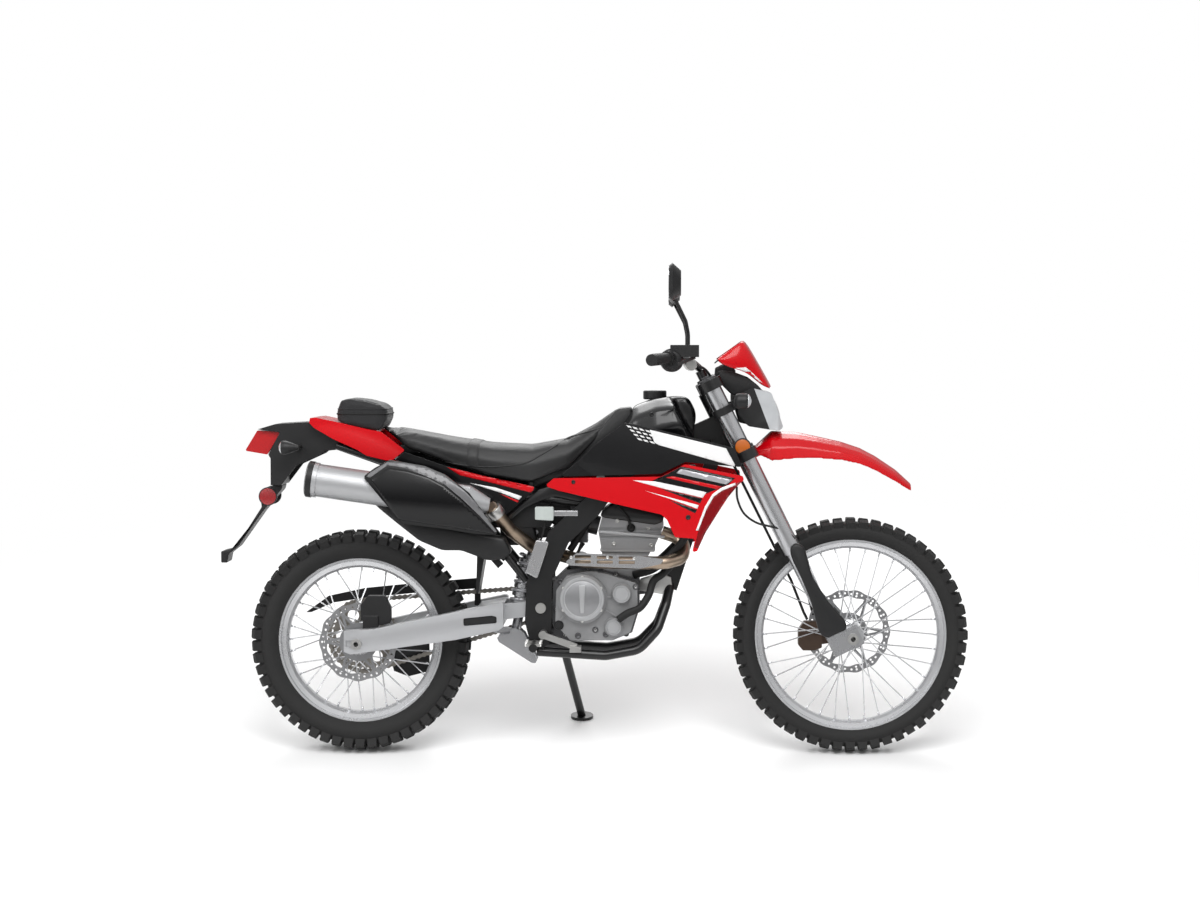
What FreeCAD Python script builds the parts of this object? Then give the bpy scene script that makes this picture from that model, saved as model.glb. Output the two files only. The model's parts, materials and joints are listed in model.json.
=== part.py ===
# Dual sport motorcycle, parked on its side stand.
# Every piece is drawn on the upright machine: X forward from the rear axle, Y to the left,
# Z up from the ground. The whole machine is then leaned to the left onto its stand, and the
# origin is set under the middle of its bounding box, on the floor. Lengths in millimetres.
import FreeCAD
import Part
import math
import os
from types import SimpleNamespace
from FreeCAD import Placement, Rotation, Vector

doc = FreeCAD.newDocument("dual_sport_motorcycle")
sheet = doc.addObject("Spreadsheet::Sheet", "Sizes")

sizeTable = {
    # stance
    "wheelbase": 1430.0,
    "leanAngle": 10.0,
    "rakeAngle": 26.5,
    "trail": 105.0,
    "seatGap": 0.3,
    "runGap": 5.0,
    "cutOverrun": 20.0,
    "workGap": 1.0,
    # rear wheel
    "rearTyreRadius": 322.0,
    "rearTyreHalf": 58.0,
    "rearLugHeight": 13.0,
    "rearRimRadius": 240.0,
    "rearRimDepth": 28.0,
    "rearRimHalf": 32.0,
    "rearHubRadius": 26.0,
    "rearFlangeRadius": 44.0,
    "rearDiscRadius": 115.0,
    "rearDiscPlace": 76.0,
    # front wheel
    "frontTyreRadius": 341.0,
    "frontTyreHalf": 42.0,
    "frontLugHeight": 11.0,
    "frontRimRadius": 278.0,
    "frontRimDepth": 25.0,
    "frontRimHalf": 27.0,
    "frontHubRadius": 22.0,
    "frontFlangeRadius": 36.0,
    "frontDiscRadius": 124.0,
    "frontDiscPlace": 64.0,
    # what both wheels share
    "treadHalf": 24.0,
    "knobWidth": 17.0,
    "knobRoot": 5.0,
    "spokeWidth": 3.2,
    "flangeThick": 6.0,
    "discThick": 4.0,
    "discCarrierRadius": 50.0,
    "discBand": 26.0,
    "axleRadius": 10.0,
    "axleBore": 7.0,
    "axleNutRadius": 16.0,
    "axleNutThick": 10.0,
    # swingarm
    "pivotX": 532.0,
    "pivotZ": 426.0,
    "pivotTubeRadius": 24.0,
    "pivotTubeHalf": 92.0,
    "armInner": 98.0,
    "armThick": 30.0,
    "armLength": 460.0,
    "armRise": 160.0,
    "armTailX": -36.0,
    "armLowZ": 290.0,
    "bridgeLength": 80.0,
    "bridgeX": 345.0,
    "bridgeLowZ": 376.0,
    "bridgeHeight": 62.0,
    "recessX": 310.0,
    "recessZ": 372.0,
    "recessLength": 96.0,
    "recessHeight": 34.0,
    "recessDeep": 5.0,
    "adjusterX": -30.0,
    "adjusterLength": 34.0,
    "adjusterHeight": 20.0,
    # drive
    "chainPlace": 80.0,
    "chainPitch": 15.875,
    "chainHalfHeight": 7.5,
    "chainHalfWidth": 9.0,
    "rearTeethCount": 42.0,
    "frontTeethCount": 14.0,
    "countershaftX": 604.0,
    "countershaftZ": 440.0,
    "sprocketThick": 7.0,
    "rollerRadius": 5.1,
    "toothHeight": 5.5,
    "discHoleRadius": 4.0,
    "guardX": -178.0,
    "guardZ": 390.0,
    "guardLength": 520.0,
    "guardHeight": 104.0,
    "guardTabWidth": 18.0,
    "guardTabHeight": 50.0,
    "guideX": 65.0,
    "guideZ": 199.0,
    "guideLength": 125.0,
    "guideHeight": 103.0,
    "guideTabWidth": 50.0,
    "guideTabHeight": 40.0,
    # brakes
    "caliperHalf": 16.0,
    "caliperRound": 5.0,
    "rearCaliperX": 8.0,
    "rearCaliperRise": 50.0,
    "rearCaliperLength": 88.0,
    "rearCaliperHeight": 86.0,
    "rearCarrierX": 15.0,
    "rearCarrierRise": 23.0,
    "rearCarrierLength": 45.0,
    "rearCarrierHeight": 55.0,
    "frontCaliperBack": 148.0,
    "frontCaliperDrop": 55.0,
    "frontCaliperLength": 70.0,
    "frontCarrierBack": 90.0,
    "frontCarrierDrop": 41.0,
    "frontCarrierLength": 60.0,
    "frontCarrierHeight": 52.0,
    "carrierThick": 11.0,
    "hoseRadius": 4.0,
    "hoseTopS": 1060.0,
    "hoseMidS": 700.0,
    "hoseLowS": 560.0,
    "hoseBendS": 460.0,
    "hoseEndS": 436.0,
    "hoseEndU": -34.0,
    "hoseEndV": 72.0,
    "hoseBend": 60.0,
    # frame
    "headTubeRadius": 28.0,
    "tubeRadius": 14.0,
    "spineWidth": 50.0,
    "spineHeight": 60.0,
    "downTubeWidth": 40.0,
    "plateInner": 95.0,
    "plateThick": 14.0,
    "plateX": 486.0,
    "plateZ": 300.0,
    "plateLength": 272.0,
    "plateHeight": 505.0,
    "plateRound": 8.0,
    "crossX": 690.0,
    "crossLength": 55.0,
    "crossZ": 765.0,
    "crossHeight": 35.0,
    "spineFootX": 715.0,
    "spineFootZ": 800.0,
    "spineTopS": 1070.0,
    "spineBack": 10.0,
    "downTopS": 1040.0,
    "downBack": 22.0,
    "downFootX": 905.0,
    "downFootZ": 475.0,
    "railX": 520.0,
    "railZ": 288.0,
    "railLength": 386.0,
    "railHeight": 202.0,
    "railHalf": 100.0,
    "railBend": 60.0,
    "pivotBoltRadius": 15.0,
    "pivotBoltHead": 8.0,
    # rear subframe and shock
    "subRadius": 11.0,
    "subX": -60.0,
    "subZ": 726.0,
    "subLength": 715.0,
    "subHeight": 167.0,
    "subBend": 120.0,
    "stayFootX": 490.0,
    "stayFootZ": 502.0,
    "stayTopX": 252.0,
    "stayTopZ": 799.0,
    "tieRadius": 8.0,
    "frontTieX": 340.0,
    "frontTieZ": 774.0,
    "rearTieX": -50.0,
    "rearTieZ": 890.0,
    "seatPostX": 499.0,
    "seatPostWidth": 9.0,
    "seatPostZ": 745.0,
    "seatPostTop": 787.8,
    "shockFootX": 452.0,
    "shockFootZ": 345.0,
    "shockTopX": 515.0,
    "shockTopZ": 640.0,
    "shockRadius": 14.0,
    "shockEyeHalf": 22.0,
    "shockPinRadius": 6.0,
    "springFootX": 462.0,
    "springFootZ": 400.0,
    "springTopX": 499.0,
    "springTopZ": 570.0,
    "springCore": 24.0,
    "springRadius": 32.0,
    "shockTubeX": 562.0,
    "shockTubeZ": 636.0,
    "shockTubeRadius": 12.0,
    "earX": 500.0,
    "earZ": 622.0,
    "earLength": 62.0,
    "earHeight": 33.0,
    "earThick": 7.7,
    "linkX": 390.0,
    "linkZ": 352.0,
    "linkWidth": 30.0,
    "linkHeight": 18.0,
    "linkFootX": 372.0,
    "linkFootLength": 38.0,
    "linkFootHalf": 20.0,
    "rockerX": 400.0,
    "rockerZ": 256.0,
    "rockerLength": 118.0,
    "rockerHeight": 100.0,
    "rockerThick": 8.0,
    "rockerPlace": 34.0,
    # fork
    "forkSpread": 98.0,
    "forkOffset": 16.0,
    "forkTopS": 1204.0,
    "forkSeamS": 650.0,
    "outerTubeRadius": 26.0,
    "innerTubeRadius": 21.5,
    "clampThick": 30.0,
    "upperClampS": 1171.0,
    "lowerClampS": 946.0,
    "clampRim": 11.0,
    "clampFaceHalf": 40.0,
    "clampRound": 8.0,
    "stemRadius": 15.0,
    "stemRise": 8.0,
    "riserRadius": 14.0,
    "riserHeight": 34.0,
    "riserSpread": 42.0,
    "riserU": 8.0,
    "legFootRise": 25.0,
    "legFootDrop": 26.0,
    "legFootHeight": 60.0,
    "legFootLead": 24.0,
    "forkGuardThick": 5.0,
    "forkGuardRise": 36.0,
    "forkGuardHeight": 290.0,
    "forkGuardBack": 8.0,
    # handlebar
    "barRadius": 11.0,
    "barHalfWidth": 405.0,
    "barBendHalf": 290.0,
    "barRiseHalf": 165.0,
    "barFootHalf": 72.0,
    "barEndBack": 259.9,
    "barEndRise": 295.4,
    "barBendBack": 215.9,
    "barBendRise": 299.4,
    "barRiseBack": 152.9,
    "barRiseRise": 293.4,
    "barBend": 45.0,
    "gripRadius": 16.5,
    "gripLength": 118.0,
    "gripLap": 2.0,
    "perchRadius": 21.0,
    "perchLength": 28.0,
    "perchGap": 3.0,
    "perchBack": 207.9,
    "perchRise": 303.4,
    "perchBlockLength": 80.0,
    "perchBlockHeight": 34.0,
    "perchInner": 232.0,
    "perchWidth": 44.0,
    "leverBack": 137.9,
    "leverTipBack": 187.9,
    "leverTipRise": 283.4,
    "leverInner": 245.0,
    "leverOuter": 400.0,
    "leverWidth": 12.0,
    "leverThick": 9.0,
    # mirrors, lamp and dash, each place taken from the foot of the steering head
    "mirrorInner": 268.0,
    "mirrorWidth": 138.0,
    "mirrorBack": 212.9,
    "mirrorRise": 449.4,
    "mirrorHeight": 118.0,
    "mirrorDeep": 34.0,
    "mirrorRound": 30.0,
    "mirrorStemRadius": 5.0,
    "mirrorStemBack": 157.9,
    "mirrorStemHalf": 246.0,
    "mirrorStemRise": 31.0,
    "mirrorBend": 30.0,
    "mirrorElbowBack": 165.0,
    "mirrorElbowHalf": 268.0,
    "mirrorElbowRise": 66.0,
    "mirrorNeckBack": 196.0,
    "mirrorNeckHalf": 330.0,
    "mirrorNeckRise": 128.0,
    "lampBack": 12.9,
    "lampRise": 89.4,
    "lampLength": 132.0,
    "lampHeight": 124.0,
    "lampShellHalf": 72.0,
    "lampRound": 14.0,
    "lampFaceRound": 26.0,
    "stayS": 1092.0,
    "stayRim": 6.0,
    "stayHeight": 22.0,
    "stayReach": 60.0,
    "stayInner": 64.0,
    "stayWidth": 16.0,
    "maskBack": 69.9,
    "maskRise": 199.4,
    "maskLength": 153.0,
    "maskHeight": 141.0,
    "maskHalf": 98.0,
    "dashLength": 62.0,
    "dashHeight": 52.0,
    "frontSignalBack": 26.9,
    "frontSignalRise": 179.4,
    "frontSignalLength": 42.0,
    "frontSignalHalf": 215.0,
    "frontStalkInner": 80.0,
    "frontFenderLead": 37.1,
    "frontFenderDrop": 88.6,
    "frontFenderLength": 456.0,
    "frontFenderHeight": 177.0,
    "frontFenderHalf": 82.0,
    "tongueDrop": 6.0,
    "tongueHalf": 68.0,
    "tongueNarrow": 35.0,
    "tongueBack": 10.0,
    "tongueStep": 41.0,
    "tongueEnd": 78.0,
    # engine
    "caseX": 562.0,
    "caseZ": 328.0,
    "caseLength": 254.0,
    "caseHeight": 214.0,
    "caseRound": 12.0,
    "caseLugRadius": 14.0,
    "lowLugX": 545.0,
    "lowLugZ": 350.0,
    "highLugX": 552.0,
    "highLugZ": 492.0,
    "highLugRadius": 12.0,
    "lugBlockHalf": 60.0,
    "lugBlockThick": 22.0,
    "noseLugX": 800.0,
    "noseLugZ": 455.0,
    "noseLugLength": 130.0,
    "noseLugHeight": 75.0,
    "noseLugHalf": 18.0,
    "ribThick": 4.0,
    "ribHeight": 5.0,
    "boreX": 706.0,
    "boreLength": 146.0,
    "deckRise": 30.0,
    "gasketLap": 4.0,
    "headX": 697.0,
    "headZ": 592.0,
    "headLength": 189.0,
    "headHeight": 136.0,
    "headRound": 6.0,
    "headRib": 6.0,
    "plugRadius": 15.0,
    "plugX": 792.0,
    "plugZ": 655.0,
    "plugLength": 9.0,
    "intakeX": 697.0,
    "intakeZ": 656.0,
    "intakeEndX": 567.5,
    "intakeEndZ": 690.4,
    "carbX": 615.0,
    "carbLength": 50.0,
    "carbZ": 610.0,
    "carbHeight": 105.0,
    "airboxX": 345.0,
    "airboxZ": 655.0,
    "airboxLength": 215.0,
    "airboxHeight": 100.0,
    "airboxHalf": 66.0,
    "airboxRound": 10.0,
    "flapGuardX": 352.0,
    "flapGuardLow": 462.0,
    "flapGuardHalf": 62.0,
    "radiatorBack": 42.0,
    "radiatorThick": 32.0,
    "radiatorInner": 44.0,
    "radiatorOuter": 146.0,
    "radiatorZ": 640.0,
    "radiatorHeight": 188.0,
    "radiatorFins": 9.0,
    "finDeep": 4.0,
    "radiatorTabLead": 7.0,
    "radiatorTabLength": 30.0,
    "radiatorTabHeight": 20.0,
    "radiatorTabLow": 670.0,
    "radiatorTabHigh": 755.0,
    "caseRightY": 82.0,
    "caseLeftY": 64.0,
    "coverRightY": 122.0,
    "clutchX": 653.0,
    "clutchZ": 456.0,
    "clutchRadius": 71.0,
    "clutchY": 150.0,
    "filterX": 766.0,
    "filterZ": 470.0,
    "filterRadius": 30.0,
    "filterY": 140.0,
    "pumpX": 742.0,
    "pumpZ": 374.0,
    "pumpRadius": 27.0,
    "pumpY": 138.0,
    "coverLeftY": 100.0,
    "generatorX": 726.0,
    "generatorZ": 440.0,
    "generatorRadius": 70.0,
    "generatorY": 134.0,
    "boreHalf": 62.0,
    "headHalf": 74.0,
    "intakeRadius": 28.0,
    "carbHalf": 42.0,
    # exhaust
    "headerX": 392.0,
    "headerZ": 560.0,
    "headerLength": 552.0,
    "headerHeight": 81.8,
    "pipeRadius": 19.0,
    "pipeBend": 45.0,
    "pipeY": 138.0,
    "mufflerRadius": 47.0,
    "mufflerY": 172.0,
    "mufflerTailX": -132.0,
    "mufflerTailZ": 802.0,
    "mufflerNoseX": 330.0,
    "mufflerNoseZ": 736.0,
    "mufflerCone": 60.0,
    "tailpipeRadius": 20.0,
    "guardThick": 3.0,
    "heatGuardX": 604.0,
    "heatGuardZ": 545.0,
    "heatGuardLength": 285.0,
    "heatGuardHeight": 45.0,
    "heatSlotLength": 46.0,
    "heatSlotHeight": 9.0,
    "tailBoreDepth": 60.0,
    "hangerX": 84.0,
    "hangerLength": 12.0,
    "hangerInner": 95.0,
    "hangerOuter": 150.0,
    "hangerZ": 790.0,
    "hangerHeight": 57.0,
    # body panels
    "panelThick": 4.0,
    "seatRearX": 60.0,
    "seatLowZ": 779.0,
    "seatLap": 124.3,
    "seatHeight": 228.0,
    "seatHalf": 118.0,
    "tankSetback": 472.9,
    "tankLowZ": 800.0,
    "tankLength": 340.0,
    "tankHeight": 236.0,
    "tankHalf": 138.0,
    "tankNoseHalf": 36.0,
    "tankRound": 14.0,
    "tankSweepBack": 102.0,
    "tankNoseBack": 55.0,
    "notchS": 900.0,
    "capRadius": 34.0,
    "capHeight": 16.0,
    "capSetback": 252.9,
    "capSink": 10.0,
    "panelLap": 95.0,
    "seatRound": 14.0,
    "panelBossRadius": 9.0,
    "panelBossLead": 135.0,
    "panelBossZ": 905.0,
    "shroudBossRadius": 8.0,
    "shroudBossInner": 158.0,
    "panelLowZ": 594.0,
    "panelLength": 575.0,
    "panelHeight": 372.0,
    "panelHalf": 150.0,
    "shroudHalf": 174.0,
    "coverRearX": 110.0,
    "coverLowZ": 672.0,
    "coverLength": 414.0,
    "coverHeight": 209.0,
    "coverHalf": 112.0,
    "heatRearX": 34.0,
    "heatLowZ": 645.0,
    "heatLength": 387.0,
    "heatHeight": 213.0,
    "heatThick": 12.0,
    "heatCurve": 240.0,
    "heatDepth": 40.0,
    "tailRearX": -137.0,
    "tailLowZ": 852.0,
    "tailLength": 277.0,
    "tailHeight": 123.0,
    "tailHalf": 104.0,
    "fenderRearX": -292.0,
    "fenderLowZ": 750.0,
    "fenderLength": 622.0,
    "fenderHeight": 211.0,
    "fenderHalf": 72.0,
    "bagRearX": -60.0,
    "bagLowZ": 938.0,
    "bagLength": 149.0,
    "bagHeight": 92.0,
    "bagHalf": 95.0,
    "lampHalf": 58.0,
    "tailRibX": -70.0,
    "tailRibLength": 50.0,
    "tailRibHalf": 60.0,
    "tailRibLow": 912.0,
    "tailRibTop": 950.0,
    "tailRound": 4.0,
    "tailLampX": -331.0,
    "tailLampZ": 866.0,
    "tailLampLength": 103.0,
    "tailLampHeight": 70.0,
    "rearSignalX": -212.0,
    "rearSignalZ": 890.0,
    "rearStalkX": -190.0,
    "plateRearX": -407.0,
    "plateLowZ": 549.0,
    "holderLength": 182.0,
    "holderHeight": 228.0,
    "bagRound": 14.0,
    "bagSink": 2.0,
    # foot controls
    "pegRadius": 12.0,
    "pegX": 515.0,
    "pegZ": 322.0,
    "pegHalf": 212.0,
    "pillionX": 372.0,
    "pillionZ": 552.0,
    "pillionLength": 64.0,
    "pillionHeight": 78.0,
    "pillionThick": 6.0,
    "pillionFootX": 417.0,
    "pillionFootZ": 548.0,
    "pillionTipX": 354.0,
    "pillionTipZ": 620.0,
    "pillionPlace": 16.0,
    "pillionWidth": 30.0,
    "pillionDeep": 18.0,
    "pedalX": 540.0,
    "pedalZ": 352.0,
    "pedalRadius": 12.0,
    "pedalHalf": 150.0,
    "pedalArmHalf": 145.0,
    "pedalTipX": 636.0,
    "pedalTipZ": 318.0,
    "pedalArmWidth": 10.0,
    "pedalArmHeight": 18.0,
    "pedalPadX": 618.0,
    "pedalPadLength": 32.0,
    "pedalPadInner": 130.0,
    "pedalPadWidth": 42.0,
    "pedalPadZ": 305.0,
    "pedalPadThick": 17.0,
    "shifterX": 575.0,
    "shifterRadius": 8.0,
    "shifterTipX": 668.0,
    "shifterTipZ": 340.0,
    "shifterArmHeight": 14.0,
    "shifterPadRadius": 9.0,
    "shifterPadInner": 130.0,
    "shifterPadOuter": 180.0,
    "masterX": 489.0,
    "masterZ": 513.0,
    "masterLength": 68.0,
    "masterHeight": 111.0,
    "masterThick": 22.0,
    "masterRound": 5.0,
    "reservoirX": 517.0,
    "reservoirZ": 680.0,
    "reservoirLength": 53.0,
    "reservoirHeight": 40.0,
    "reservoirThick": 26.0,
    "reservoirEar": 70.0,
    "reservoirEarX": 570.0,
    "reservoirEarZ": 692.0,
    "reservoirEarHeight": 16.0,
    "signalRadius": 22.0,
    "signalLength": 50.0,
    "signalSpread": 150.0,
    "stalkRadius": 6.0,
    "bracketHalf": 40.0,
    # stand
    "standPivotX": 580.0,
    "standPivotY": 140.0,
    "standPivotZ": 308.0,
    "standFootX": 637.0,
    "standFootY": 292.0,
    "standTubeRadius": 12.0,
    "standTiltAngle": 28.6,
    "standFootRadius": 34.0,
    "standFootThick": 9.0,
    "standEyeHalf": 13.0,
    "standEyeRadius": 16.0,
    "standLugReach": 42.0,
}

row = 1
for name, value in sizeTable.items():
    sheet.set("A%d" % row, name)
    sheet.set("B%d" % row, str(value))
    sheet.setAlias("B%d" % row, name)
    row += 1
doc.recompute()
size = SimpleNamespace(**{name: float(sheet.get(name)) for name in sizeTable})

roundShare = 0.45
rake = math.radians(size.rakeAngle)
lean = math.radians(size.leanAngle)
standTilt = math.radians(size.standTiltAngle)
pieces = []

# the steering frame: its Z runs up the steering axis from the ground, its X points forward
steerPlace = Placement(Vector(size.wheelbase + size.trail, 0, 0), Rotation(Vector(0, 1, 0), -size.rakeAngle))
axleU = size.frontTyreRadius * math.sin(rake) - size.trail * math.cos(rake)
axleS = size.trail * math.sin(rake) + size.frontTyreRadius * math.cos(rake)


def keep(item):
    """Puts a finished object on the list of the part's nodes."""
    pieces.append(item)
    return item


def feature(label, shape, place=Placement()):
    item = doc.addObject("Part::Feature", label)
    item.Label = label
    item.Shape = shape
    item.Placement = place
    return keep(item)


def rounded(corners, radius, closed=True):
    """Straight runs joined by tangent arcs, as curves, through a list of 3-D corners."""
    count = len(corners)
    radii = radius if isinstance(radius, (list, tuple)) else [radius] * count
    turns = []
    for index, corner in enumerate(corners):
        if not closed and index in (0, count - 1):
            turns.append((corner, None, corner))
            continue
        before = corners[index - 1] - corner
        after = corners[(index + 1) % count] - corner
        half = before.getAngle(after) / 2
        shortest = min(before.Length, after.Length)
        reach = min(radii[index] / math.tan(half), roundShare * shortest)
        if reach < size.seatGap or half > math.radians(89.5):
            turns.append((corner, None, corner))
            continue
        before.normalize()
        after.normalize()
        arc = reach * math.tan(half)
        toward = (before + after).normalize()
        middle = corner + toward * (arc / math.sin(half) - arc)
        turns.append((corner + before * reach, middle, corner + after * reach))
    curves = []
    for index in range(count):
        first, middle, last = turns[index]
        if middle is not None:
            curves.append(Part.Arc(first, middle, last))
        if closed or index < count - 1:
            curves.append(Part.LineSegment(last, turns[(index + 1) % count][0]))
    return curves


def wire(corners, radius=0, closed=True):
    return Part.Wire([curve.toShape() for curve in rounded(corners, radius, closed)])


def flat(points, height=0):
    return [Vector(a, b, height) for a, b in points]


def sideView(points, y=0):
    return [Vector(x, y, z) for x, z in points]


def crossView(points, x=0):
    return [Vector(x, y, z) for y, z in points]


def slab(corners, radius, along):
    """A closed outline pushed along a vector."""
    return Part.Face(wire(corners, radius)).extrude(along)


def sidePlate(points, radius, low, high):
    """An outline in X and Z, from Y low to Y high."""
    return slab(sideView(points, low), radius, Vector(0, high - low, 0))


def spread(shares, x, z, length, height):
    return [(x + a * length, z + b * height) for a, b in shares]


def tube(corners, radius, bend):
    path = wire(corners, bend, closed=False)
    ring = Part.Wire(Part.makeCircle(radius, corners[0], corners[1] - corners[0]).Edges)
    return path.makePipeShell([ring], True, False)


def rod(start, end, radius):
    return Part.makeCylinder(radius, (end - start).Length, start, end - start)


def beam(start, end, width, height, side=Vector(0, 1, 0)):
    """A square bar from start to end, width across side and height across both."""
    along = end - start
    up = along.cross(side).normalize() * (height / 2)
    out = Vector(side).normalize() * (width / 2)
    face = Part.Face(Part.makePolygon([start + up + out, start + up - out, start - up - out,
                                       start - up + out, start + up + out]))
    return face.extrude(along)


def disc(radius, low, high, x=0, z=0):
    """A round plate about a lateral axis, from Y low to Y high."""
    return Part.makeCylinder(radius, high - low, Vector(x, low, z), Vector(0, 1, 0))


def block(x, y, z, length, width, height):
    """A block from its rear, right, low corner."""
    return Part.makeBox(length, width, height, Vector(x, y, z))


def mirrored(shape):
    return shape.mirror(Vector(0, 0, 0), Vector(0, 1, 0))


def pair(shape):
    return Part.makeCompound([shape, mirrored(shape)])


def fused(shapes):
    return shapes[0].multiFuse(shapes[1:]).removeSplitter()


def stations(sections, radius=0, ruled=True):
    """A loft through closed sections, their corners rounded."""
    return Part.makeLoft([wire(section, radius) for section in sections], True, ruled)


def turned(profile, x=0, z=0):
    """A closed outline of radius and Y, turned about a lateral axis."""
    face = Part.Face(wire([Vector(x + r, y, z) for r, y in profile]))
    return face.revolve(Vector(x, 0, z), Vector(0, 1, 0), 360)


def newBody(label, place=Placement()):
    body = doc.addObject("PartDesign::Body", label)
    body.Label = label
    body.Placement = place
    return keep(body)


def sketchOn(body, role, curves):
    sketch = body.newObject("Sketcher::SketchObject", body.Label + "_sketch")
    plane = [item for item in body.Origin.OriginFeatures if item.Role == role][0]
    sketch.AttachmentSupport = [(plane, "")]
    sketch.MapMode = "FlatFace"
    sketch.addGeometry(curves)
    return sketch


def padAcross(body, points, radius, depth):
    """An outline in X and Z, padded to both sides of the machine's middle plane."""
    pad = body.newObject("PartDesign::Pad", body.Label + "_pad")
    pad.Profile = sketchOn(body, "XZ_Plane", rounded(flat(points), radius))
    pad.setExpression("Length", depth)
    pad.SideType = "Symmetric"
    return pad


def primitive(kind, label, place, **sizes):
    """A Part primitive with its sizes bound to the sheet."""
    item = doc.addObject(kind, label)
    item.Label = label
    for name, expression in sizes.items():
        item.setExpression(name, expression)
    item.Placement = place
    return keep(item)


def revolveOn(body, points):
    """A closed outline of radius and Y, revolved about the body's Y axis."""
    turn = body.newObject("PartDesign::Revolution", body.Label + "_turn")
    turn.Profile = sketchOn(body, "XY_Plane", rounded(flat(points), 0))
    turn.ReferenceAxis = (turn.Profile[0], ["V_Axis"])
    turn.Angle = 360
    return turn


# Wheels
carcassShare = [(0.0, 0.62), (0.45, 0.88), (1.0, 0.42)]
centreShare = [(0.0, -0.20), (1.0, -0.18), (1.0, 0.18), (0.0, 0.20)]
shoulderShare = [(0.0, 0.40), (0.82, 0.60), (0.36, 1.0), (-1.0, 0.78)]
rearKnobRepeats = 27
frontKnobRepeats = 28


def facetRing(profile, count):
    """A closed outline of radius and Y, carried round the axle in flat facets."""
    faces = []
    ring = []
    for index in range(count):
        angle = 2 * math.pi * index / count
        ring.append([Vector(r * math.cos(angle), y, r * math.sin(angle)) for r, y in profile])
    for index in range(count):
        here = ring[index]
        there = ring[(index + 1) % count]
        for a in range(len(profile)):
            b = (a + 1) % len(profile)
            faces.append(Part.Face(Part.makePolygon([here[a], here[b], there[b], there[a], here[a]])))
    shell = Part.makeShell(faces)
    shell.sewShape()
    solid = Part.makeSolid(shell)
    return solid if solid.Volume > 0 else solid.reversed()


def knob(section, width, angle):
    """A block of tread: an outline of radius and Y, as wide round the tyre as the knob is."""
    corners = [Vector(r, y, -width / 2) for r, y in section]
    block = Part.Face(wire(corners)).extrude(Vector(0, 0, width))
    block.rotate(Vector(0, 0, 0), Vector(0, 1, 0), -math.degrees(angle))
    return block


def tyre(label, place, outerRadius, half, rimRadius, knobHeight, repeats):
    """A carcass with its rows of knobs, a row of three and a wide block by turns, a wide one on the floor."""
    seat = (rimRadius + size.seatGap) / math.cos(math.pi / repeats)
    base = outerRadius - knobHeight
    foot = base - size.knobRoot
    right = [(seat + a * (base - seat), -b * half) for a, b in carcassShare]
    left = [(r, -y) for r, y in reversed(right)]
    knobs = []
    for index in range(repeats):
        wide = -math.pi / 2 + 2 * math.pi * index / repeats
        narrow = wide + math.pi / repeats
        block = [(foot, -size.treadHalf), (outerRadius, -size.treadHalf), (outerRadius, size.treadHalf), (foot, size.treadHalf)]
        knobs.append(knob(block, size.knobWidth, wide))
        centre = [(foot + a * (outerRadius - foot), b * half) for a, b in centreShare]
        knobs.append(knob(centre, size.knobWidth, narrow))
        for side in (-1, 1):
            shoulder = [(foot + a * (outerRadius - foot), side * b * half) for a, b in shoulderShare]
            knobs.append(knob(shoulder, size.knobWidth, narrow))
    carcass = facetRing(right + left, repeats)
    return feature(label, carcass.multiFuse(knobs).removeSplitter(), place)


rimShare = [(0.0, 1.0), (-0.22, 1.0), (-0.30, 0.80), (-0.75, 0.72), (-1.0, 0.40)]
spokeCount = 36
spokeSweep = math.radians(68)
spokeRimShare = 0.25


def rim(label, place, radius, depth, half, hubRadius, flangeRadius, endFaces, bossFaces):
    """Rim, spokes and hub, as they leave the wheel builder."""
    outline = [(radius + a * depth, -b * half) for a, b in rimShare]
    ring = turned(outline + [(r, -y) for r, y in reversed(outline)])
    low, high = endFaces
    bossLow, bossHigh = bossFaces
    flange = size.flangeThick
    outline = [
        (size.axleRadius + size.seatGap, low),
        (size.axleNutRadius, low),
        (size.axleNutRadius, bossLow),
        (flangeRadius, bossLow),
        (flangeRadius, bossLow + 2 * flange),
        (hubRadius, bossLow + 3 * flange),
        (hubRadius, bossHigh - 3 * flange),
        (flangeRadius, bossHigh - 2 * flange),
        (flangeRadius, bossHigh),
        (size.axleNutRadius, bossHigh),
        (size.axleNutRadius, high),
        (size.axleRadius + size.seatGap, high),
    ]
    hub = turned(outline)
    parts = [ring, hub]
    reach = radius - depth
    for index in range(spokeCount):
        right = index % 2 == 0
        lead = 1 if (index // 2) % 2 == 0 else -1
        outer = 2 * math.pi * index / spokeCount
        inner = outer + lead * spokeSweep
        y = bossLow + flange if right else bossHigh - flange
        start = flangeRadius - flange
        side = Vector(start * math.cos(inner), y, start * math.sin(inner))
        rimY = -half * spokeRimShare if right else half * spokeRimShare
        end = Vector(reach * math.cos(outer), rimY, reach * math.sin(outer))
        end = end + (end - side).normalize() * size.spokeWidth
        parts.append(beam(side, end, size.spokeWidth, size.spokeWidth))
    return feature(label, fused(parts), place)


windowShare = 0.5
windowCount = 5
sprocketWindows = 6
discHoles = 18
discWaves = 9
waveShare = 0.035


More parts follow.
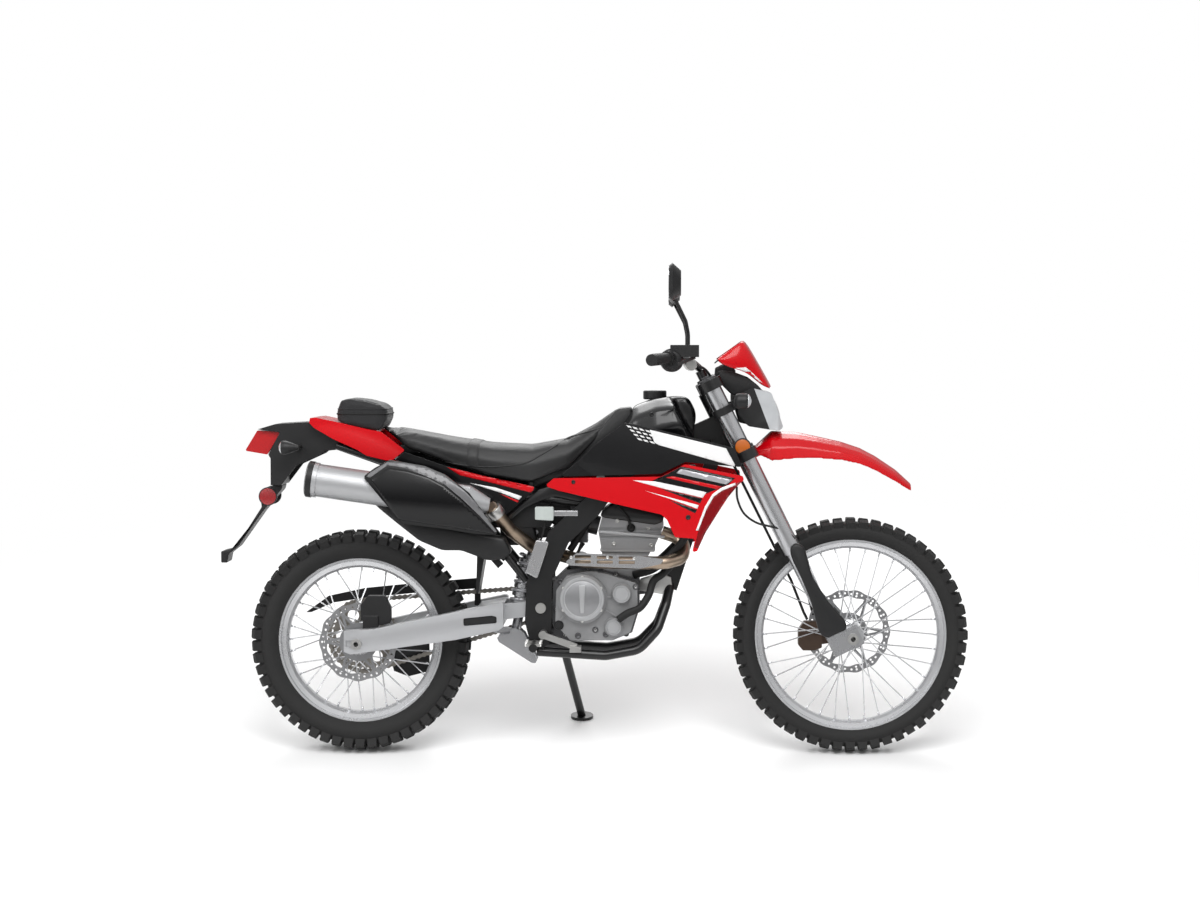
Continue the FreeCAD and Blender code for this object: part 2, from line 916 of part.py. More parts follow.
def brakeDisc(label, place, radius, centre, seatRadius):
    low = centre - size.discThick / 2
    high = centre + size.discThick / 2
    corners = []
    for index in range(2 * discWaves):
        angle = math.pi * index / discWaves
        reach = radius if index % 2 == 0 else radius * (1 - waveShare)
        corners.append(Vector(reach * math.cos(angle), low, reach * math.sin(angle)))
    shape = slab(corners, radius, Vector(0, high - low, 0)).cut(disc(seatRadius, low, high))
    inner = size.discCarrierRadius
    outer = radius - size.discBand
    ring = disc(outer, low, high).cut(disc(inner, low, high))
    step = 360 / windowCount
    for index in range(windowCount):
        wedge = Part.makeCylinder(radius, high - low, Vector(0, low, 0), Vector(0, 1, 0), step * windowShare)
        wedge.rotate(Vector(0, 0, 0), Vector(0, 1, 0), index * step)
        shape = shape.cut(ring.common(wedge))
    for index in range(discHoles):
        angle = 2 * math.pi * index / discHoles
        reach = radius - size.discBand * (0.35 if index % 2 else 0.65)
        shape = shape.cut(disc(size.discHoleRadius, low, high, reach * math.cos(angle), reach * math.sin(angle)))
    return feature(label, shape, place)


rearHub = Placement(Vector(0, 0, size.rearTyreRadius), Rotation())
frontHub = Placement(Vector(size.wheelbase, 0, size.frontTyreRadius), Rotation())
rearPitch = size.chainPitch / (2 * math.sin(math.pi / size.rearTeethCount))
frontPitch = size.chainPitch / (2 * math.sin(math.pi / size.frontTeethCount))
clampInner = size.forkSpread - size.outerTubeRadius

tyre("rear_tyre", rearHub, size.rearTyreRadius, size.rearTyreHalf, size.rearRimRadius, size.rearLugHeight,
     rearKnobRepeats)
tyre("front_tyre", frontHub, size.frontTyreRadius, size.frontTyreHalf, size.frontRimRadius, size.frontLugHeight,
     frontKnobRepeats)
rim("rear_rim", rearHub, size.rearRimRadius, size.rearRimDepth, size.rearRimHalf, size.rearHubRadius,
    size.rearFlangeRadius, (-size.armInner + size.seatGap, size.armInner - size.seatGap),
    (-size.rearDiscPlace + size.discThick / 2, size.chainPlace - size.sprocketThick / 2))
rim("front_rim", frontHub, size.frontRimRadius, size.frontRimDepth, size.frontRimHalf, size.frontHubRadius,
    size.frontFlangeRadius, (-clampInner + size.seatGap, clampInner - size.seatGap),
    (-size.frontDiscPlace + size.discThick / 2, size.frontDiscPlace - size.discThick / 2))
discSeat = size.axleNutRadius + size.runGap
brakeDisc("rear_disc", rearHub, size.rearDiscRadius, -size.rearDiscPlace, discSeat)
brakeDisc("front_disc", frontHub, size.frontDiscRadius, size.frontDiscPlace, discSeat)

sprocketLow = size.chainPlace - size.sprocketThick / 2
sprocketHigh = size.chainPlace + size.sprocketThick / 2
toothTip = rearPitch - size.rollerRadius - size.seatGap
toothRoot = toothTip - size.toothHeight
toothShare = [(0, 0.18), (1, 0.38), (1, 0.62), (0, 0.82)]


def toothed(count, root, tip, low, high):
    """A sprocket blank: a root circle in facets with a tooth on each pitch."""
    corners = []
    for index in range(int(count)):
        for rise, turn in toothShare:
            radius = root + rise * (tip - root)
            angle = 2 * math.pi * (index + turn) / count
            corners.append(Vector(radius * math.cos(angle), low, radius * math.sin(angle)))
    return slab(corners, 0, Vector(0, high - low, 0))


sprocket = toothed(size.rearTeethCount, toothRoot, toothTip, sprocketLow, sprocketHigh)
sprocket = sprocket.cut(disc(discSeat, sprocketLow, sprocketHigh))
windowRadius = (toothRoot - size.rearFlangeRadius) / 3
windowPlace = (toothRoot + size.rearFlangeRadius) / 2
for index in range(sprocketWindows):
    angle = 2 * math.pi * index / sprocketWindows
    sprocket = sprocket.cut(disc(windowRadius, sprocketLow, sprocketHigh, windowPlace * math.cos(angle), windowPlace * math.sin(angle)))
feature("rear_sprocket", sprocket, rearHub)


# Rear end
chainRise = size.countershaftZ - size.rearTyreRadius
chainSlope = math.atan2(chainRise, size.countershaftX)
chainWrap = math.acos((rearPitch - frontPitch) / math.hypot(size.countershaftX, chainRise))


def belt(offset, low, high):
    """The ground that the chain covers, with a corner at each roller that lies on a sprocket."""
    turns = (
        (0, size.rearTyreRadius, rearPitch, size.rearTeethCount, chainWrap, 2 * math.pi - chainWrap),
        (size.countershaftX, size.countershaftZ, frontPitch, size.frontTeethCount, -chainWrap, chainWrap),
    )
    corners = []
    for x, z, radius, teeth, first, last in turns:
        links = round((last - first) * teeth / (2 * math.pi))
        for index in range(links + 1):
            angle = chainSlope + first + (last - first) * index / links
            reach = radius + offset
            corners.append(Vector(x + reach * math.cos(angle), low, z + reach * math.sin(angle)))
    return slab(corners, 0, Vector(0, high - low, 0))


def chainBand(half, low, high):
    return belt(half, low, high).cut(belt(-half, low, high))


linkLow = size.chainPlace - size.chainHalfWidth
linkHigh = size.chainPlace + size.chainHalfWidth
linkMid = size.chainHalfWidth / 2
chain = fused([
    chainBand(size.chainHalfHeight, linkLow, linkLow + linkMid),
    chainBand(size.rollerRadius, linkLow + linkMid, linkHigh - linkMid),
    chainBand(size.chainHalfHeight, linkHigh - linkMid, linkHigh),
])
feature("drive_chain", chain)

armShare = [(0, 0.06), (0, 0.44), (0.19, 0.475), (0.98, 0.96), (1.0, 0.94), (1.0, 0.51), (0.97, 0.45),
            (0.70, 0.28), (0.04, 0.01)]
bridgeShare = [(0, 0), (0, 0.77), (1, 1), (1, 0)]
armOuter = size.armInner + size.armThick
arm = sidePlate(spread(armShare, size.armTailX, size.armLowZ, size.armLength, size.armRise), 3, size.armInner, armOuter)
bridge = sidePlate(spread(bridgeShare, size.bridgeX, size.bridgeLowZ, size.bridgeLength, size.bridgeHeight),
                   0, -armOuter, armOuter)
pivotArm = beam(Vector(size.bridgeX + size.bridgeLength / 2, size.pivotTubeHalf - size.armThick / 2,
                       size.bridgeLowZ + size.bridgeHeight / 2),
                Vector(size.pivotX, size.pivotTubeHalf - size.armThick / 2, size.pivotZ), size.armThick,
                size.pivotTubeRadius * 1.8)
pivotTube = disc(size.pivotTubeRadius, -size.pivotTubeHalf, size.pivotTubeHalf, size.pivotX, size.pivotZ)
swingarm = fused([arm, mirrored(arm), bridge, pivotArm, mirrored(pivotArm), pivotTube])
swingarm = swingarm.cut(disc(size.axleRadius, -armOuter, armOuter, 0, size.rearTyreRadius))
swingarm = swingarm.cut(disc(size.axleRadius, -armOuter, armOuter, size.pivotX, size.pivotZ))
recessShare = [(0, 0.1), (0, 0.75), (0.85, 1), (1, 0.9), (1, 0.35)]
recessFace = armOuter - size.recessDeep
recess = sidePlate(spread(recessShare, size.recessX, size.recessZ, size.recessLength, size.recessHeight),
                   size.recessDeep, recessFace, armOuter)
adjuster = block(size.adjusterX, recessFace, size.rearTyreRadius - size.adjusterHeight / 2, size.adjusterLength,
                 size.recessDeep, size.adjusterHeight)
adjuster = adjuster.cut(disc(size.axleNutRadius + size.seatGap, recessFace, armOuter, 0, size.rearTyreRadius))
swingarm = swingarm.cut(pair(recess)).cut(pair(adjuster))
feature("swingarm", swingarm)


def throughBolt(label, radius, headRadius, outer, head, bore=0):
    """A bolt across the machine, or a hollow axle, revolved about the body's own Y axis."""
    body = newBody(label)
    revolveOn(body, [(bore, -outer - head), (headRadius, -outer - head), (headRadius, -outer), (radius, -outer),
                     (radius, outer), (headRadius, outer), (headRadius, outer + head), (bore, outer + head)])
    return body


throughBolt("rear_axle", size.axleRadius, size.axleNutRadius, armOuter, size.axleNutThick, size.axleBore).Placement = rearHub

guardShare = [(0, 0), (0.13, 0.47), (0.34, 0.70), (0.64, 0.85), (1, 1), (1, 0.70), (0.64, 0.57), (0.34, 0.42), (0.16, 0.28), (0.03, 0)]
guideShare = [(0, 0.95), (1, 1), (1, 0.16), (0.5, 0), (0.15, 0.16)]
guardTabShare = [(0.967, 0.21), (0.315, -0.37)]
guardLow = linkHigh + 2 * size.workGap
guardHigh = size.armInner - size.seatGap
guard = sidePlate(spread(guardShare, size.guardX, size.guardZ, size.guardLength, size.guardHeight), 0, guardLow, guardHigh)
guide = sidePlate(spread(guideShare, size.guideX, size.guideZ, size.guideLength, size.guideHeight), 0, guardLow, guardHigh)
tabs = [block(x, guardLow, z, size.guardTabWidth, guardHigh - guardLow, tall)
        for (x, z), tall in zip(spread(guardTabShare, size.guardX, size.guardZ, size.guardLength, size.guardHeight),
                                (size.guardTabHeight, size.guardTabHeight + size.guardTabHeight / 2))]
guideTab = block(size.guideX + size.guideTabWidth / 2, guardLow, size.guideZ + size.guideHeight * 0.88, size.guideTabWidth,
                 guardHigh - guardLow, size.guideTabHeight)
feature("chain_guard", Part.makeCompound([fused([guard] + tabs), fused([guide, guideTab])]))

caliperShare = [(0, 0.2), (0, 0.7), (0.25, 1), (0.8, 1), (1, 0.6), (1, 0.1), (0.7, 0), (0.2, 0)]


def caliper(label, x, z, length, height, discY, discRadius, hub, carrier):
    """A caliper body with the slot that the disc runs in, and the bracket that carries it."""
    half = size.caliperHalf
    shape = sidePlate(spread(caliperShare, x, z, length, height), size.caliperRound, discY - half, discY + half)
    slot = size.discThick / 2 + size.workGap
    path = disc(discRadius + 2 * size.workGap, discY - slot, discY + slot, hub[0], hub[1])
    return feature(label, shape.fuse(carrier).cut(path).removeSplitter())


rearCarrierShare = [(0, 0), (1, 0), (1, 1), (0, 1)]
rearCarrier = sidePlate(
    spread(rearCarrierShare, size.rearCarrierX, size.rearTyreRadius + size.rearCarrierRise, size.rearCarrierLength,
           size.rearCarrierHeight), size.guardThick, -size.armInner + size.seatGap, -size.rearDiscPlace - 2 * size.discThick)
caliper("rear_caliper", size.rearCaliperX, size.rearTyreRadius + size.rearCaliperRise, size.rearCaliperLength,
        size.rearCaliperHeight, -size.rearDiscPlace, size.rearDiscRadius, (0, size.rearTyreRadius), rearCarrier)

# Frame
plateShare = [(0, 0.17), (0.02, 0.40), (0.26, 0.69), (0.67, 0.89), (0.92, 1.0), (1.0, 0.94), (0.78, 0.78),
              (0.46, 0.62), (0.29, 0.42), (0.28, 0.06), (0.16, 0), (0.07, 0.02)]
plateOuter = size.plateInner + size.plateThick


def onAxis(forward, along):
    """A point in the machine's middle plane, given ahead of the steering axis and along it."""
    return steerPlace.multVec(Vector(forward, 0, along))


headLowS = size.lowerClampS + size.clampThick + size.seatGap
headHighS = size.upperClampS - size.seatGap
headTube = rod(onAxis(0, headLowS), onAxis(0, headHighS), size.headTubeRadius)
spineTop = onAxis(-size.spineBack, size.spineTopS)
spineFoot = Vector(size.spineFootX, 0, size.spineFootZ)
spine = beam(spineTop, spineFoot, size.spineWidth, size.spineHeight)
downTop = onAxis(-size.downBack, size.downTopS)
downFoot = Vector(size.downFootX, 0, size.downFootZ)
downTube = beam(downTop, downFoot, size.downTubeWidth, size.downTubeWidth)
railShare = [(1, 0.08, 1), (0.966, 0.5, 0.703), (0.902, 0.82, 0.366), (0.764, 0.96, 0.084), (0.518, 1, 0), (0, 1, 0.059)]
rail = tube([Vector(size.railX + a * size.railLength, b * size.railHalf, size.railZ + c * size.railHeight)
             for a, b, c in railShare], size.tubeRadius, size.railBend)
plate = sidePlate(spread(plateShare, size.plateX, size.plateZ, size.plateLength, size.plateHeight), size.plateRound,
                  size.plateInner, plateOuter)
crossTop = block(size.crossX, -plateOuter, size.crossZ, size.crossLength, 2 * plateOuter, size.crossHeight)
standAxis = Vector(0, math.cos(standTilt), math.sin(standTilt))
pivot = Vector(size.standPivotX, size.standPivotY, size.standPivotZ)
lug = rod(pivot - standAxis * (size.standEyeHalf + size.seatGap), pivot - standAxis * size.standLugReach,
          size.standEyeRadius)
shockTube = disc(size.shockTubeRadius, -size.plateInner, size.plateInner, size.shockTubeX, size.shockTubeZ)
earShare = [(0, 0.303), (0.08, 1), (1, 0.848), (1, 0.091), (0.323, 0)]
earLow = size.shockEyeHalf + size.seatGap
earHigh = earLow + size.earThick
shockEar = sidePlate(spread(earShare, size.earX, size.earZ, size.earLength, size.earHeight), size.caliperRound,
                     earLow, earHigh)
shockEar = shockEar.cut(disc(size.shockPinRadius + size.seatGap, earLow, earHigh, size.shockTopX, size.shockTopZ))
frame = fused([headTube, spine, downTube, rail, mirrored(rail), plate, mirrored(plate), crossTop, lug, shockTube,
               shockEar, mirrored(shockEar)])
bearingLow = headLowS - size.cutOverrun
bearingHigh = headHighS + size.cutOverrun
frame = frame.cut(rod(onAxis(0, bearingLow), onAxis(0, bearingHigh), size.stemRadius + size.seatGap))
frame = frame.cut(disc(size.axleRadius, -plateOuter, plateOuter, size.pivotX, size.pivotZ))
feature("main_frame", frame)


throughBolt("swingarm_pivot", size.axleRadius, size.pivotBoltRadius, plateOuter, size.pivotBoltHead).Placement = Placement(
    Vector(size.pivotX, 0, size.pivotZ), Rotation())

springCoils = 7
springShare = 0.5
railY = size.plateInner - size.seatGap - size.subRadius
upperShare = [(1, 0), (0.5734, 0.2754), (0.2378, 0.6707), (0, 1)]
upperRoute = [Vector(x, railY, z) for x, z in spread(upperShare, size.subX, size.subZ, size.subLength, size.subHeight)]
upperRail = tube(upperRoute, size.subRadius, size.subBend)
lowerStay = rod(Vector(size.stayFootX, railY, size.stayFootZ), Vector(size.stayTopX, railY, size.stayTopZ), size.subRadius)
tiePlaces = ((size.frontTieX, size.frontTieZ), (size.rearTieX, size.rearTieZ))
ties = [disc(size.tieRadius, -railY, railY, x, z) for x, z in tiePlaces]
seatPost = block(size.seatPostX, railY - size.seatPostWidth / 2, size.seatPostZ, size.seatPostWidth, size.seatPostWidth,
                 size.seatPostTop - size.seatPostZ)
feature("rear_subframe", fused([upperRail, mirrored(upperRail), lowerStay, mirrored(lowerStay), seatPost,
                                mirrored(seatPost)] + ties))

shockFoot = Vector(size.shockFootX, 0, size.shockFootZ)
shockTop = Vector(size.shockTopX, 0, size.shockTopZ)
springFoot = Vector(size.springFootX, 0, size.springFootZ)
springTop = Vector(size.springTopX, 0, size.springTopZ)
springStep = (springTop - springFoot) * (1 / springCoils)
spring = [rod(springFoot, springTop, size.springCore)]
for index in range(springCoils):
    start = springFoot + springStep * index
    spring.append(rod(start, start + springStep * springShare, size.springRadius))
rockerShare = [(0.42, 0.9), (0.55, 1), (0.68, 0.86), (1, 0.1), (0.95, 0), (0.85, 0.02), (0.05, 0.62), (0, 0.74), (0.06, 0.82)]
rocker = sidePlate(spread(rockerShare, size.rockerX, size.rockerZ, size.rockerLength, size.rockerHeight), size.caliperRound,
                   size.rockerPlace - size.rockerThick, size.rockerPlace)
link = Vector(size.linkX, 0, size.linkZ)
shock = fused([rod(shockFoot, shockTop, size.shockRadius)] + spring + [
    disc(size.shockRadius, -size.shockEyeHalf, size.shockEyeHalf, shockTop.x, shockTop.z),
    disc(size.shockPinRadius, -earHigh, earHigh, shockTop.x, shockTop.z),
    disc(size.shockRadius, -size.rockerPlace, size.rockerPlace, shockFoot.x, shockFoot.z),
    rocker,
    mirrored(rocker),
    beam(shockFoot, link, size.linkWidth, size.linkHeight),
    block(size.linkFootX, -size.linkFootHalf, link.z - size.shockPinRadius, size.linkFootLength, 2 * size.linkFootHalf,
          size.bridgeLowZ - size.seatGap - link.z + size.shockPinRadius),
])
feature("rear_shock", shock)

# Engine
caseShare = [(0, 0.34), (0.02, 0.80), (0.15, 0.95), (0.38, 1.0), (0.60, 0.97), (1.0, 0.83), (1.0, 0.43), (0.92, 0.12),
             (0.70, 0.01), (0.15, 0), (0.03, 0.10)]
caseOutline = spread(caseShare, size.caseX, size.caseZ, size.caseLength, size.caseHeight)
lugEnd = size.plateInner - size.seatGap
frontLugShare = [(0, 0), (0, 0.493), (1, 1), (0.962, 0.2)]
frontLug = sidePlate(spread(frontLugShare, size.noseLugX, size.noseLugZ, size.noseLugLength, size.noseLugHeight), 0,
                     -size.noseLugHalf, size.noseLugHalf).cut(frame)
frontLug = frontLug.common(block(size.noseLugX, -size.noseLugHalf, 0, size.caseRightY + size.noseLugHalf,
                                 2 * size.noseLugHalf, size.wheelbase))
frontLug.translate(Vector(-size.seatGap, 0, 0))
lugBlocks = [block(x, -size.lugBlockHalf, z - size.lugBlockThick / 2, size.caseX - x + size.noseLugHalf,
                   2 * size.lugBlockHalf, size.lugBlockThick)
             for x, z in ((size.lowLugX, size.lowLugZ), (size.highLugX, size.highLugZ))]
feature("crankcase", fused([
    sidePlate(caseOutline, 0, -size.caseRightY, size.caseLeftY),
    disc(size.caseLugRadius, -lugEnd, lugEnd, size.lowLugX, size.lowLugZ),
    disc(size.highLugRadius, -lugEnd, lugEnd, size.highLugX, size.highLugZ),
    frontLug,
] + lugBlocks))

coverShare = [(0.05, 0.25), (0.06, 0.70), (0.18, 0.90), (0.40, 0.96), (0.62, 0.93), (0.98, 0.80), (0.98, 0.45), (0.90, 0.14),
              (0.70, 0.03), (0.22, 0.03)]
coverOutline = spread(coverShare, size.caseX, size.caseZ, size.caseLength, size.caseHeight)


def dome(radius, root, tip, x, z):
    """A round cover from Y root to Y tip, its rim chamfered."""
    chamfer = abs(tip - root) / 3
    step = chamfer if tip > root else -chamfer
    return turned([(0, root), (radius, root), (radius, tip - step), (radius - chamfer, tip), (0, tip)], x, z)


ribShare = [(0.10, 0.30), (0.12, 0.72), (0.84, 0.30), (0.80, 0.62)]
ribs = []
for x, z in spread(ribShare, size.caseX, size.caseZ, size.caseLength, size.caseHeight):
    hub = Vector(size.clutchX, -size.coverRightY - size.ribHeight / 2, size.clutchZ)
    ribs.append(beam(hub, Vector(x, -size.coverRightY - size.ribHeight / 2, z), size.ribHeight, size.ribThick))
rightCover = fused([
    sidePlate(coverOutline, size.caseRound, -size.coverRightY, -size.caseRightY),
    dome(size.clutchRadius, -size.coverRightY, -size.clutchY, size.clutchX, size.clutchZ),
    dome(size.filterRadius, -size.coverRightY, -size.filterY, size.filterX, size.filterZ),
    dome(size.pumpRadius, -size.coverRightY, -size.pumpY, size.pumpX, size.pumpZ),
] + ribs)
feature("clutch_cover", rightCover)

leftShare = [(0.34, 0.10), (0.34, 0.90), (0.62, 0.93), (0.98, 0.80), (0.98, 0.45), (0.90, 0.14), (0.70, 0.03)]
leftCover = fused([
    sidePlate(spread(leftShare, size.caseX, size.caseZ, size.caseLength, size.caseHeight), size.caseRound,
              size.caseLeftY, size.coverLeftY),
    dome(size.generatorRadius, size.coverLeftY, size.generatorY, size.generatorX, size.generatorZ),
])
feature("generator_cover", leftCover)

barrelOutline = [caseOutline[4], (size.boreX, size.headZ), (size.boreX + size.boreLength, size.headZ),
                 (caseOutline[5][0] + size.gasketLap, caseOutline[5][1] + size.deckRise), caseOutline[5]]
padAcross(newBody("cylinder"), barrelOutline, 0, "2 * Sizes.boreHalf")
headShare = [(0.05, 0), (0, 0.40), (0.08, 0.82), (0.27, 1.0), (0.97, 0.77), (1.0, 0.50), (0.84, 0)]
headOutline = spread(headShare, size.headX, size.headZ, size.headLength, size.headHeight)
headBlock = sidePlate(headOutline, size.headRound, -size.headHalf, size.headHalf)
ribBandShare = [(0, 0.24), (0, 0.30), (1, 0.30), (1, 0.24)]
for turn in range(3):
    band = [(a, b + turn * size.headRib * 2 / size.headHeight) for a, b in ribBandShare]
    groove = sidePlate(spread(band, size.headX, size.headZ, size.headLength, size.headHeight), 0,
                       size.headHalf - size.headRib, size.headHalf)
    headBlock = headBlock.cut(pair(groove))
plugWell = disc(size.plugRadius, -size.headHalf, -size.headHalf + size.plugLength, size.plugX, size.plugZ)
headBlock = headBlock.cut(pair(plugWell))
feature("cylinder_head", headBlock)

intake = rod(Vector(size.intakeX, 0, size.intakeZ), Vector(size.intakeEndX, 0, size.intakeEndZ), size.intakeRadius)
carb = fused([intake, block(size.carbX, -size.carbHalf, size.carbZ, size.carbLength, 2 * size.carbHalf, size.carbHeight)])
feature("carburettor", carb.cut(sidePlate(headOutline, size.headRound, -size.headHalf, size.headHalf)))

airboxShare = [(0.023, 0), (0, 1), (1, 0.72), (1, 0)]
airbox = newBody("airbox")
padAcross(airbox, spread(airboxShare, size.airboxX, size.airboxZ, size.airboxLength, size.airboxHeight), size.airboxRound,
          "2 * Sizes.airboxHalf")
mudShare = [(0.05, 1.05), (0.16, 1.05), (0.07, 0.6), (-0.02, 0), (-0.05, 0), (-0.035, 0.6)]
padAcross(airbox, spread(mudShare, size.flapGuardX, size.flapGuardLow, size.airboxLength,
                         size.airboxZ - size.flapGuardLow), 0, "2 * Sizes.flapGuardHalf")

radiatorMiddle = size.radiatorZ + size.radiatorHeight / 2
downShare = (radiatorMiddle - downFoot.z) / (downTop.z - downFoot.z)
radiatorX = downFoot.x + downShare * (downTop.x - downFoot.x) - size.radiatorBack
core = block(radiatorX, size.radiatorInner, size.radiatorZ, size.radiatorThick, size.radiatorOuter - size.radiatorInner,
             size.radiatorHeight)
finStep = size.radiatorHeight / (size.radiatorFins + 1)
for index in range(int(size.radiatorFins)):
    low = size.radiatorZ + finStep * (index + 0.75)
    core = core.cut(block(radiatorX + size.radiatorThick - size.finDeep, size.radiatorInner + 2 * size.finDeep, low,
                          size.finDeep, size.radiatorOuter - size.radiatorInner - 4 * size.finDeep, finStep / 2))
tabInner = size.downTubeWidth / 2 + size.seatGap
radiatorTabs = [block(radiatorX + size.radiatorTabLead, tabInner, z, size.radiatorTabLength, size.radiatorInner - tabInner + size.finDeep,
                      size.radiatorTabHeight) for z in (size.radiatorTabLow, size.radiatorTabHigh)]
feature("radiators", pair(fused([core] + radiatorTabs)))

# Exhaust, its run given along, across as a share of the muffler's place, and up
headerShare = [(0.8862, 0.2907, 1.0), (0.9964, 0.3023, 0.7579), (1.0, 0.5523, 0.1467), (0.9022, 0.8023, 0.0),
               (0.558, 0.8023, 0.0244), (0.4819, 0.686, 0.0244), (0.3768, 0.3605, 0.1467), (0.2047, 0.3605, 0.489),
               (0.096, 0.6105, 1.1002), (0.0, 1.0, 1.9804)]
header = tube([Vector(size.headerX + a * size.headerLength, -b * size.mufflerY, size.headerZ + c * size.headerHeight)
               for a, b, c in headerShare], size.pipeRadius, size.pipeBend)
feature("exhaust_header", header)
tail = Vector(size.mufflerTailX, -size.mufflerY, size.mufflerTailZ)
nose = Vector(size.mufflerNoseX, -size.mufflerY, size.mufflerNoseZ)
axis = (nose - tail).normalize()
can = rod(tail, nose, size.mufflerRadius)
cone = Part.makeCone(size.mufflerRadius, size.pipeRadius, size.mufflerCone, nose, axis)
endCap = rod(tail, tail + axis * size.mufflerCone / 2, size.mufflerRadius + size.guardThick)
can = fused([can, cone, endCap]).cut(rod(tail, tail + axis * size.tailBoreDepth, size.tailpipeRadius)).cut(header)
hanger = block(size.hangerX, -size.hangerOuter, size.hangerZ, size.hangerLength, size.hangerOuter - size.hangerInner,
               size.hangerHeight).cut(rod(tail, nose, size.mufflerRadius - size.guardThick))
feature("muffler", fused([can, hanger]))
guardOuter = -size.pipeY - size.pipeRadius - size.seatGap
pipeGuardShare = [(0, 0.4), (0.12, 1), (0.77, 0.80), (1.0, 0.6), (0.96, 0.3), (0.75, 0), (0.05, 0.2)]
heatGuard = sidePlate(spread(pipeGuardShare, size.heatGuardX, size.heatGuardZ, size.heatGuardLength, size.heatGuardHeight),
                      size.headRound, guardOuter - size.guardThick, guardOuter)
slotShare = [(0.10, 0.34), (0.32, 0.32), (0.54, 0.30), (0.10, 0.66), (0.32, 0.62), (0.54, 0.58)]
for x, z in spread(slotShare, size.heatGuardX, size.heatGuardZ, size.heatGuardLength, size.heatGuardHeight):
    slot = sidePlate([(x, z), (x + size.heatSlotLength, z), (x + size.heatSlotLength, z + size.heatSlotHeight),
                      (x, z + size.heatSlotHeight)], size.guardThick, guardOuter - size.guardThick, guardOuter)
    heatGuard = heatGuard.cut(slot)
feature("header_guard", heatGuard)
heatShare = [(0, 0.78), (0.08, 0.89), (0.19, 1.0), (0.45, 0.92), (0.60, 0.81), (0.78, 0.57), (0.90, 0.27), (1.0, 0), (0.83, 0.01),
             (0.60, 0.08), (0.29, 0.15), (0.17, 0.41)]
heatSkin = -size.mufflerY - size.mufflerRadius - size.seatGap
heatOutline = spread(heatShare, size.heatRearX, size.heatLowZ, size.heatLength, size.heatHeight)
heatStart = Vector(size.heatRearX - size.cutOverrun, heatSkin - size.heatThick + size.heatCurve,
                   size.heatLowZ + size.heatHeight / 2)
heatEnd = heatStart + Vector(size.heatLength + 2 * size.cutOverrun, 0, 0)
heatPlate = sidePlate(heatOutline, size.plateRound, heatSkin - size.heatThick, heatSkin + size.heatDepth)
heatPlate = heatPlate.common(rod(heatStart, heatEnd, size.heatCurve))
heatPlate = heatPlate.cut(rod(heatStart, heatEnd, size.heatCurve - size.heatThick))
clearCan = rod(tail, nose + axis * size.mufflerCone, size.mufflerRadius + size.seatGap)
feature("muffler_cover", heatPlate.cut(clearCan))


# Body
def bandAt(points, thick):
    """A sheet that follows a curve in plan, as high as the machine."""
    near = [Vector(x, y, 0) for x, y in points]
    far = [Vector(x, y + thick, 0) for x, y in reversed(points)]
    return Part.Face(Part.makePolygon(near + far + [near[0]])).extrude(Vector(0, 0, size.wheelbase))


def panel(shares, x, z, length, height, bandShare, half, thick, radius=6):
    outline = sidePlate(spread(shares, x, z, length, height), radius, 0, 2 * half)
    band = bandAt([(x + a * length, b * half) for a, b in bandShare], thick)
    return outline.common(band)


headFoot = onAxis(0, size.lowerClampS)
tankRearX = headFoot.x - size.tankSetback
seatTopShare = [0.75, 0.69, 0.585, 0.515, 0.49, 0.575, 0.76, 0.99]
seatLowShare = [0.74, 0.47, 0.27, 0.12, 0.04, 0.22, 0.56, 0.94]
seatStationShare = [0.0, 0.12, 0.30, 0.46, 0.62, 0.77, 0.88, 0.985]
seatWideShare = [0.60, 0.90, 1.0, 1.0, 0.95, 0.80, 0.62, 0.45]
seatRingShare = ((-0.92, 0), (-1, 0.5), (-0.82, 0.88), (-0.35, 1), (0.35, 1), (0.82, 0.88), (1, 0.5), (0.92, 0))
seatLength = (tankRearX + size.seatLap - size.seatRearX) / seatStationShare[-1]
sections = []
for a, top, low, wide in zip(seatStationShare, seatTopShare, seatLowShare, seatWideShare):
    x = size.seatRearX + a * seatLength
    zt = size.seatLowZ + top * size.seatHeight
    zb = size.seatLowZ + low * size.seatHeight
    w = wide * size.seatHalf
    sections.append([Vector(x, yy * w, zb + zz * (zt - zb)) for yy, zz in seatRingShare])
seat = stations(sections, size.seatRound)

tankTopShare = [0.19, 0.42, 0.68, 0.88, 0.98, 1.0, 0.99, 0.90]
tankLowShare = [0.08, 0.10, 0.12, 0.17, 0.25, 0.36, 0.44, 0.47]
tankStationShare = [0.0, 0.18, 0.38, 0.47, 0.65, 0.82, 0.92, 1.0]
tankWideShare = [0.45, 0.72, 0.90, 0.95, 1.0, 1.0, 0.97, 0.90]
tankRingShare = ((-0.8, 0), (-1, 0.45), (-0.9, 0.8), (-0.45, 1), (0.45, 1), (0.9, 0.8), (1, 0.45), (0.8, 0))
sections = []
for a, top, low, wide in zip(tankStationShare, tankTopShare, tankLowShare, tankWideShare):
    x = tankRearX + a * size.tankLength
    zt = size.tankLowZ + top * size.tankHeight
    zb = size.tankLowZ + low * size.tankHeight
    w = wide * size.tankHalf
    sections.append([Vector(x, yy * w, zb + zz * (zt - zb)) for yy, zz in tankRingShare])
tank = stations(sections, size.tankRound)


def aheadOf(forward):
    """All that lies ahead of a line along the steering axis, as a face in the middle plane."""
    far = size.notchS + size.tankLength
    return Part.Face(wire([onAxis(forward, size.notchS), onAxis(forward, far), onAxis(size.tankLength, far),
                           onAxis(size.tankLength, size.notchS)]))


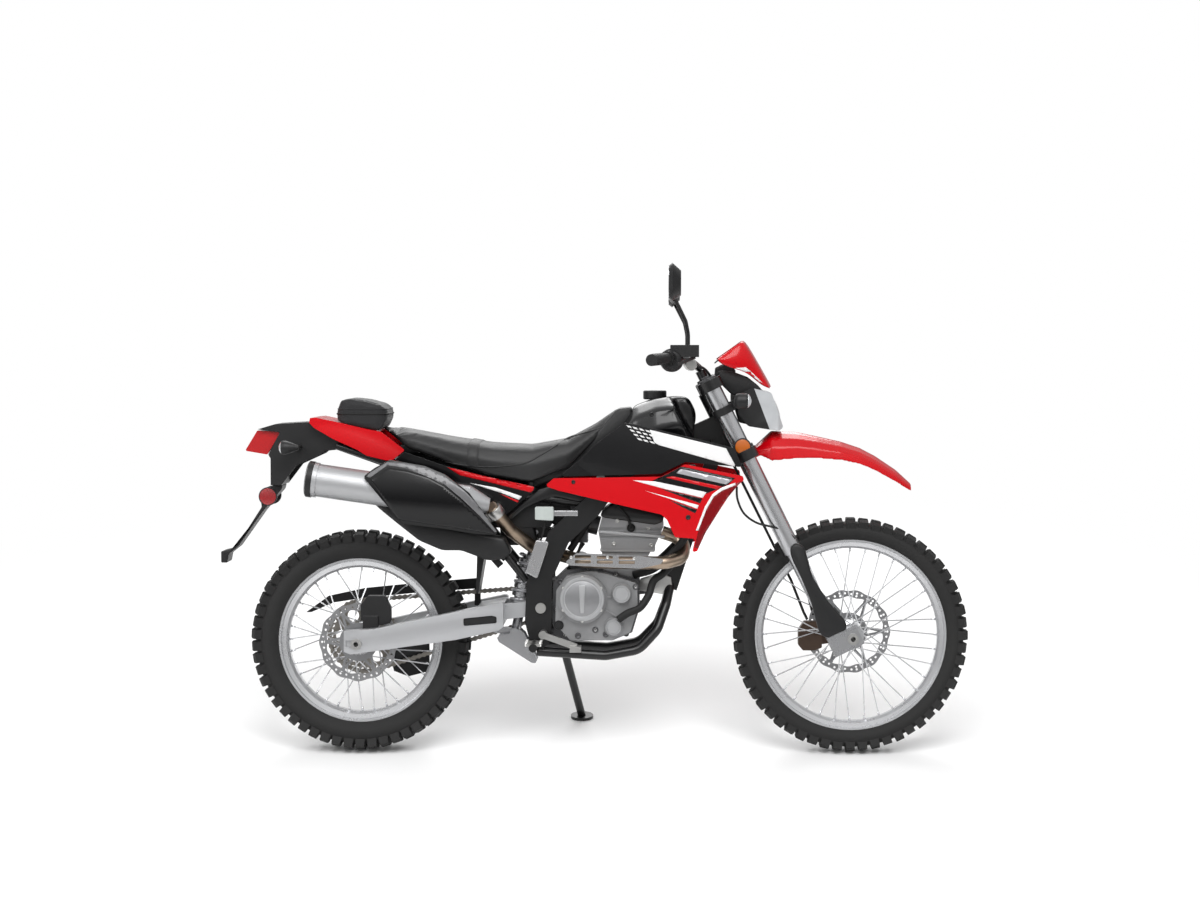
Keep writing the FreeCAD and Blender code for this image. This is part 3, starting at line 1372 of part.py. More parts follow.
noseBlock = aheadOf(-size.tankNoseBack).extrude(Vector(0, 2 * size.tankHalf, 0))
noseBlock.translate(Vector(0, -size.tankHalf, 0))
tank = tank.cut(noseBlock)
sideBlock = aheadOf(-size.tankSweepBack).extrude(Vector(0, 2 * size.tankHalf, 0))
sideBlock.translate(Vector(0, size.tankNoseHalf, 0))
tank = tank.cut(pair(sideBlock))
tunnel = beam(spineTop, spineFoot, size.spineWidth + 2 * size.seatGap, size.spineHeight + 2 * size.seatGap)
tank = tank.cut(tunnel)
tank = tank.cut(seat)
capPlace = Vector(headFoot.x - size.capSetback, 0, size.tankLowZ + size.tankHeight - size.capSink)
cap = rod(capPlace, capPlace + Vector(0, 0, size.capSink + size.capHeight), size.capRadius)
tank = tank.cut(cap)
feature("fuel_tank", tank)
primitive("Part::Cylinder", "fuel_cap", Placement(capPlace, Rotation()), Radius="Sizes.capRadius",
          Height="Sizes.capSink + Sizes.capHeight")
feature("seat", seat)

panelShare = [(0.07, 0.57), (0.18, 0.71), (0.25, 0.82), (0.33, 0.91), (0.40, 0.99), (0.45, 0.98), (0.94, 0.80), (0.985, 0.65), (0.70, 0.69), (0.58, 0.60)]
panelBandShare = [(-0.1, 0.78), (0.07, 0.82), (0.30, 0.96), (0.55, 1.02), (0.85, 1.04), (1.05, 1.0)]
bossX = tankRearX + size.panelBossLead
panelBoss = disc(size.panelBossRadius, size.tankNoseHalf, size.panelHalf, bossX, size.panelBossZ).cut(tank)
panelBoss = panelBoss.cut(disc(size.panelBossRadius, 0, size.tankNoseHalf + 2 * size.cutOverrun, bossX, size.panelBossZ))
panelBoss.translate(Vector(0, size.seatGap, 0))
panelRearX = tankRearX - size.panelLap
tankPanel = panel(panelShare, panelRearX, size.panelLowZ, size.panelLength, size.panelHeight,
                  panelBandShare, size.panelHalf, size.panelThick)
feature("tank_panels", pair(tankPanel.fuse(panelBoss)))
shroudShare = [(0, 0.50), (0.045, 0.56), (0.58, 0.58), (0.70, 0.675), (0.985, 0.585), (0.99, 0.555), (0.935, 0.48), (0.86, 0.30), (0.80, 0.15), (0.76, 0.01),
               (0.735, 0), (0.75, 0.105), (0.65, 0.115), (0.61, 0.25), (0.58, 0.29), (0.07, 0.465)]
shroudBandShare = [(-0.1, 0.72), (0.04, 0.74), (0.30, 0.88), (0.58, 0.96), (0.80, 1.02), (1.05, 0.98)]
shroud = panel(shroudShare, panelRearX, size.panelLowZ, size.panelLength, size.panelHeight,
               shroudBandShare, size.shroudHalf, size.panelThick)
shroudBosses = [
    disc(size.shroudBossRadius, size.radiatorOuter + size.seatGap, size.shroudHalf, radiatorX + size.radiatorThick / 2,
         radiatorMiddle),
    disc(size.shroudBossRadius, plateOuter + size.seatGap, size.shroudBossInner, size.crossX + size.crossLength,
         size.crossZ + size.crossHeight * 0.65),
]
feature("radiator_shrouds", pair(fused([shroud] + shroudBosses)))

coverSideShare = [(0.07, 0.98), (0.32, 0.81), (0.58, 0.67), (1.0, 0.49), (0.71, 0), (0.53, 0.08), (0.22, 0.50), (0, 0.86)]
coverBandShare = [(-0.1, 0.92), (0.15, 0.98), (0.45, 1.0), (0.75, 0.97), (1.1, 0.88)]
sideCover = panel(coverSideShare, size.coverRearX, size.coverLowZ, size.coverLength, size.coverHeight, coverBandShare,
                  size.coverHalf, size.panelThick)
bossInner = railY + size.subRadius + size.seatGap
coverBosses = [disc(size.shroudBossRadius, bossInner, size.coverHalf, point.x, point.z)
               for point in (upperRoute[1], upperRoute[1] + (upperRoute[2] - upperRoute[1]) * 0.62)]
feature("side_covers", pair(fused([sideCover] + coverBosses)))

tailShare = [(0, 0.88), (0.01, 0.99), (0.07, 1.0), (0.31, 0.885), (0.60, 0.73), (0.75, 0.67), (1.0, 0.24), (0.87, 0), (0.80, 0),
             (0.60, 0.11), (0.50, 0.25), (0.25, 0.50), (0.05, 0.76)]
tailSide = sidePlate(spread(tailShare, size.tailRearX, size.tailLowZ, size.tailLength, size.tailHeight), size.tailRound,
                     size.tailHalf - size.panelThick, size.tailHalf)
deckShare = [(0.01, 0.99), (0.07, 1.0), (0.31, 0.885), (0.60, 0.73), (0.70, 0.69), (0.70, 0.65), (0.60, 0.69), (0.31, 0.845), (0.07, 0.96), (0.01, 0.95)]
deck = sidePlate(spread(deckShare, size.tailRearX, size.tailLowZ, size.tailLength, size.tailHeight), 0, -size.tailHalf, size.tailHalf)
tailPanels = fused([tailSide, mirrored(tailSide), deck])

fenderShare = [(1.0, 0.0), (0.65, 0.33), (0.37, 0.62), (0.31, 0.60), (0.29, 0.55), (0.18, 0.40), (0.11, 0.13), (0.06, 0.13), (0.06, 0.50), (0.05, 0.55), (0.105, 0.86),
               (0.0, 0.90), (0.08, 0.97), (0.24, 1.0), (0.37, 0.87), (0.65, 0.48), (1.0, 0.10)]
fenderOutline = spread(fenderShare, size.fenderRearX, size.fenderLowZ, size.fenderLength, size.fenderHeight)
fender = sidePlate(fenderOutline, 0, -size.fenderHalf, size.fenderHalf)
fenderSolid = fender
hollow = sidePlate(fenderOutline, 0, -size.fenderHalf + size.panelThick, size.fenderHalf - size.panelThick)
hollow.translate(Vector(0, 0, -2 * size.panelThick))
for x, z in tiePlaces:
    fender = fender.cut(disc(size.tieRadius + size.workGap, -railY, railY, x, z))
hollow = hollow.common(block(size.rearSignalX - size.tieRadius, -size.fenderHalf, 0, size.wheelbase, 2 * size.fenderHalf,
                             size.wheelbase))
fender = fender.cut(hollow)
feature("rear_fender", fender)

tailRib = block(size.tailRibX, -size.tailRibHalf, size.tailRibLow, size.tailRibLength, 2 * size.tailRibHalf,
                size.tailRibTop - size.tailRibLow).cut(fenderSolid)
tailRib.translate(Vector(0, 0, size.seatGap))
feature("tail_panels", fused([tailPanels, tailRib]))

tailLampShare = [(0.35, 1), (1, 0.929), (0.631, 0), (0, 0.157)]
tailLamp = sidePlate(spread(tailLampShare, size.tailLampX, size.tailLampZ, size.tailLampLength, size.tailLampHeight),
                     size.tailRound, -size.lampHalf, size.lampHalf)


def bulb(start, radius, length):
    """A signal lamp's body: a barrel along X with rounded ends."""
    rim = radius / 3
    profile = [(0, 0), (radius - rim, 0), (radius, rim), (radius, length - rim), (radius - rim, length), (0, length)]
    face = Part.Face(wire([start + Vector(along, 0, r) for r, along in profile], [0, rim, rim, rim, rim, 0]))
    return face.revolve(start, Vector(1, 0, 0), 360)


signal = bulb(Vector(size.rearSignalX, size.signalSpread, size.rearSignalZ), size.signalRadius, size.signalLength)
stalk = disc(size.stalkRadius, size.fenderHalf + size.seatGap, size.signalSpread, size.rearStalkX, size.rearSignalZ)
signal = fused([signal, stalk])
feature("rear_lamps", Part.makeCompound([tailLamp, signal, mirrored(signal)]))
holderShare = [(0.841, 1), (1, 1), (0.984, 0.943), (0.681, 0.662), (0.275, 0.206), (0.126, 0.11), (0.099, 0), (0, 0), (0, 0.145),
               (0.148, 0.171), (0.275, 0.241), (0.659, 0.715), (0.643, 0.829)]
padAcross(newBody("plate_holder"), spread(holderShare, size.plateRearX, size.plateLowZ - size.seatGap, size.holderLength,
                                         size.holderHeight), 0, "2 * Sizes.bracketHalf")

bagShare = [(0, 0.6), (0.08, 0.96), (0.25, 1.0), (0.55, 0.95), (0.85, 0.82), (1.0, 0.68), (1.0, 0.42), (0.90, 0.12), (0.83, 0.02), (0.55, 0.09), (0.17, 0.22), (0.01, 0.32)]
bag = sidePlate(spread(bagShare, size.bagRearX, size.bagLowZ, size.bagLength, size.bagHeight), size.headRound,
                -size.bagHalf, size.bagHalf)
bagPlan = slab(flat([(size.bagRearX, -size.bagHalf), (size.bagRearX + size.bagLength, -size.bagHalf),
                     (size.bagRearX + size.bagLength, size.bagHalf), (size.bagRearX, size.bagHalf)]), 2 * size.bagRound,
               Vector(0, 0, size.wheelbase))
bag = bag.common(bagPlan)
bag.translate(Vector(0, 0, -size.bagSink))
feature("tool_bag", bag.cut(seat).cut(tailPanels))

plateSeat = plateOuter + size.seatGap
pegs = [rod(Vector(size.pegX, -plateSeat, size.pegZ), Vector(size.pegX, -size.pegHalf, size.pegZ), size.pegRadius)]
railOuter = -railY - size.subRadius - size.seatGap
pillionShare = [(0.5, 0), (0, 0.487), (0.516, 1), (1, 0.59)]
pillionY = railOuter - size.pillionPlace
pegs.append(fused([
    sidePlate(spread(pillionShare, size.pillionX, size.pillionZ, size.pillionLength, size.pillionHeight), size.caliperRound,
              railOuter - size.pillionThick, railOuter),
    beam(Vector(size.pillionFootX, pillionY, size.pillionFootZ), Vector(size.pillionTipX, pillionY, size.pillionTipZ),
         size.pillionWidth, size.pillionDeep),
]))
feature("foot_pegs", Part.makeCompound([item for peg in pegs for item in (peg, mirrored(peg))]))
armY = -size.pedalArmHalf
pedal = fused([
    rod(Vector(size.pedalX, -plateSeat, size.pedalZ), Vector(size.pedalX, -size.pedalHalf, size.pedalZ), size.pedalRadius),
    beam(Vector(size.pedalX, armY, size.pedalZ), Vector(size.pedalTipX, armY, size.pedalTipZ), size.pedalArmWidth,
         size.pedalArmHeight),
    block(size.pedalPadX, -size.pedalPadInner - size.pedalPadWidth, size.pedalPadZ, size.pedalPadLength, size.pedalPadWidth,
          size.pedalPadThick),
])
shifter = fused([
    disc(size.shifterRadius, size.caseLeftY, size.pedalHalf, size.shifterX, size.pedalZ),
    beam(Vector(size.shifterX, -armY, size.pedalZ), Vector(size.shifterTipX, -armY, size.shifterTipZ), size.shifterRadius,
         size.shifterArmHeight),
    disc(size.shifterPadRadius, size.shifterPadInner, size.shifterPadOuter, size.shifterTipX, size.shifterTipZ),
])
feature("foot_controls", Part.makeCompound([pedal, shifter]))
masterShare = [(0, 0.162), (0.456, 1), (1, 0.955), (0.824, 0.604), (0.5, 0)]
master = sidePlate(spread(masterShare, size.masterX, size.masterZ, size.masterLength, size.masterHeight), size.masterRound,
                   -plateSeat - size.masterThick, -plateSeat)
reservoirShare = [(0, 0.075), (0, 1), (1, 1), (1, 0)]
reservoir = fused([
    sidePlate(spread(reservoirShare, size.reservoirX, size.reservoirZ, size.reservoirLength, size.reservoirHeight),
              size.tailRound, -plateSeat - size.reservoirThick, -plateSeat),
    block(size.reservoirEarX - size.tieRadius, -plateSeat - size.panelThick, size.reservoirEarZ,
          size.reservoirEar + size.tieRadius, size.panelThick, size.reservoirEarHeight),
])
feature("rear_master_cylinder", Part.makeCompound([master, reservoir]))

# Steering, drawn along the steering axis: X forward of it, Z up along it
top = size.forkTopS
seam = size.forkSeamS
u = size.forkOffset
v = size.forkSpread
outer = size.outerTubeRadius


def upright(radius, low, high, forward=0, aside=0):
    """A round bar along the steering axis."""
    return Part.makeCylinder(radius, high - low, Vector(forward, aside, low))


footTop = axleS + size.legFootRise
leg = fused([
    upright(outer, seam, top, u, v),
    upright(size.innerTubeRadius, footTop, seam, u, v),
    block(u - outer, v - outer, axleS - size.legFootDrop, axleU - u + outer + size.legFootLead, 2 * outer, size.legFootHeight),
]).cut(disc(size.axleRadius, 0, 2 * v, axleU, axleS))
feature("fork_tubes", pair(leg), steerPlace)
throughBolt("front_axle", size.axleRadius, size.axleNutRadius, v + outer, size.axleNutThick, size.axleBore).Placement = (
    steerPlace.multiply(Placement(Vector(axleU, 0, axleS), Rotation())))

shieldLow = axleS + size.forkGuardRise
shieldHigh = shieldLow + size.forkGuardHeight
shield = upright(outer + size.forkGuardThick, shieldLow, shieldHigh, u, v)
shield = shield.cut(upright(outer + size.seatGap, shieldLow, shieldHigh, u, v))
shield = shield.common(block(u - size.forkGuardBack, v - 2 * outer, shieldLow, 2 * outer, 4 * outer, size.forkGuardHeight))
feature("fork_guards", pair(shield), steerPlace)

yokeShare = [(-0.42, -0.20), (-0.11, -0.63), (-0.14, -1), (0.53, -1), (0.67, -0.41)]


def yoke(low):
    """A fork clamp: a plate between the legs with a ring round each, seen along the axis."""
    rim = outer + size.clampRim
    half = [Vector(a * 2 * rim * 0.77, b * v, low) for a, b in yokeShare]
    outline = half + [Vector(point.x, -point.y, low) for point in reversed(half)]
    plate = slab(outline, size.clampRound, Vector(0, 0, size.clampThick))
    for side in (-1, 1):
        plate = plate.fuse(upright(rim, low, low + size.clampThick, u, side * v))
        plate = plate.cut(upright(outer, low, low + size.clampThick, u, side * v))
    return plate


yokeTop = size.upperClampS + size.clampThick
barS = yokeTop + size.riserHeight + size.barRadius
stem = upright(size.stemRadius, size.lowerClampS, yokeTop + size.stemRise)
riser = [upright(size.riserRadius, yokeTop, yokeTop + size.riserHeight, size.riserU, side * size.riserSpread)
         for side in (-1, 1)]
clamps = fused([yoke(size.lowerClampS), yoke(size.upperClampS), stem] + riser)
inverse = steerPlace.inverse()
barMid = steerPlace.multVec(Vector(size.riserU, 0, barS))


def ahead(forward, aside, up):
    """A point of the upright machine, from the foot of the steering head."""
    return Vector(headFoot.x + forward, aside, headFoot.z + up)


rightBar = [
    ahead(-size.barEndBack, -size.barHalfWidth, size.barEndRise),
    ahead(-size.barBendBack, -size.barBendHalf, size.barBendRise),
    ahead(-size.barRiseBack, -size.barRiseHalf, size.barRiseRise),
    Vector(barMid.x, -size.barFootHalf, barMid.z),
]
barRoute = rightBar + [Vector(point.x, -point.y, point.z) for point in reversed(rightBar)]
bar = tube(barRoute, size.barRadius, size.barBend)
feature("triple_clamps", clamps.cut(bar.transformed(inverse.toMatrix())), steerPlace)
feature("handlebar", bar)

along = (barRoute[1] - barRoute[0]).normalize()
grip = rod(barRoute[0] - along * size.gripLap, barRoute[0] + along * size.gripLength, size.gripRadius)
flange = rod(barRoute[0] + along * (size.gripLength - size.perchGap), barRoute[0] + along * size.gripLength, size.perchRadius)
grip = grip.fuse(flange).cut(bar)
feature("grips", pair(grip))

inner = barRoute[0] + along * (size.gripLength + size.perchGap)
perchLow = headFoot.z + size.perchRise
perch = fused([
    rod(inner, inner + along * size.perchLength, size.perchRadius),
    block(headFoot.x - size.perchBack, -size.perchInner - size.perchWidth, perchLow, size.perchBlockLength, size.perchWidth,
          size.perchBlockHeight),
    beam(ahead(-size.leverBack, -size.leverInner, size.perchRise), ahead(-size.leverTipBack, -size.leverOuter, size.leverTipRise),
         size.leverWidth, size.leverThick),
]).cut(bar).cut(grip)
feature("hand_controls", pair(perch))

mirrorShare = [(0.0, 0.86), (0.3, 1.0), (1.0, 0.62)]
mirrorMiddle = -size.mirrorInner - size.mirrorWidth / 2
sections = []
for a, grow in mirrorShare:
    half = grow * size.mirrorWidth / 2
    tall = grow * size.mirrorHeight / 2
    middle = headFoot.z + size.mirrorRise + size.mirrorHeight / 2
    x = headFoot.x - size.mirrorBack + a * size.mirrorDeep
    sections.append([Vector(x, mirrorMiddle + b * half, middle + c * tall) for b, c in ((-1, -0.8), (1, -1), (0.86, 1), (-0.9, 0.9))])
mirrorHead = stations(sections, size.mirrorRound)
stemFoot = ahead(-size.mirrorStemBack, -size.mirrorStemHalf, size.perchRise + size.perchBlockHeight + size.seatGap)
mirrorStem = tube([
    stemFoot,
    stemFoot + Vector(0, 0, size.mirrorStemRise),
    stemFoot + Vector(size.mirrorStemBack - size.mirrorElbowBack, size.mirrorStemHalf - size.mirrorElbowHalf, size.mirrorElbowRise),
    stemFoot + Vector(size.mirrorStemBack - size.mirrorNeckBack, size.mirrorStemHalf - size.mirrorNeckHalf, size.mirrorNeckRise),
], size.mirrorStemRadius, size.mirrorBend)
feature("mirrors", pair(fused([mirrorHead, mirrorStem])))

lampX = headFoot.x - size.lampBack
lampZ = headFoot.z + size.lampRise
lampShellShare = [(0, 0.839), (0.303, 1), (0.727, 0.903), (1, 0.081), (0.894, 0), (0.227, 0.113), (0, 0.395)]
maskX = headFoot.x - size.maskBack
maskZ = headFoot.z + size.maskRise
maskShare = [(0, 0.653), (0.425, 0.986), (0.49, 1), (1, 0.043), (0.948, 0), (0.569, 0.369), (0.098, 0.525)]
maskOutline = spread(maskShare, maskX, maskZ, size.maskLength, size.maskHeight)
mask = sidePlate(maskOutline, size.tailRound, -size.maskHalf, size.maskHalf)
maskHollow = sidePlate(maskOutline, size.tailRound, -size.maskHalf + size.panelThick, size.maskHalf - size.panelThick)
maskHollow.translate(Vector(-size.panelThick - size.gripLap, 0, -size.panelThick - size.gripLap))
maskPlanShare = [(-0.2, -1), (0.45, -1), (1.02, -0.52), (1.02, 0.52), (0.45, 1), (-0.2, 1)]
maskPlan = slab(flat([(maskX + a * size.maskLength, b * size.maskHalf) for a, b in maskPlanShare]), 2 * size.lampRound,
                Vector(0, 0, size.wheelbase))
mask = mask.cut(maskHollow).common(maskPlan)
ringLow = size.stayS
stay = upright(outer + size.stayRim, ringLow, ringLow + size.stayHeight, u, v)
stay = stay.fuse(block(u + 2 * size.stemRise + size.stayRim, size.stayInner, ringLow, size.stayReach, size.stayWidth,
                       size.stayHeight))
stay = stay.cut(upright(outer + size.seatGap, ringLow, ringLow + size.stayHeight, u, v))
stay = stay.transformed(steerPlace.toMatrix())
lampBody = sidePlate(spread(lampShellShare, lampX, lampZ, size.lampLength, size.lampHeight), size.lampRound,
                     -size.lampShellHalf, size.lampShellHalf)
lampPlanShare = [(-0.2, -1.3), (0.7, -1.3), (1.05, -0.72), (1.05, 0.72), (0.7, 1.3), (-0.2, 1.3)]
lampPlan = slab(flat([(lampX + a * size.lampLength, b * size.lampShellHalf) for a, b in lampPlanShare]), size.lampFaceRound,
                Vector(0, 0, size.wheelbase))
feature("headlamp", fused([lampBody.common(lampPlan), stay, mirrored(stay)]).cut(mask))
feature("headlamp_mask", mask)

clampFace = u + size.stayHeight + size.seatGap
dashShare = [(0, 0.077), (0, 0.577), (0.22, 1), (1, 1), (1, 0.35), (0.8, 0)]
dashLow = size.upperClampS
dash = [Vector(clampFace + a * size.dashLength, -size.clampFaceHalf, dashLow + b * size.dashHeight) for a, b in dashShare]
feature("instrument", slab(dash, size.tailRound, Vector(0, 2 * size.clampFaceHalf, 0)), steerPlace)
signalPlace = ahead(-size.frontSignalBack, -size.frontSignalHalf, size.frontSignalRise)
frontStalk = disc(size.stalkRadius, size.frontStalkInner + size.seatGap, size.frontSignalHalf,
                  signalPlace.x + size.frontSignalLength / 2, signalPlace.z)
frontSignal = bulb(signalPlace, size.signalRadius, size.frontSignalLength)
feature("front_turn_signals", pair(fused([mirrored(frontSignal), frontStalk])))

fenderStations = [(0, 0.644, 0.746, 0.732), (0.105, 0.52, 1, 0.976), (0.272, 0.565, 0.977, 1), (0.40, 0.56, 0.91, 0.98),
                  (0.548, 0.531, 0.825, 0.927), (0.67, 0.46, 0.72, 0.85), (0.768, 0.35, 0.588, 0.756), (0.90, 0.16, 0.36, 0.60),
                  (1, 0, 0.124, 0.32)]
fenderRingShare = [(-1, 0), (-0.94, 0.45), (-0.72, 0.75), (-0.34, 0.93), (0, 1), (0.34, 0.93), (0.72, 0.75), (0.94, 0.45), (1, 0)]
fenderX = headFoot.x + size.frontFenderLead
fenderZ = headFoot.z - size.frontFenderDrop
sections = []
skin = size.panelThick
for a, low, high, wide in fenderStations:
    x = fenderX + a * size.frontFenderLength
    zb = fenderZ + low * size.frontFenderHeight
    zt = fenderZ + high * size.frontFenderHeight
    half = wide * size.frontFenderHalf
    ring = [(b * half, zb + c * (zt - zb)) for b, c in fenderRingShare]
    inner = [(b * (half - skin), zb + c * (zt - zb - skin)) for b, c in reversed(fenderRingShare)]
    sections.append(crossView(ring + inner, x))
frontFender = stations(sections)
tongueS = size.lowerClampS - size.seatGap - size.tongueDrop
tongueHalfPlan = [(-size.tongueBack, -size.tongueNarrow), (size.tongueStep, -size.tongueNarrow),
                  (size.tongueStep, -size.tongueHalf), (size.tongueEnd, -size.tongueHalf)]
tonguePlan = tongueHalfPlan + [(forward, -aside) for forward, aside in reversed(tongueHalfPlan)]
tongue = slab(flat(tonguePlan, tongueS), 0, Vector(0, 0, size.tongueDrop)).transformed(steerPlace.toMatrix())
feature("front_fender", fused([frontFender, tongue]))

frontCarrierShare = [(0, 0), (1, 0.192), (1, 0.962), (0, 1)]
carrierLow = size.frontDiscPlace + size.discThick
frontCarrier = sidePlate(
    spread(frontCarrierShare, size.wheelbase - size.frontCarrierBack, size.frontTyreRadius - size.frontCarrierDrop,
           size.frontCarrierLength, size.frontCarrierHeight), size.guardThick, carrierLow, carrierLow + size.carrierThick)
frontCaliper = caliper("front_caliper", size.wheelbase - size.frontCaliperBack, size.frontTyreRadius - size.frontCaliperDrop,
                       size.frontCaliperLength, size.rearCaliperHeight, size.frontDiscPlace, size.frontDiscRadius,
                       (size.wheelbase, size.frontTyreRadius), frontCarrier)
frontCaliper.Shape = frontCaliper.Shape.cut(leg.transformed(steerPlace.toMatrix()))

hoseBack = u - outer - size.clampRim - size.hoseRadius - size.seatGap
hose = tube([Vector(hoseBack, v, size.hoseTopS), Vector(hoseBack, v, size.hoseMidS),
             Vector(hoseBack, v - size.forkOffset, size.hoseLowS), Vector(size.hoseEndU, size.hoseEndV, size.hoseBendS),
             Vector(size.hoseEndU, size.hoseEndV, size.hoseEndS)], size.hoseRadius, size.hoseBend)
feature("brake_hose", hose, steerPlace)

# Side stand
foot = Vector(size.standFootX, size.standFootY, 0)
floorAtFoot = (size.standFootY - size.treadHalf) * math.tan(lean)
foot.z = floorAtFoot + size.standFootThick
floorUp = Vector(0, -math.sin(lean), math.cos(lean))
footBase = Vector(foot.x, foot.y, floorAtFoot)
standPad = Part.makeCylinder(size.standFootRadius, size.standFootThick, footBase, floorUp)
standLeg = rod(pivot, footBase + floorUp * (size.standFootThick / 2), size.standTubeRadius)
standLeg = standLeg.common(Part.makeCylinder(size.wheelbase, size.wheelbase, footBase, floorUp))
standEye = rod(pivot - standAxis * size.standEyeHalf, pivot + standAxis * size.standEyeHalf, size.standEyeRadius)
feature("side_stand", fused([standPad, standLeg, standEye]))

# The lean onto the stand, and the origin under the middle of the bounding box
leanPlace = Placement(Vector(0, 0, 0), Rotation(Vector(1, 0, 0), -size.leanAngle))
doc.recompute()
for item in pieces:
    item.Placement = leanPlace.multiply(item.Placement)
bounds = FreeCAD.BoundBox()
for item in pieces:
    bounds.add(item.Shape.optimalBoundingBox(False))
shift = Placement(Vector(-bounds.Center.x, -bounds.Center.y, -bounds.ZMin), Rotation())
for item in pieces:
    item.Placement = shift.multiply(item.Placement)
doc.recompute()
print("lean and shift", shift.Base, "size", bounds.XLength, bounds.YLength, bounds.ZLength)

for item in doc.Objects:
    if "Invalid" in item.State or "Error" in item.State:
        raise RuntimeError("failed: " + item.Label)
for item in pieces:
    if item.Shape.isNull() or not item.Shape.isValid():
        raise RuntimeError("no valid shape: " + item.Label)
os.makedirs("parts", exist_ok=True)
for item in pieces:
    item.Shape.exportStep("parts/" + item.Label + ".step")
print(len(pieces), "nodes")
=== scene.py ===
import json
import math

import bmesh
import bpy
from mathutils import Matrix, Vector
from mathutils.bvhtree import BVHTree

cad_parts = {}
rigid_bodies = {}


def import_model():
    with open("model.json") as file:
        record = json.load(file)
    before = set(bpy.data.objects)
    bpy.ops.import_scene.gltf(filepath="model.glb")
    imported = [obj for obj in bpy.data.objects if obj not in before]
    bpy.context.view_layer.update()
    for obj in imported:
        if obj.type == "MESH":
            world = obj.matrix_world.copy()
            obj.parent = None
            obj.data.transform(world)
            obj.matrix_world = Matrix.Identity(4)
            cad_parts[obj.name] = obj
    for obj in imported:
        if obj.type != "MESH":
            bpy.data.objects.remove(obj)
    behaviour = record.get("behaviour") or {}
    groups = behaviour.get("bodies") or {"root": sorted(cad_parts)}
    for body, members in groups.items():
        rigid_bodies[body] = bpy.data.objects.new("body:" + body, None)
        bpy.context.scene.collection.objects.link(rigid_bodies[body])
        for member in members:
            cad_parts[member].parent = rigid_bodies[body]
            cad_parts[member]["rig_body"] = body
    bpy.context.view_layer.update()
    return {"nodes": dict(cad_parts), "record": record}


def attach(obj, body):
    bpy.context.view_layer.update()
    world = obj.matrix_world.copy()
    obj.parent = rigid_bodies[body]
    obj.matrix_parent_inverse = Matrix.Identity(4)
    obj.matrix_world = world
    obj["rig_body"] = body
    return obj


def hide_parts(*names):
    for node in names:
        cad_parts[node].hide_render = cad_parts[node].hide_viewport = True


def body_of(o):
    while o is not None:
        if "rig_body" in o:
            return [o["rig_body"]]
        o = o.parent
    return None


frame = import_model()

record = frame["record"]
joints = {joint["name"]: joint for joint in record["behaviour"]["joints"]}
scene = bpy.context.scene

machine = {
    "leanDegrees": 10.0,          # to its left, onto the side stand
    "rakeDegrees": 26.5,
    "wheelbase": 1430.0,          # millimetres, as all sizes in the machine's own axes
    "rearRadius": 322.0,
    "frontRadius": 341.0,
    "trail": 105.0,
}

# The machine's own axes: X ahead of the rear axle, Y to its left, Z up from the ground, upright
leanTurn = Matrix.Rotation(-math.radians(machine["leanDegrees"]), 3, "X")
rearAxle = Vector(joints["rear_wheel_spin"]["pos_m"])
machineBase = rearAxle - leanTurn @ Vector((0, 0, machine["rearRadius"] / 1000))
machineFrame = Matrix.Translation(machineBase) @ leanTurn.to_4x4() @ Matrix.Scale(0.001, 4)


def place(x, y, z):  # from the machine's axes, in millimetres, to the frame
    return machineFrame @ Vector((x, y, z))


def direction(x, y, z):
    return (leanTurn @ Vector((x, y, z))).normalized()


bothSides = ((-1, "right"), (1, "left"))
print("frame loaded:", len(frame["nodes"]), "nodes")


# Shader groups that several finishes share

def newGroup(name, inputs, outputs):
    group = bpy.data.node_groups.new(name, "ShaderNodeTree")
    for label, kind, value in inputs:
        socket = group.interface.new_socket(label, in_out="INPUT", socket_type=kind)
        if value is not None:
            socket.default_value = value
    for label, kind in outputs:
        group.interface.new_socket(label, in_out="OUTPUT", socket_type=kind)
    start = group.nodes.new("NodeGroupInput")
    end = group.nodes.new("NodeGroupOutput")
    return group, start, end


def mixColour(tree, factor, first, second):
    node = tree.nodes.new("ShaderNodeMix")
    node.data_type = "RGBA"
    tree.links.new(factor, node.inputs[0])
    tree.links.new(first, node.inputs[6])
    tree.links.new(second, node.inputs[7])
    return node.outputs[2]


def mathNode(tree, operation, first, second=None):
    node = tree.nodes.new("ShaderNodeMath")
    node.operation = operation
    for index, value in enumerate((first, second)):
        if value is None:
            continue
        if isinstance(value, (int, float)):
            node.inputs[index].default_value = value
        else:
            tree.links.new(value, node.inputs[index])
    return node.outputs[0]


def stretched(tree, vector, scale):
    node = tree.nodes.new("ShaderNodeMapping")
    tree.links.new(vector, node.inputs["Vector"])
    node.inputs["Scale"].default_value = scale
    return node.outputs["Vector"]


def noise(tree, vector, scale, detail=3.0, rough=0.5):
    node = tree.nodes.new("ShaderNodeTexNoise")
    tree.links.new(vector, node.inputs["Vector"])
    if isinstance(scale, (int, float)):
        node.inputs["Scale"].default_value = scale
    else:
        tree.links.new(scale, node.inputs["Scale"])
    node.inputs["Detail"].default_value = detail
    node.inputs["Roughness"].default_value = rough
    return node.outputs["Fac"]


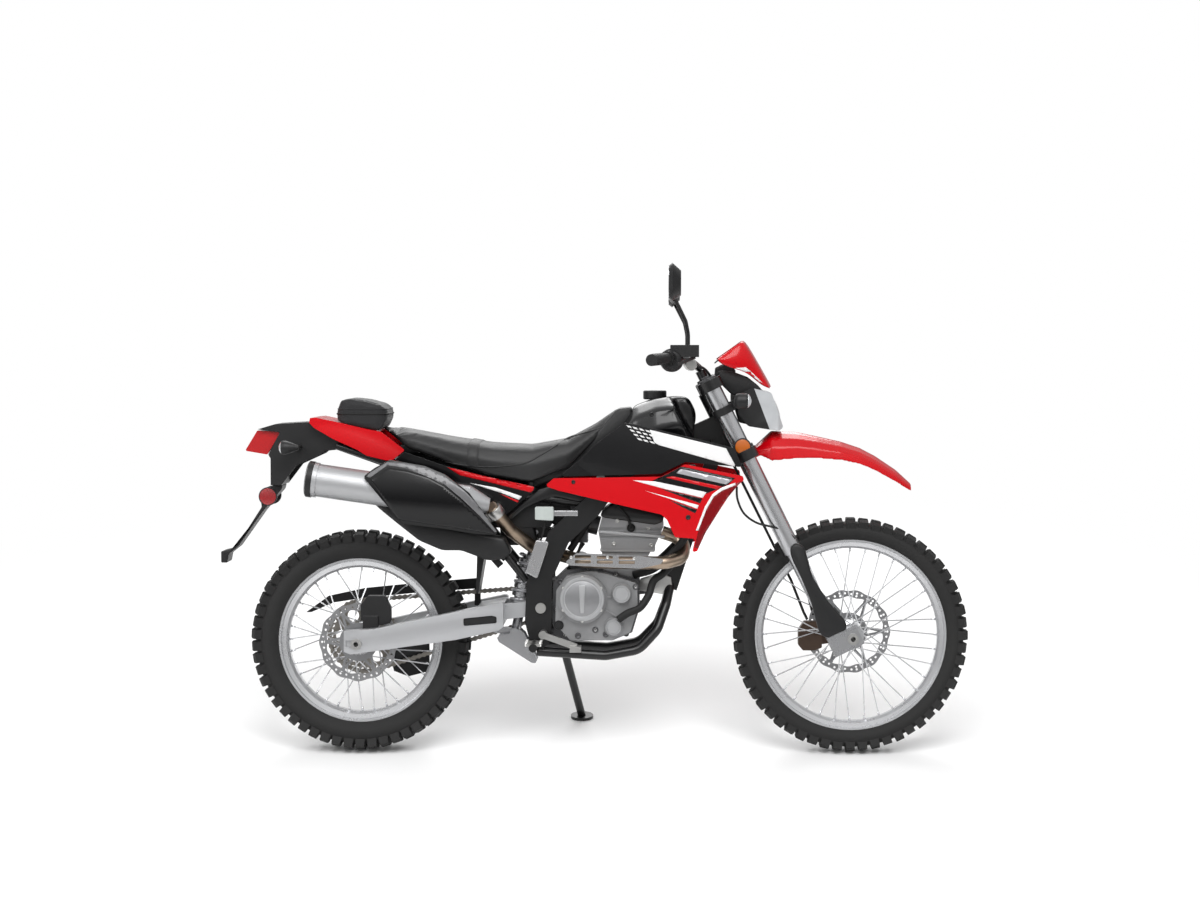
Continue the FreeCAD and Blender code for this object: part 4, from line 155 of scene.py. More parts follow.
def blotchGroup():  # slow drift of colour and gloss, as on any handled surface
    group, start, end = newGroup("blotch", [
        ("Vector", "NodeSocketVector", None), ("Colour", "NodeSocketColor", (0.5, 0.5, 0.5, 1)),
        ("Aged", "NodeSocketColor", (0.4, 0.4, 0.4, 1)), ("Size", "NodeSocketFloat", 6.0),
        ("Amount", "NodeSocketFloat", 0.3), ("Gloss", "NodeSocketFloat", 0.3),
        ("Spread", "NodeSocketFloat", 0.1),
    ], [("Colour", "NodeSocketColor"), ("Roughness", "NodeSocketFloat")])
    field = noise(group, start.outputs["Vector"], start.outputs["Size"], 5.0, 0.6)
    factor = mathNode(group, "MULTIPLY", field, start.outputs["Amount"])
    group.links.new(mixColour(group, factor, start.outputs["Colour"], start.outputs["Aged"]),
                    end.inputs["Colour"])
    offset = mathNode(group, "MULTIPLY", mathNode(group, "SUBTRACT", field, 0.5), start.outputs["Spread"])
    group.links.new(mathNode(group, "ADD", offset, start.outputs["Gloss"]), end.inputs["Roughness"])
    return group


def grainGroup():  # fine moulded or cast grain
    group, start, end = newGroup("grain", [("Vector", "NodeSocketVector", None),
                                           ("Size", "NodeSocketFloat", 900.0)],
                                 [("Height", "NodeSocketFloat")])
    fine = noise(group, start.outputs["Vector"], start.outputs["Size"], 2.0, 0.6)
    coarse = noise(group, start.outputs["Vector"], mathNode(group, "MULTIPLY", start.outputs["Size"], 0.2),
                   2.0, 0.5)
    group.links.new(mathNode(group, "ADD", fine, coarse), end.inputs["Height"])
    return group


def brushGroup():  # long scratches of a brushed or drawn metal
    group, start, end = newGroup("brushed", [("Vector", "NodeSocketVector", None),
                                             ("Size", "NodeSocketFloat", 40.0)],
                                 [("Height", "NodeSocketFloat")])
    lines = noise(group, start.outputs["Vector"], start.outputs["Size"], 4.0, 0.7)
    group.links.new(lines, end.inputs["Height"])
    return group


shared = {"blotch": blotchGroup(), "grain": grainGroup(), "brushed": brushGroup()}


def placeGroup(tree, name, **values):
    node = tree.nodes.new("ShaderNodeGroup")
    node.node_tree = shared[name]
    for label, value in values.items():
        if isinstance(value, (int, float, tuple)):
            node.inputs[label].default_value = value
        else:
            tree.links.new(value, node.inputs[label])
    return node


def finish(name, colour, aged, gloss, spread, amount, size, grain, bump, metal=0.0, coat=0.0, brushed=None,
           sheen=0.0, specular=0.5):
    material = bpy.data.materials.new(name)
    material.use_nodes = True
    tree = material.node_tree
    shader = tree.nodes["Principled BSDF"]
    shader.inputs["Metallic"].default_value = metal
    shader.inputs["Coat Weight"].default_value = coat
    shader.inputs["Coat Roughness"].default_value = 0.06
    shader.inputs["Sheen Weight"].default_value = sheen
    shader.inputs["Specular IOR Level"].default_value = specular
    vector = tree.nodes.new("ShaderNodeTexCoord").outputs["Object"]
    blotch = placeGroup(tree, "blotch", Vector=vector, Colour=colour + (1,), Aged=aged + (1,), Size=size,
                        Amount=amount, Gloss=gloss, Spread=spread)
    tree.links.new(blotch.outputs["Colour"], shader.inputs["Base Color"])
    tree.links.new(blotch.outputs["Roughness"], shader.inputs["Roughness"])
    if brushed:
        height = placeGroup(tree, "brushed", Vector=stretched(tree, vector, brushed),
                            Size=grain).outputs["Height"]
    else:
        height = placeGroup(tree, "grain", Vector=vector, Size=grain).outputs["Height"]
    lift = tree.nodes.new("ShaderNodeBump")
    lift.inputs["Strength"].default_value = bump
    lift.inputs["Distance"].default_value = 0.001
    tree.links.new(height, lift.inputs["Height"])
    tree.links.new(lift.outputs["Normal"], shader.inputs["Normal"])
    return material


finishTable = {
    # colour, colour where aged, gloss, its spread, blotch amount and size, grain size, bump, and the rest
    "tyreRubber": ((0.010, 0.010, 0.0105), (0.024, 0.0235, 0.0225),
                   0.72, 0.2, 0.7, 9, 1100, 0.25, {"specular": 0.3}),
    "rimAlloy": ((0.60, 0.605, 0.62), (0.47, 0.475, 0.485), 0.27, 0.12, 0.5, 8, 700, 0.03, {"metal": 0.75}),
    "spokeSteel": ((0.72, 0.73, 0.75), (0.5, 0.5, 0.5), 0.26, 0.1, 0.5, 20, 700, 0.02, {"metal": 1.0}),
    "discSteel": ((0.36, 0.36, 0.37), (0.24, 0.24, 0.245), 0.3, 0.15, 0.6, 14, 500, 0.05, {"metal": 0.85}),
    "driveSteel": ((0.34, 0.32, 0.29), (0.12, 0.11, 0.1), 0.38, 0.2, 0.8, 40, 700, 0.08, {"metal": 1.0}),
    "armAlloy": ((0.46, 0.465, 0.48), (0.36, 0.365, 0.37),
                 0.34, 0.12, 0.5, 10, 60, 0.12, {"metal": 0.6, "brushed": (4.0, 30.0, 60.0)}),
    "zincSteel": ((0.55, 0.55, 0.54), (0.35, 0.34, 0.32), 0.33, 0.15, 0.6, 50, 900, 0.05, {"metal": 1.0}),
    "blackPlastic": ((0.006, 0.006, 0.0065), (0.014, 0.014, 0.0145),
                     0.46, 0.15, 0.5, 12, 1400, 0.12, {"specular": 0.35}),
    "framePaint": ((0.004, 0.004, 0.0045), (0.010, 0.010, 0.010),
                   0.33, 0.12, 0.5, 9, 500, 0.05, {"coat": 0.15, "specular": 0.4}),
    "glossBlack": ((0.0018, 0.0018, 0.002), (0.004, 0.004, 0.005),
                   0.2, 0.08, 0.5, 5, 300, 0.01, {"coat": 0.2, "specular": 0.25}),
    "tankBlack": ((0.003, 0.003, 0.0035), (0.006, 0.006, 0.007),
                  0.24, 0.08, 0.5, 5, 300, 0.01, {"coat": 0.3, "specular": 0.35}),
    "engineAlloy": ((0.30, 0.302, 0.308), (0.17, 0.17, 0.172),
                    0.42, 0.18, 0.7, 22, 900, 0.3, {"metal": 0.55}),
    "darkAlloy": ((0.10, 0.10, 0.105), (0.05, 0.05, 0.052), 0.42, 0.15, 0.7, 22, 900, 0.3, {"metal": 0.5}),
    "coverAlloy": ((0.44, 0.445, 0.455), (0.34, 0.34, 0.345),
                   0.34, 0.12, 0.5, 14, 1100, 0.12, {"metal": 0.6}),
    "discAlloy": ((0.27, 0.272, 0.28), (0.22, 0.222, 0.228),
                  0.3, 0.1, 0.5, 30, 70, 0.15, {"metal": 0.6, "brushed": (4.0, 4.0, 60.0)}),
    "caliperPaint": ((0.075, 0.045, 0.03), (0.03, 0.02, 0.015), 0.4, 0.15, 0.6, 30, 900, 0.2, {"metal": 0.4}),
    "headerSteel": ((0.50, 0.42, 0.33), (0.2, 0.13, 0.09), 0.32, 0.2, 0.9, 11, 500, 0.05, {"metal": 1.0}),
    "guardSteel": ((0.50, 0.50, 0.51), (0.38, 0.38, 0.385), 0.26, 0.12, 0.5, 14, 500, 0.04, {"metal": 0.8}),
    "mufflerAlloy": ((0.40, 0.405, 0.415), (0.32, 0.32, 0.325),
                     0.42, 0.12, 0.5, 6, 50, 0.2, {"metal": 0.65, "brushed": (60.0, 8.0, 8.0)}),
    "forkAlloy": ((0.5, 0.505, 0.52), (0.4, 0.4, 0.41),
                  0.27, 0.08, 0.5, 6, 60, 0.05, {"metal": 0.95, "brushed": (30.0, 30.0, 5.0)}),
    "radiatorBlack": ((0.007, 0.007, 0.007), (0.018, 0.018, 0.018),
                      0.5, 0.15, 0.5, 20, 240, 0.6, {"specular": 0.3}),
    "redPlastic": ((0.53, 0.0015, 0.0055), (0.46, 0.001, 0.005),
                   0.24, 0.08, 0.4, 4, 300, 0.01, {"coat": 0.25, "specular": 0.2}),
    "redDeep": ((0.19, 0.001, 0.0035), (0.14, 0.0008, 0.003),
                0.24, 0.08, 0.4, 4, 300, 0.01, {"coat": 0.3, "specular": 0.2}),
    "seatVinyl": ((0.012, 0.012, 0.0125), (0.02, 0.02, 0.0205),
                  0.5, 0.12, 0.5, 10, 650, 0.35, {"specular": 0.4}),
    "bagNylon": ((0.009, 0.009, 0.010), (0.018, 0.018, 0.0195),
                 0.68, 0.12, 0.5, 20, 900, 0.3, {"sheen": 0.15, "specular": 0.3}),
    "gripRubber": ((0.007, 0.007, 0.007), (0.016, 0.016, 0.016),
                   0.62, 0.12, 0.5, 20, 900, 0.3, {"specular": 0.3}),
    "lampRed": ((0.42, 0.01, 0.012), (0.3, 0.006, 0.008), 0.2, 0.05, 0.5, 12, 260, 0.15, {"coat": 0.25}),
    "lampAmber": ((0.50, 0.12, 0.008), (0.38, 0.08, 0.006), 0.14, 0.05, 0.5, 12, 260, 0.15, {"coat": 0.6}),
    "lampClear": ((0.50, 0.515, 0.53), (0.36, 0.37, 0.385), 0.08, 0.04, 0.6, 30, 200, 0.12, {"coat": 0.7}),
    "mirrorGlass": ((0.8, 0.82, 0.84), (0.78, 0.8, 0.82), 0.03, 0.02, 0.5, 4, 300, 0.0, {"metal": 1.0}),
    "stripeWhite": ((0.78, 0.78, 0.78), (0.7, 0.7, 0.7), 0.25, 0.06, 0.4, 6, 400, 0.01, {"coat": 0.5}),
    "relayShell": ((0.46, 0.50, 0.48), (0.30, 0.33, 0.32), 0.4, 0.12, 0.6, 60, 900, 0.1, {"specular": 0.4}),
    "stripeSilver": ((0.42, 0.42, 0.44), (0.34, 0.34, 0.36),
                     0.3, 0.06, 0.4, 6, 400, 0.02, {"metal": 0.5, "coat": 0.4}),
    # painted reflection: the grey of the band laid along the muffler cover's upper edge
    "stripeGrey": ((0.12, 0.12, 0.125), (0.09, 0.09, 0.095), 0.3, 0.06, 0.4, 6, 400, 0.02, {"coat": 0.4}),
    "reflectorRed": ((0.3, 0.012, 0.015), (0.2, 0.008, 0.01), 0.15, 0.05, 0.6, 60, 700, 0.4, {"coat": 0.8}),
}
finishes = {name: finish(name, *values[:-1], **values[-1]) for name, values in finishTable.items()}

nodeFinish = {
    "tyreRubber": ["rear_tyre", "front_tyre"],
    "rimAlloy": ["rear_rim", "front_rim"],
    "discSteel": ["rear_disc", "front_disc"],
    "driveSteel": ["rear_sprocket", "drive_chain"],
    "armAlloy": ["swingarm"],
    "zincSteel": ["rear_axle", "front_axle", "swingarm_pivot", "foot_controls"],
    "blackPlastic": ["chain_guard", "airbox", "fuel_cap", "rear_fender", "plate_holder", "fork_guards",
                     "hand_controls",
                     "mirrors", "instrument", "headlamp", "front_turn_signals", "rear_caliper"],
    "framePaint": ["main_frame", "rear_subframe", "side_stand", "foot_pegs", "triple_clamps", "handlebar"],
    "caliperPaint": ["front_caliper"],
    "forkAlloy": ["fork_tubes", "rear_shock"],
    "engineAlloy": ["clutch_cover", "cylinder", "cylinder_head", "generator_cover"],
    "darkAlloy": ["crankcase", "carburettor"],
    "guardSteel": ["header_guard", "rear_master_cylinder"],
    "radiatorBlack": ["radiators"],
    "headerSteel": ["exhaust_header"],
    "mufflerAlloy": ["muffler"],
    "glossBlack": ["muffler_cover", "side_covers"],
    "tankBlack": ["fuel_tank", "tank_panels"],
    "seatVinyl": ["seat"],
    "redPlastic": ["radiator_shrouds", "tail_panels", "headlamp_mask", "front_fender"],
    "lampRed": ["rear_lamps"],
    "bagNylon": ["tool_bag"],
    "gripRubber": ["grips", "brake_hose"],
}
for name, covered in nodeFinish.items():
    for node in covered:
        item = frame["nodes"][node]
        item.data.materials.clear()
        item.data.materials.append(finishes[name])
print("finishes on", sum(len(covered) for covered in nodeFinish.values()), "nodes")


# Stage, lights and camera

def stageAndLight():
    studio = {
        "floorSize": 60.0,
        "clearFrom": 1.7,             # metres from the machine where the floor starts to fade to plain white
        "clearTo": 3.2,
        "cameraPlace": (896.0, -7000.0, 1170.0),
        "cameraAim": (700.0, 0.0, 878.0),
        "lensMillimetres": 72.0,
        "worldLevel": 0.5,
        "glossLow": 0.2,              # what shiny sides reflect at eye level
        "glossHigh": 1.0,             # and what shiny tops reflect from above
        "lamps": [
            ((1200.0, -3800.0, 4200.0), 3.2, 190.0),
            ((-2600.0, -3000.0, 2600.0), 2.2, 70.0),
            ((600.0, 3200.0, 3600.0), 3.0, 110.0),
        ],
    }
    half = studio["floorSize"] / 2
    mesh = bpy.data.meshes.new("floor")
    mesh.from_pydata([(-half, -half, 0), (half, -half, 0), (half, half, 0), (-half, half, 0)], [],
                     [(0, 1, 2, 3)])
    floor = bpy.data.objects.new("floor", mesh)
    bpy.context.collection.objects.link(floor)
    paper = bpy.data.materials.new("paleFloor")
    paper.use_nodes = True
    tree = paper.node_tree
    shader = tree.nodes["Principled BSDF"]
    shader.inputs["Base Color"].default_value = (0.93, 0.93, 0.93, 1)
    shader.inputs["Roughness"].default_value = 0.9
    shader.inputs["Specular IOR Level"].default_value = 0.1
    white = tree.nodes.new("ShaderNodeEmission")
    white.inputs["Color"].default_value = (1, 1, 1, 1)
    far = tree.nodes.new("ShaderNodeVectorMath")
    far.operation = "LENGTH"
    tree.links.new(tree.nodes.new("ShaderNodeTexCoord").outputs["Object"], far.inputs[0])
    fade = tree.nodes.new("ShaderNodeMapRange")
    fade.interpolation_type = "SMOOTHERSTEP"
    fade.inputs["From Min"].default_value = studio["clearFrom"]
    fade.inputs["From Max"].default_value = studio["clearTo"]
    tree.links.new(far.outputs["Value"], fade.inputs["Value"])
    rays = tree.nodes.new("ShaderNodeLightPath")
    share = mathNode(tree, "MULTIPLY", fade.outputs["Result"], rays.outputs["Is Camera Ray"])
    mixed = tree.nodes.new("ShaderNodeMixShader")
    tree.links.new(share, mixed.inputs["Fac"])
    tree.links.new(shader.outputs["BSDF"], mixed.inputs[1])
    tree.links.new(white.outputs["Emission"], mixed.inputs[2])
    tree.links.new(mixed.outputs["Shader"], tree.nodes["Material Output"].inputs["Surface"])
    mesh.materials.append(paper)
    world = bpy.data.worlds.new("studio")
    scene.world = world
    world.use_nodes = True
    tree = world.node_tree
    back = tree.nodes["Background"]
    back.inputs["Color"].default_value = (1, 1, 1, 1)
    rays = tree.nodes.new("ShaderNodeLightPath")
    seen = mathNode(tree, "MULTIPLY", rays.outputs["Is Camera Ray"], 1.0 - studio["worldLevel"])
    up = tree.nodes.new("ShaderNodeSeparateXYZ")
    tree.links.new(tree.nodes.new("ShaderNodeTexCoord").outputs["Generated"], up.inputs[0])
    sky = tree.nodes.new("ShaderNodeMapRange")
    sky.interpolation_type = "SMOOTHSTEP"
    sky.inputs["From Min"].default_value = -0.05
    sky.inputs["From Max"].default_value = 0.6
    sky.inputs["To Min"].default_value = studio["glossLow"] - studio["worldLevel"]
    sky.inputs["To Max"].default_value = studio["glossHigh"] - studio["worldLevel"]
    tree.links.new(up.outputs["Z"], sky.inputs["Value"])
    shine = mathNode(tree, "MULTIPLY", rays.outputs["Is Glossy Ray"], sky.outputs["Result"])
    level = mathNode(tree, "ADD", seen, shine)
    tree.links.new(mathNode(tree, "ADD", level, studio["worldLevel"]), back.inputs["Strength"])
    for spot, width, power in studio["lamps"]:
        light = bpy.data.lights.new("softbox", "AREA")
        light.size = width
        light.energy = power
        lamp = bpy.data.objects.new("softbox", light)
        bpy.context.collection.objects.link(lamp)
        lamp.location = place(*spot)
        lamp.rotation_euler = (place(600, 0, 600) - lamp.location).to_track_quat("-Z", "Y").to_euler()
    camera = bpy.data.objects.new("camera", bpy.data.cameras.new("camera"))
    bpy.context.collection.objects.link(camera)
    camera.data.lens = studio["lensMillimetres"]
    spot = place(*studio["cameraPlace"])
    ahead = (place(*studio["cameraAim"]) - spot).normalized()
    side = ahead.cross(direction(0, 0, 1)).normalized()
    up = side.cross(ahead)
    camera.matrix_world = Matrix.Translation(spot) @ Matrix((side, up, -ahead)).transposed().to_4x4()
    camera.data.clip_end = 200
    scene.camera = camera
    scene.view_settings.view_transform = "Standard"


stageAndLight()
print("stage, lights and camera set")


# Helpers that build the meshes of the dressed machine

def addShape(name, build, materials, smooth=True):
    mesh = bpy.data.meshes.new(name)
    build.to_mesh(mesh)
    build.free()
    for material in materials:
        mesh.materials.append(finishes[material])
    mesh.polygons.foreach_set("use_smooth", [smooth] * len(mesh.polygons))
    item = bpy.data.objects.new(name, mesh)
    bpy.context.collection.objects.link(item)
    return item


def evaluated(item):  # modifiers turned into plain mesh, and dropped
    graph = bpy.context.evaluated_depsgraph_get()
    mesh = bpy.data.meshes.new_from_object(item.evaluated_get(graph), depsgraph=graph)
    item.modifiers.clear()
    item.data = mesh
    return item


def surfaceOf(items):
    points = []
    faces = []
    for item in items:
        base = len(points)
        points += [item.matrix_world @ vertex.co for vertex in item.data.vertices]
        faces += [[base + index for index in face.vertices] for face in item.data.polygons]
    return BVHTree.FromPolygons(points, faces)


def tubeAlong(points, radius, around=12):
    build = bmesh.new()
    rings = []
    normal = Vector((0.31, 0.87, 0.38))
    for index, point in enumerate(points):
        ahead = points[min(index + 1, len(points) - 1)] - points[max(index - 1, 0)]
        ahead.normalize()
        normal = (normal - ahead * normal.dot(ahead)).normalized()
        side = ahead.cross(normal)
        rings.append([build.verts.new(point + normal * (radius * math.cos(2 * math.pi * turn / around))
                                      + side * (radius * math.sin(2 * math.pi * turn / around)))
                                      for turn in range(around)])
    for first, second in zip(rings, rings[1:]):
        for turn in range(around):
            build.faces.new((first[turn], first[(turn + 1) % around], second[(turn + 1) % around],
                             second[turn]))
    build.faces.new(rings[0])
    build.faces.new(list(reversed(rings[-1])))
    bmesh.ops.recalc_face_normals(build, faces=build.faces)
    return build


def eased(points, steps=8):  # a smooth curve through its points
    route = []
    count = len(points)
    for index in range(count - 1):
        before = points[max(index - 1, 0)]
        start = points[index]
        end = points[index + 1]
        after = points[min(index + 2, count - 1)]
        for step in range(steps):
            t = step / steps
            route.append(0.5 * ((2 * start) + (end - before) * t
                                + (2 * before - 5 * start + 4 * end - after) * t * t
                                + (3 * start - before - 3 * end + after) * t * t * t))
    route.append(points[-1])
    return route


# Geometry Nodes trees for what repeats

def newTree(name, inputs):
    tree = bpy.data.node_groups.new(name, "GeometryNodeTree")
    tree.interface.new_socket("Geometry", in_out="INPUT", socket_type="NodeSocketGeometry")
    for label, kind in inputs:
        tree.interface.new_socket(label, in_out="INPUT", socket_type=kind)
    tree.interface.new_socket("Geometry", in_out="OUTPUT", socket_type="NodeSocketGeometry")
    return tree, tree.nodes.new("NodeGroupInput"), tree.nodes.new("NodeGroupOutput")


def runTree(item, tree, values):
    modifier = item.modifiers.new(tree.name, "NODES")
    modifier.node_group = tree
    for socket in tree.interface.items_tree:
        if socket.item_type == "SOCKET" and socket.in_out == "INPUT" and socket.name in values:
            modifier[socket.identifier] = values[socket.name]
    bpy.context.view_layer.update()
    return evaluated(item)


def closeTree(tree, start, end, geometry):
    real = tree.nodes.new("GeometryNodeRealizeInstances")
    weld = tree.nodes.new("GeometryNodeMergeByDistance")
    paint = tree.nodes.new("GeometryNodeSetMaterial")
    tree.links.new(geometry, real.inputs[0])
    tree.links.new(real.outputs[0], weld.inputs["Geometry"])
    tree.links.new(start.outputs["Weld"], weld.inputs["Distance"])
    tree.links.new(weld.outputs[0], paint.inputs["Geometry"])
    tree.links.new(start.outputs["Finish"], paint.inputs["Material"])
    tree.links.new(paint.outputs[0], end.inputs[0])


def ringTree():  # one slice of a wheel, repeated round its own Y axis
    tree, start, end = newTree("repeatRound", [("Count", "NodeSocketInt"), ("Step", "NodeSocketFloat"),
                                               ("Weld", "NodeSocketFloat"), ("Finish", "NodeSocketMaterial")])
    line = tree.nodes.new("GeometryNodeMeshLine")
    line.inputs["Offset"].default_value = (0, 0, 0)
    copies = tree.nodes.new("GeometryNodeInstanceOnPoints")
    index = tree.nodes.new("GeometryNodeInputIndex")
    turn = mathNode(tree, "MULTIPLY", index.outputs[0], start.outputs["Step"])
    angles = tree.nodes.new("ShaderNodeCombineXYZ")
    spin = tree.nodes.new("GeometryNodeRotateInstances")
    tree.links.new(start.outputs["Count"], line.inputs["Count"])
    tree.links.new(line.outputs[0], copies.inputs["Points"])
    tree.links.new(start.outputs["Geometry"], copies.inputs["Instance"])
    tree.links.new(turn, angles.inputs["Y"])
    tree.links.new(copies.outputs[0], spin.inputs["Instances"])
    tree.links.new(angles.outputs[0], spin.inputs["Rotation"])
    closeTree(tree, start, end, spin.outputs[0])
    return tree


def pointTree():  # a unit on each point, its Z along the point's aim
    tree, start, end = newTree("repeatOnPoints", [("Unit", "NodeSocketObject"), ("Weld", "NodeSocketFloat"),
                                                  ("Finish", "NodeSocketMaterial")])
    unit = tree.nodes.new("GeometryNodeObjectInfo")
    copies = tree.nodes.new("GeometryNodeInstanceOnPoints")
    aim = tree.nodes.new("GeometryNodeInputNamedAttribute")
    aim.data_type = "FLOAT_VECTOR"
    aim.inputs["Name"].default_value = "aim"
    girth = tree.nodes.new("GeometryNodeInputNamedAttribute")
    girth.data_type = "FLOAT"
    girth.inputs["Name"].default_value = "girth"
    turn = tree.nodes.new("FunctionNodeAlignRotationToVector")
    turn.axis = "Z"
    tree.links.new(start.outputs["Unit"], unit.inputs["Object"])
    tree.links.new(start.outputs["Geometry"], copies.inputs["Points"])
    tree.links.new(unit.outputs["Geometry"], copies.inputs["Instance"])
    tree.links.new(aim.outputs[0], turn.inputs["Vector"])
    tree.links.new(turn.outputs[0], copies.inputs["Rotation"])
    tree.links.new(girth.outputs[0], copies.inputs["Scale"])
    closeTree(tree, start, end, copies.outputs[0])
    return tree


def chainTree():  # a unit on each of an even number of places along a loop
    tree, start, end = newTree("repeatAlong", [("Unit", "NodeSocketObject"), ("Count", "NodeSocketInt"),
                                               ("Weld", "NodeSocketFloat"), ("Finish", "NodeSocketMaterial")])
    unit = tree.nodes.new("GeometryNodeObjectInfo")
    route = tree.nodes.new("GeometryNodeMeshToCurve")
    places = tree.nodes.new("GeometryNodeResampleCurve")
    tangent = tree.nodes.new("GeometryNodeInputTangent")
    turn = tree.nodes.new("FunctionNodeAlignRotationToVector")
    turn.axis = "X"
    turn.pivot_axis = "Y"
    copies = tree.nodes.new("GeometryNodeInstanceOnPoints")
    tree.links.new(start.outputs["Unit"], unit.inputs["Object"])
    tree.links.new(start.outputs["Geometry"], route.inputs[0])
    tree.links.new(route.outputs[0], places.inputs["Curve"])
    tree.links.new(start.outputs["Count"], places.inputs["Count"])
    tree.links.new(places.outputs[0], copies.inputs["Points"])
    tree.links.new(unit.outputs["Geometry"], copies.inputs["Instance"])
    tree.links.new(tangent.outputs[0], turn.inputs["Vector"])
    tree.links.new(turn.outputs[0], copies.inputs["Rotation"])
    closeTree(tree, start, end, copies.outputs[0])
    return tree


trees = {"ring": ringTree(), "points": pointTree(), "along": chainTree()}


def repeatRound(item, count, finishName, weld=0.02):
    return runTree(item, trees["ring"], {"Count": count, "Step": 2 * math.pi / count, "Weld": weld,
                                         "Finish": finishes[finishName]})


def repeatOnPoints(name, spots, unit, finishName):
    mesh = bpy.data.meshes.new(name)
    mesh.from_pydata([tuple(point) for point, aim, girth in spots], [], [])
    mesh.attributes.new("aim", "FLOAT_VECTOR", "POINT")
    mesh.attributes.new("girth", "FLOAT", "POINT")
    for index, (point, aim, girth) in enumerate(spots):
        mesh.attributes["aim"].data[index].vector = aim
        mesh.attributes["girth"].data[index].value = girth
    item = bpy.data.objects.new(name, mesh)
    bpy.context.collection.objects.link(item)
    runTree(item, trees["points"], {"Unit": unit, "Weld": 0.000001, "Finish": finishes[finishName]})
    bpy.data.objects.remove(unit)
    return item


def hubFrame(x, z):
    return machineFrame @ Matrix.Translation((x, 0, z))


# Tyres: a smooth carcass with its rows of chamfered knobs

def dressTyre(node, body, x, z, tyre):
    repeats = tyre["repeats"]
    step = 2 * math.pi / repeats
    slices = 4
    base = tyre["radius"] - tyre["knobHeight"]
    seat = tyre["rim"] + 0.4
    half = tyre["half"]
    profile = [Vector((0.0, -0.60)), Vector((0.10, -0.70)), Vector((0.30, -0.84)), Vector((0.50, -0.88)),
               Vector((0.72, -0.80)),
               Vector((0.90, -0.60)), Vector((0.98, -0.34)), Vector((1.0, 0.0))]
    curve = eased(profile, 3)
    side = [(seat + point.x * (base - seat), point.y * half) for point in curve]
    section = side + [(r, -y) for r, y in reversed(side[:-1])]
    build = bmesh.new()
    rings = []
    for slice in range(slices + 1):
        angle = -math.pi / 2 - step / 4 + step * slice / slices
        rings.append([build.verts.new((r * math.cos(angle), y, r * math.sin(angle))) for r, y in section])
    for first, second in zip(rings, rings[1:]):
        for index in range(len(section)):
            after = (index + 1) % len(section)
            build.faces.new((first[index], second[index], second[after], first[after]))

    def knob(angle, outline, lean):  # outline of radius and Y shares, foot first
        corners = []
        for sign in (-1, 1):
            for corner, (r, y) in enumerate(outline):
                width = tyre["knobWidth"] / 2 * (1.0 if corner in (1, 2) else 1.12)
                turn = angle + (sign * width + lean * abs(y) / half) / r
                corners.append(build.verts.new((r * math.cos(turn), y, r * math.sin(turn))))
        count = len(outline)
        sides = [build.faces.new(list(reversed(corners[:count]))), build.faces.new(corners[count:])]
        for index in range(count):
            after = (index + 1) % count
            sides.append(build.faces.new((corners[index], corners[after], corners[count + after],
                                          corners[count + index])))
        top = [edge for face in sides for edge in face.edges
               if all(vertex.co.xz.length > base + 2 for vertex in edge.verts)]
        bmesh.ops.bevel(build, geom=list(set(top)), offset=1.4, segments=2, affect="EDGES", profile=0.6)

    foot = base - 4
    top = tyre["radius"]
    wide = -math.pi / 2
    for sign in (-1, 1):
        knob(wide, [(foot, sign * 2), (top, sign * 2.5), (top, sign * tyre["treadHalf"]),
                    (foot, sign * (tyre["treadHalf"] + 1.5))], 0)
        shoulder = [(foot + a * (top - foot), sign * b * half)
                    for a, b in ((0.0, 0.40), (0.82, 0.60), (0.36, 1.0), (-1.0, 0.80))]
        knob(wide + step / 2, shoulder, 0)
        lug = [(foot + a * (top - foot), sign * b * half)
               for a, b in ((0.0, 0.56), (0.72, 0.74), (0.16, 1.0), (-1.0, 0.84))]
        knob(wide, lug, 0)
    centre = [(foot, -0.20 * half), (top, -0.18 * half), (top, 0.18 * half), (foot, 0.20 * half)]
    knob(wide + step / 2, centre, 0)
    for sign in (-1, 1):  # small tie bars between the knobs, as moulded
        rib = [(base - 3, sign * 0.20 * half), (base + 3, sign * 0.24 * half), (base + 3, sign * 0.40 * half),
               (base - 3, sign * 0.44 * half)]
        corners = []
        for turn in (wide + step / 2 - 2.5 / base, wide + step / 2 + 2.5 / base):
            corners.append([build.verts.new((r * math.cos(turn), y, r * math.sin(turn))) for r, y in rib])
        build.faces.new(corners[0])
        build.faces.new(list(reversed(corners[1])))
        for index in range(4):
            after = (index + 1) % 4
            build.faces.new((corners[0][index], corners[0][after], corners[1][after], corners[1][index]))
    bmesh.ops.recalc_face_normals(build, faces=build.faces)
    item = addShape(node + "_tread", build, ["tyreRubber"], smooth=False)
    repeatRound(item, repeats, "tyreRubber", 0.01)
    item.data.transform(hubFrame(x, z))
    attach(item, body)
    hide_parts(node)
    return item


rearWheel = {"repeats": 27, "radius": 322.0, "knobHeight": 13.0, "half": 58.0, "rim": 240.0,
             "knobWidth": 25.0, "treadHalf": 24.0}
frontWheel = {"repeats": 28, "radius": 341.0, "knobHeight": 11.0, "half": 42.0, "rim": 278.0,
              "knobWidth": 25.0, "treadHalf": 24.0}
dressTyre("rear_tyre", "rear_wheel", 0, machine["rearRadius"], rearWheel)
dressTyre("front_tyre", "front_wheel", machine["wheelbase"], machine["frontRadius"], frontWheel)
print("tyres dressed")


# Brake discs: a waved band with drilled holes, carried by spokes with buttons

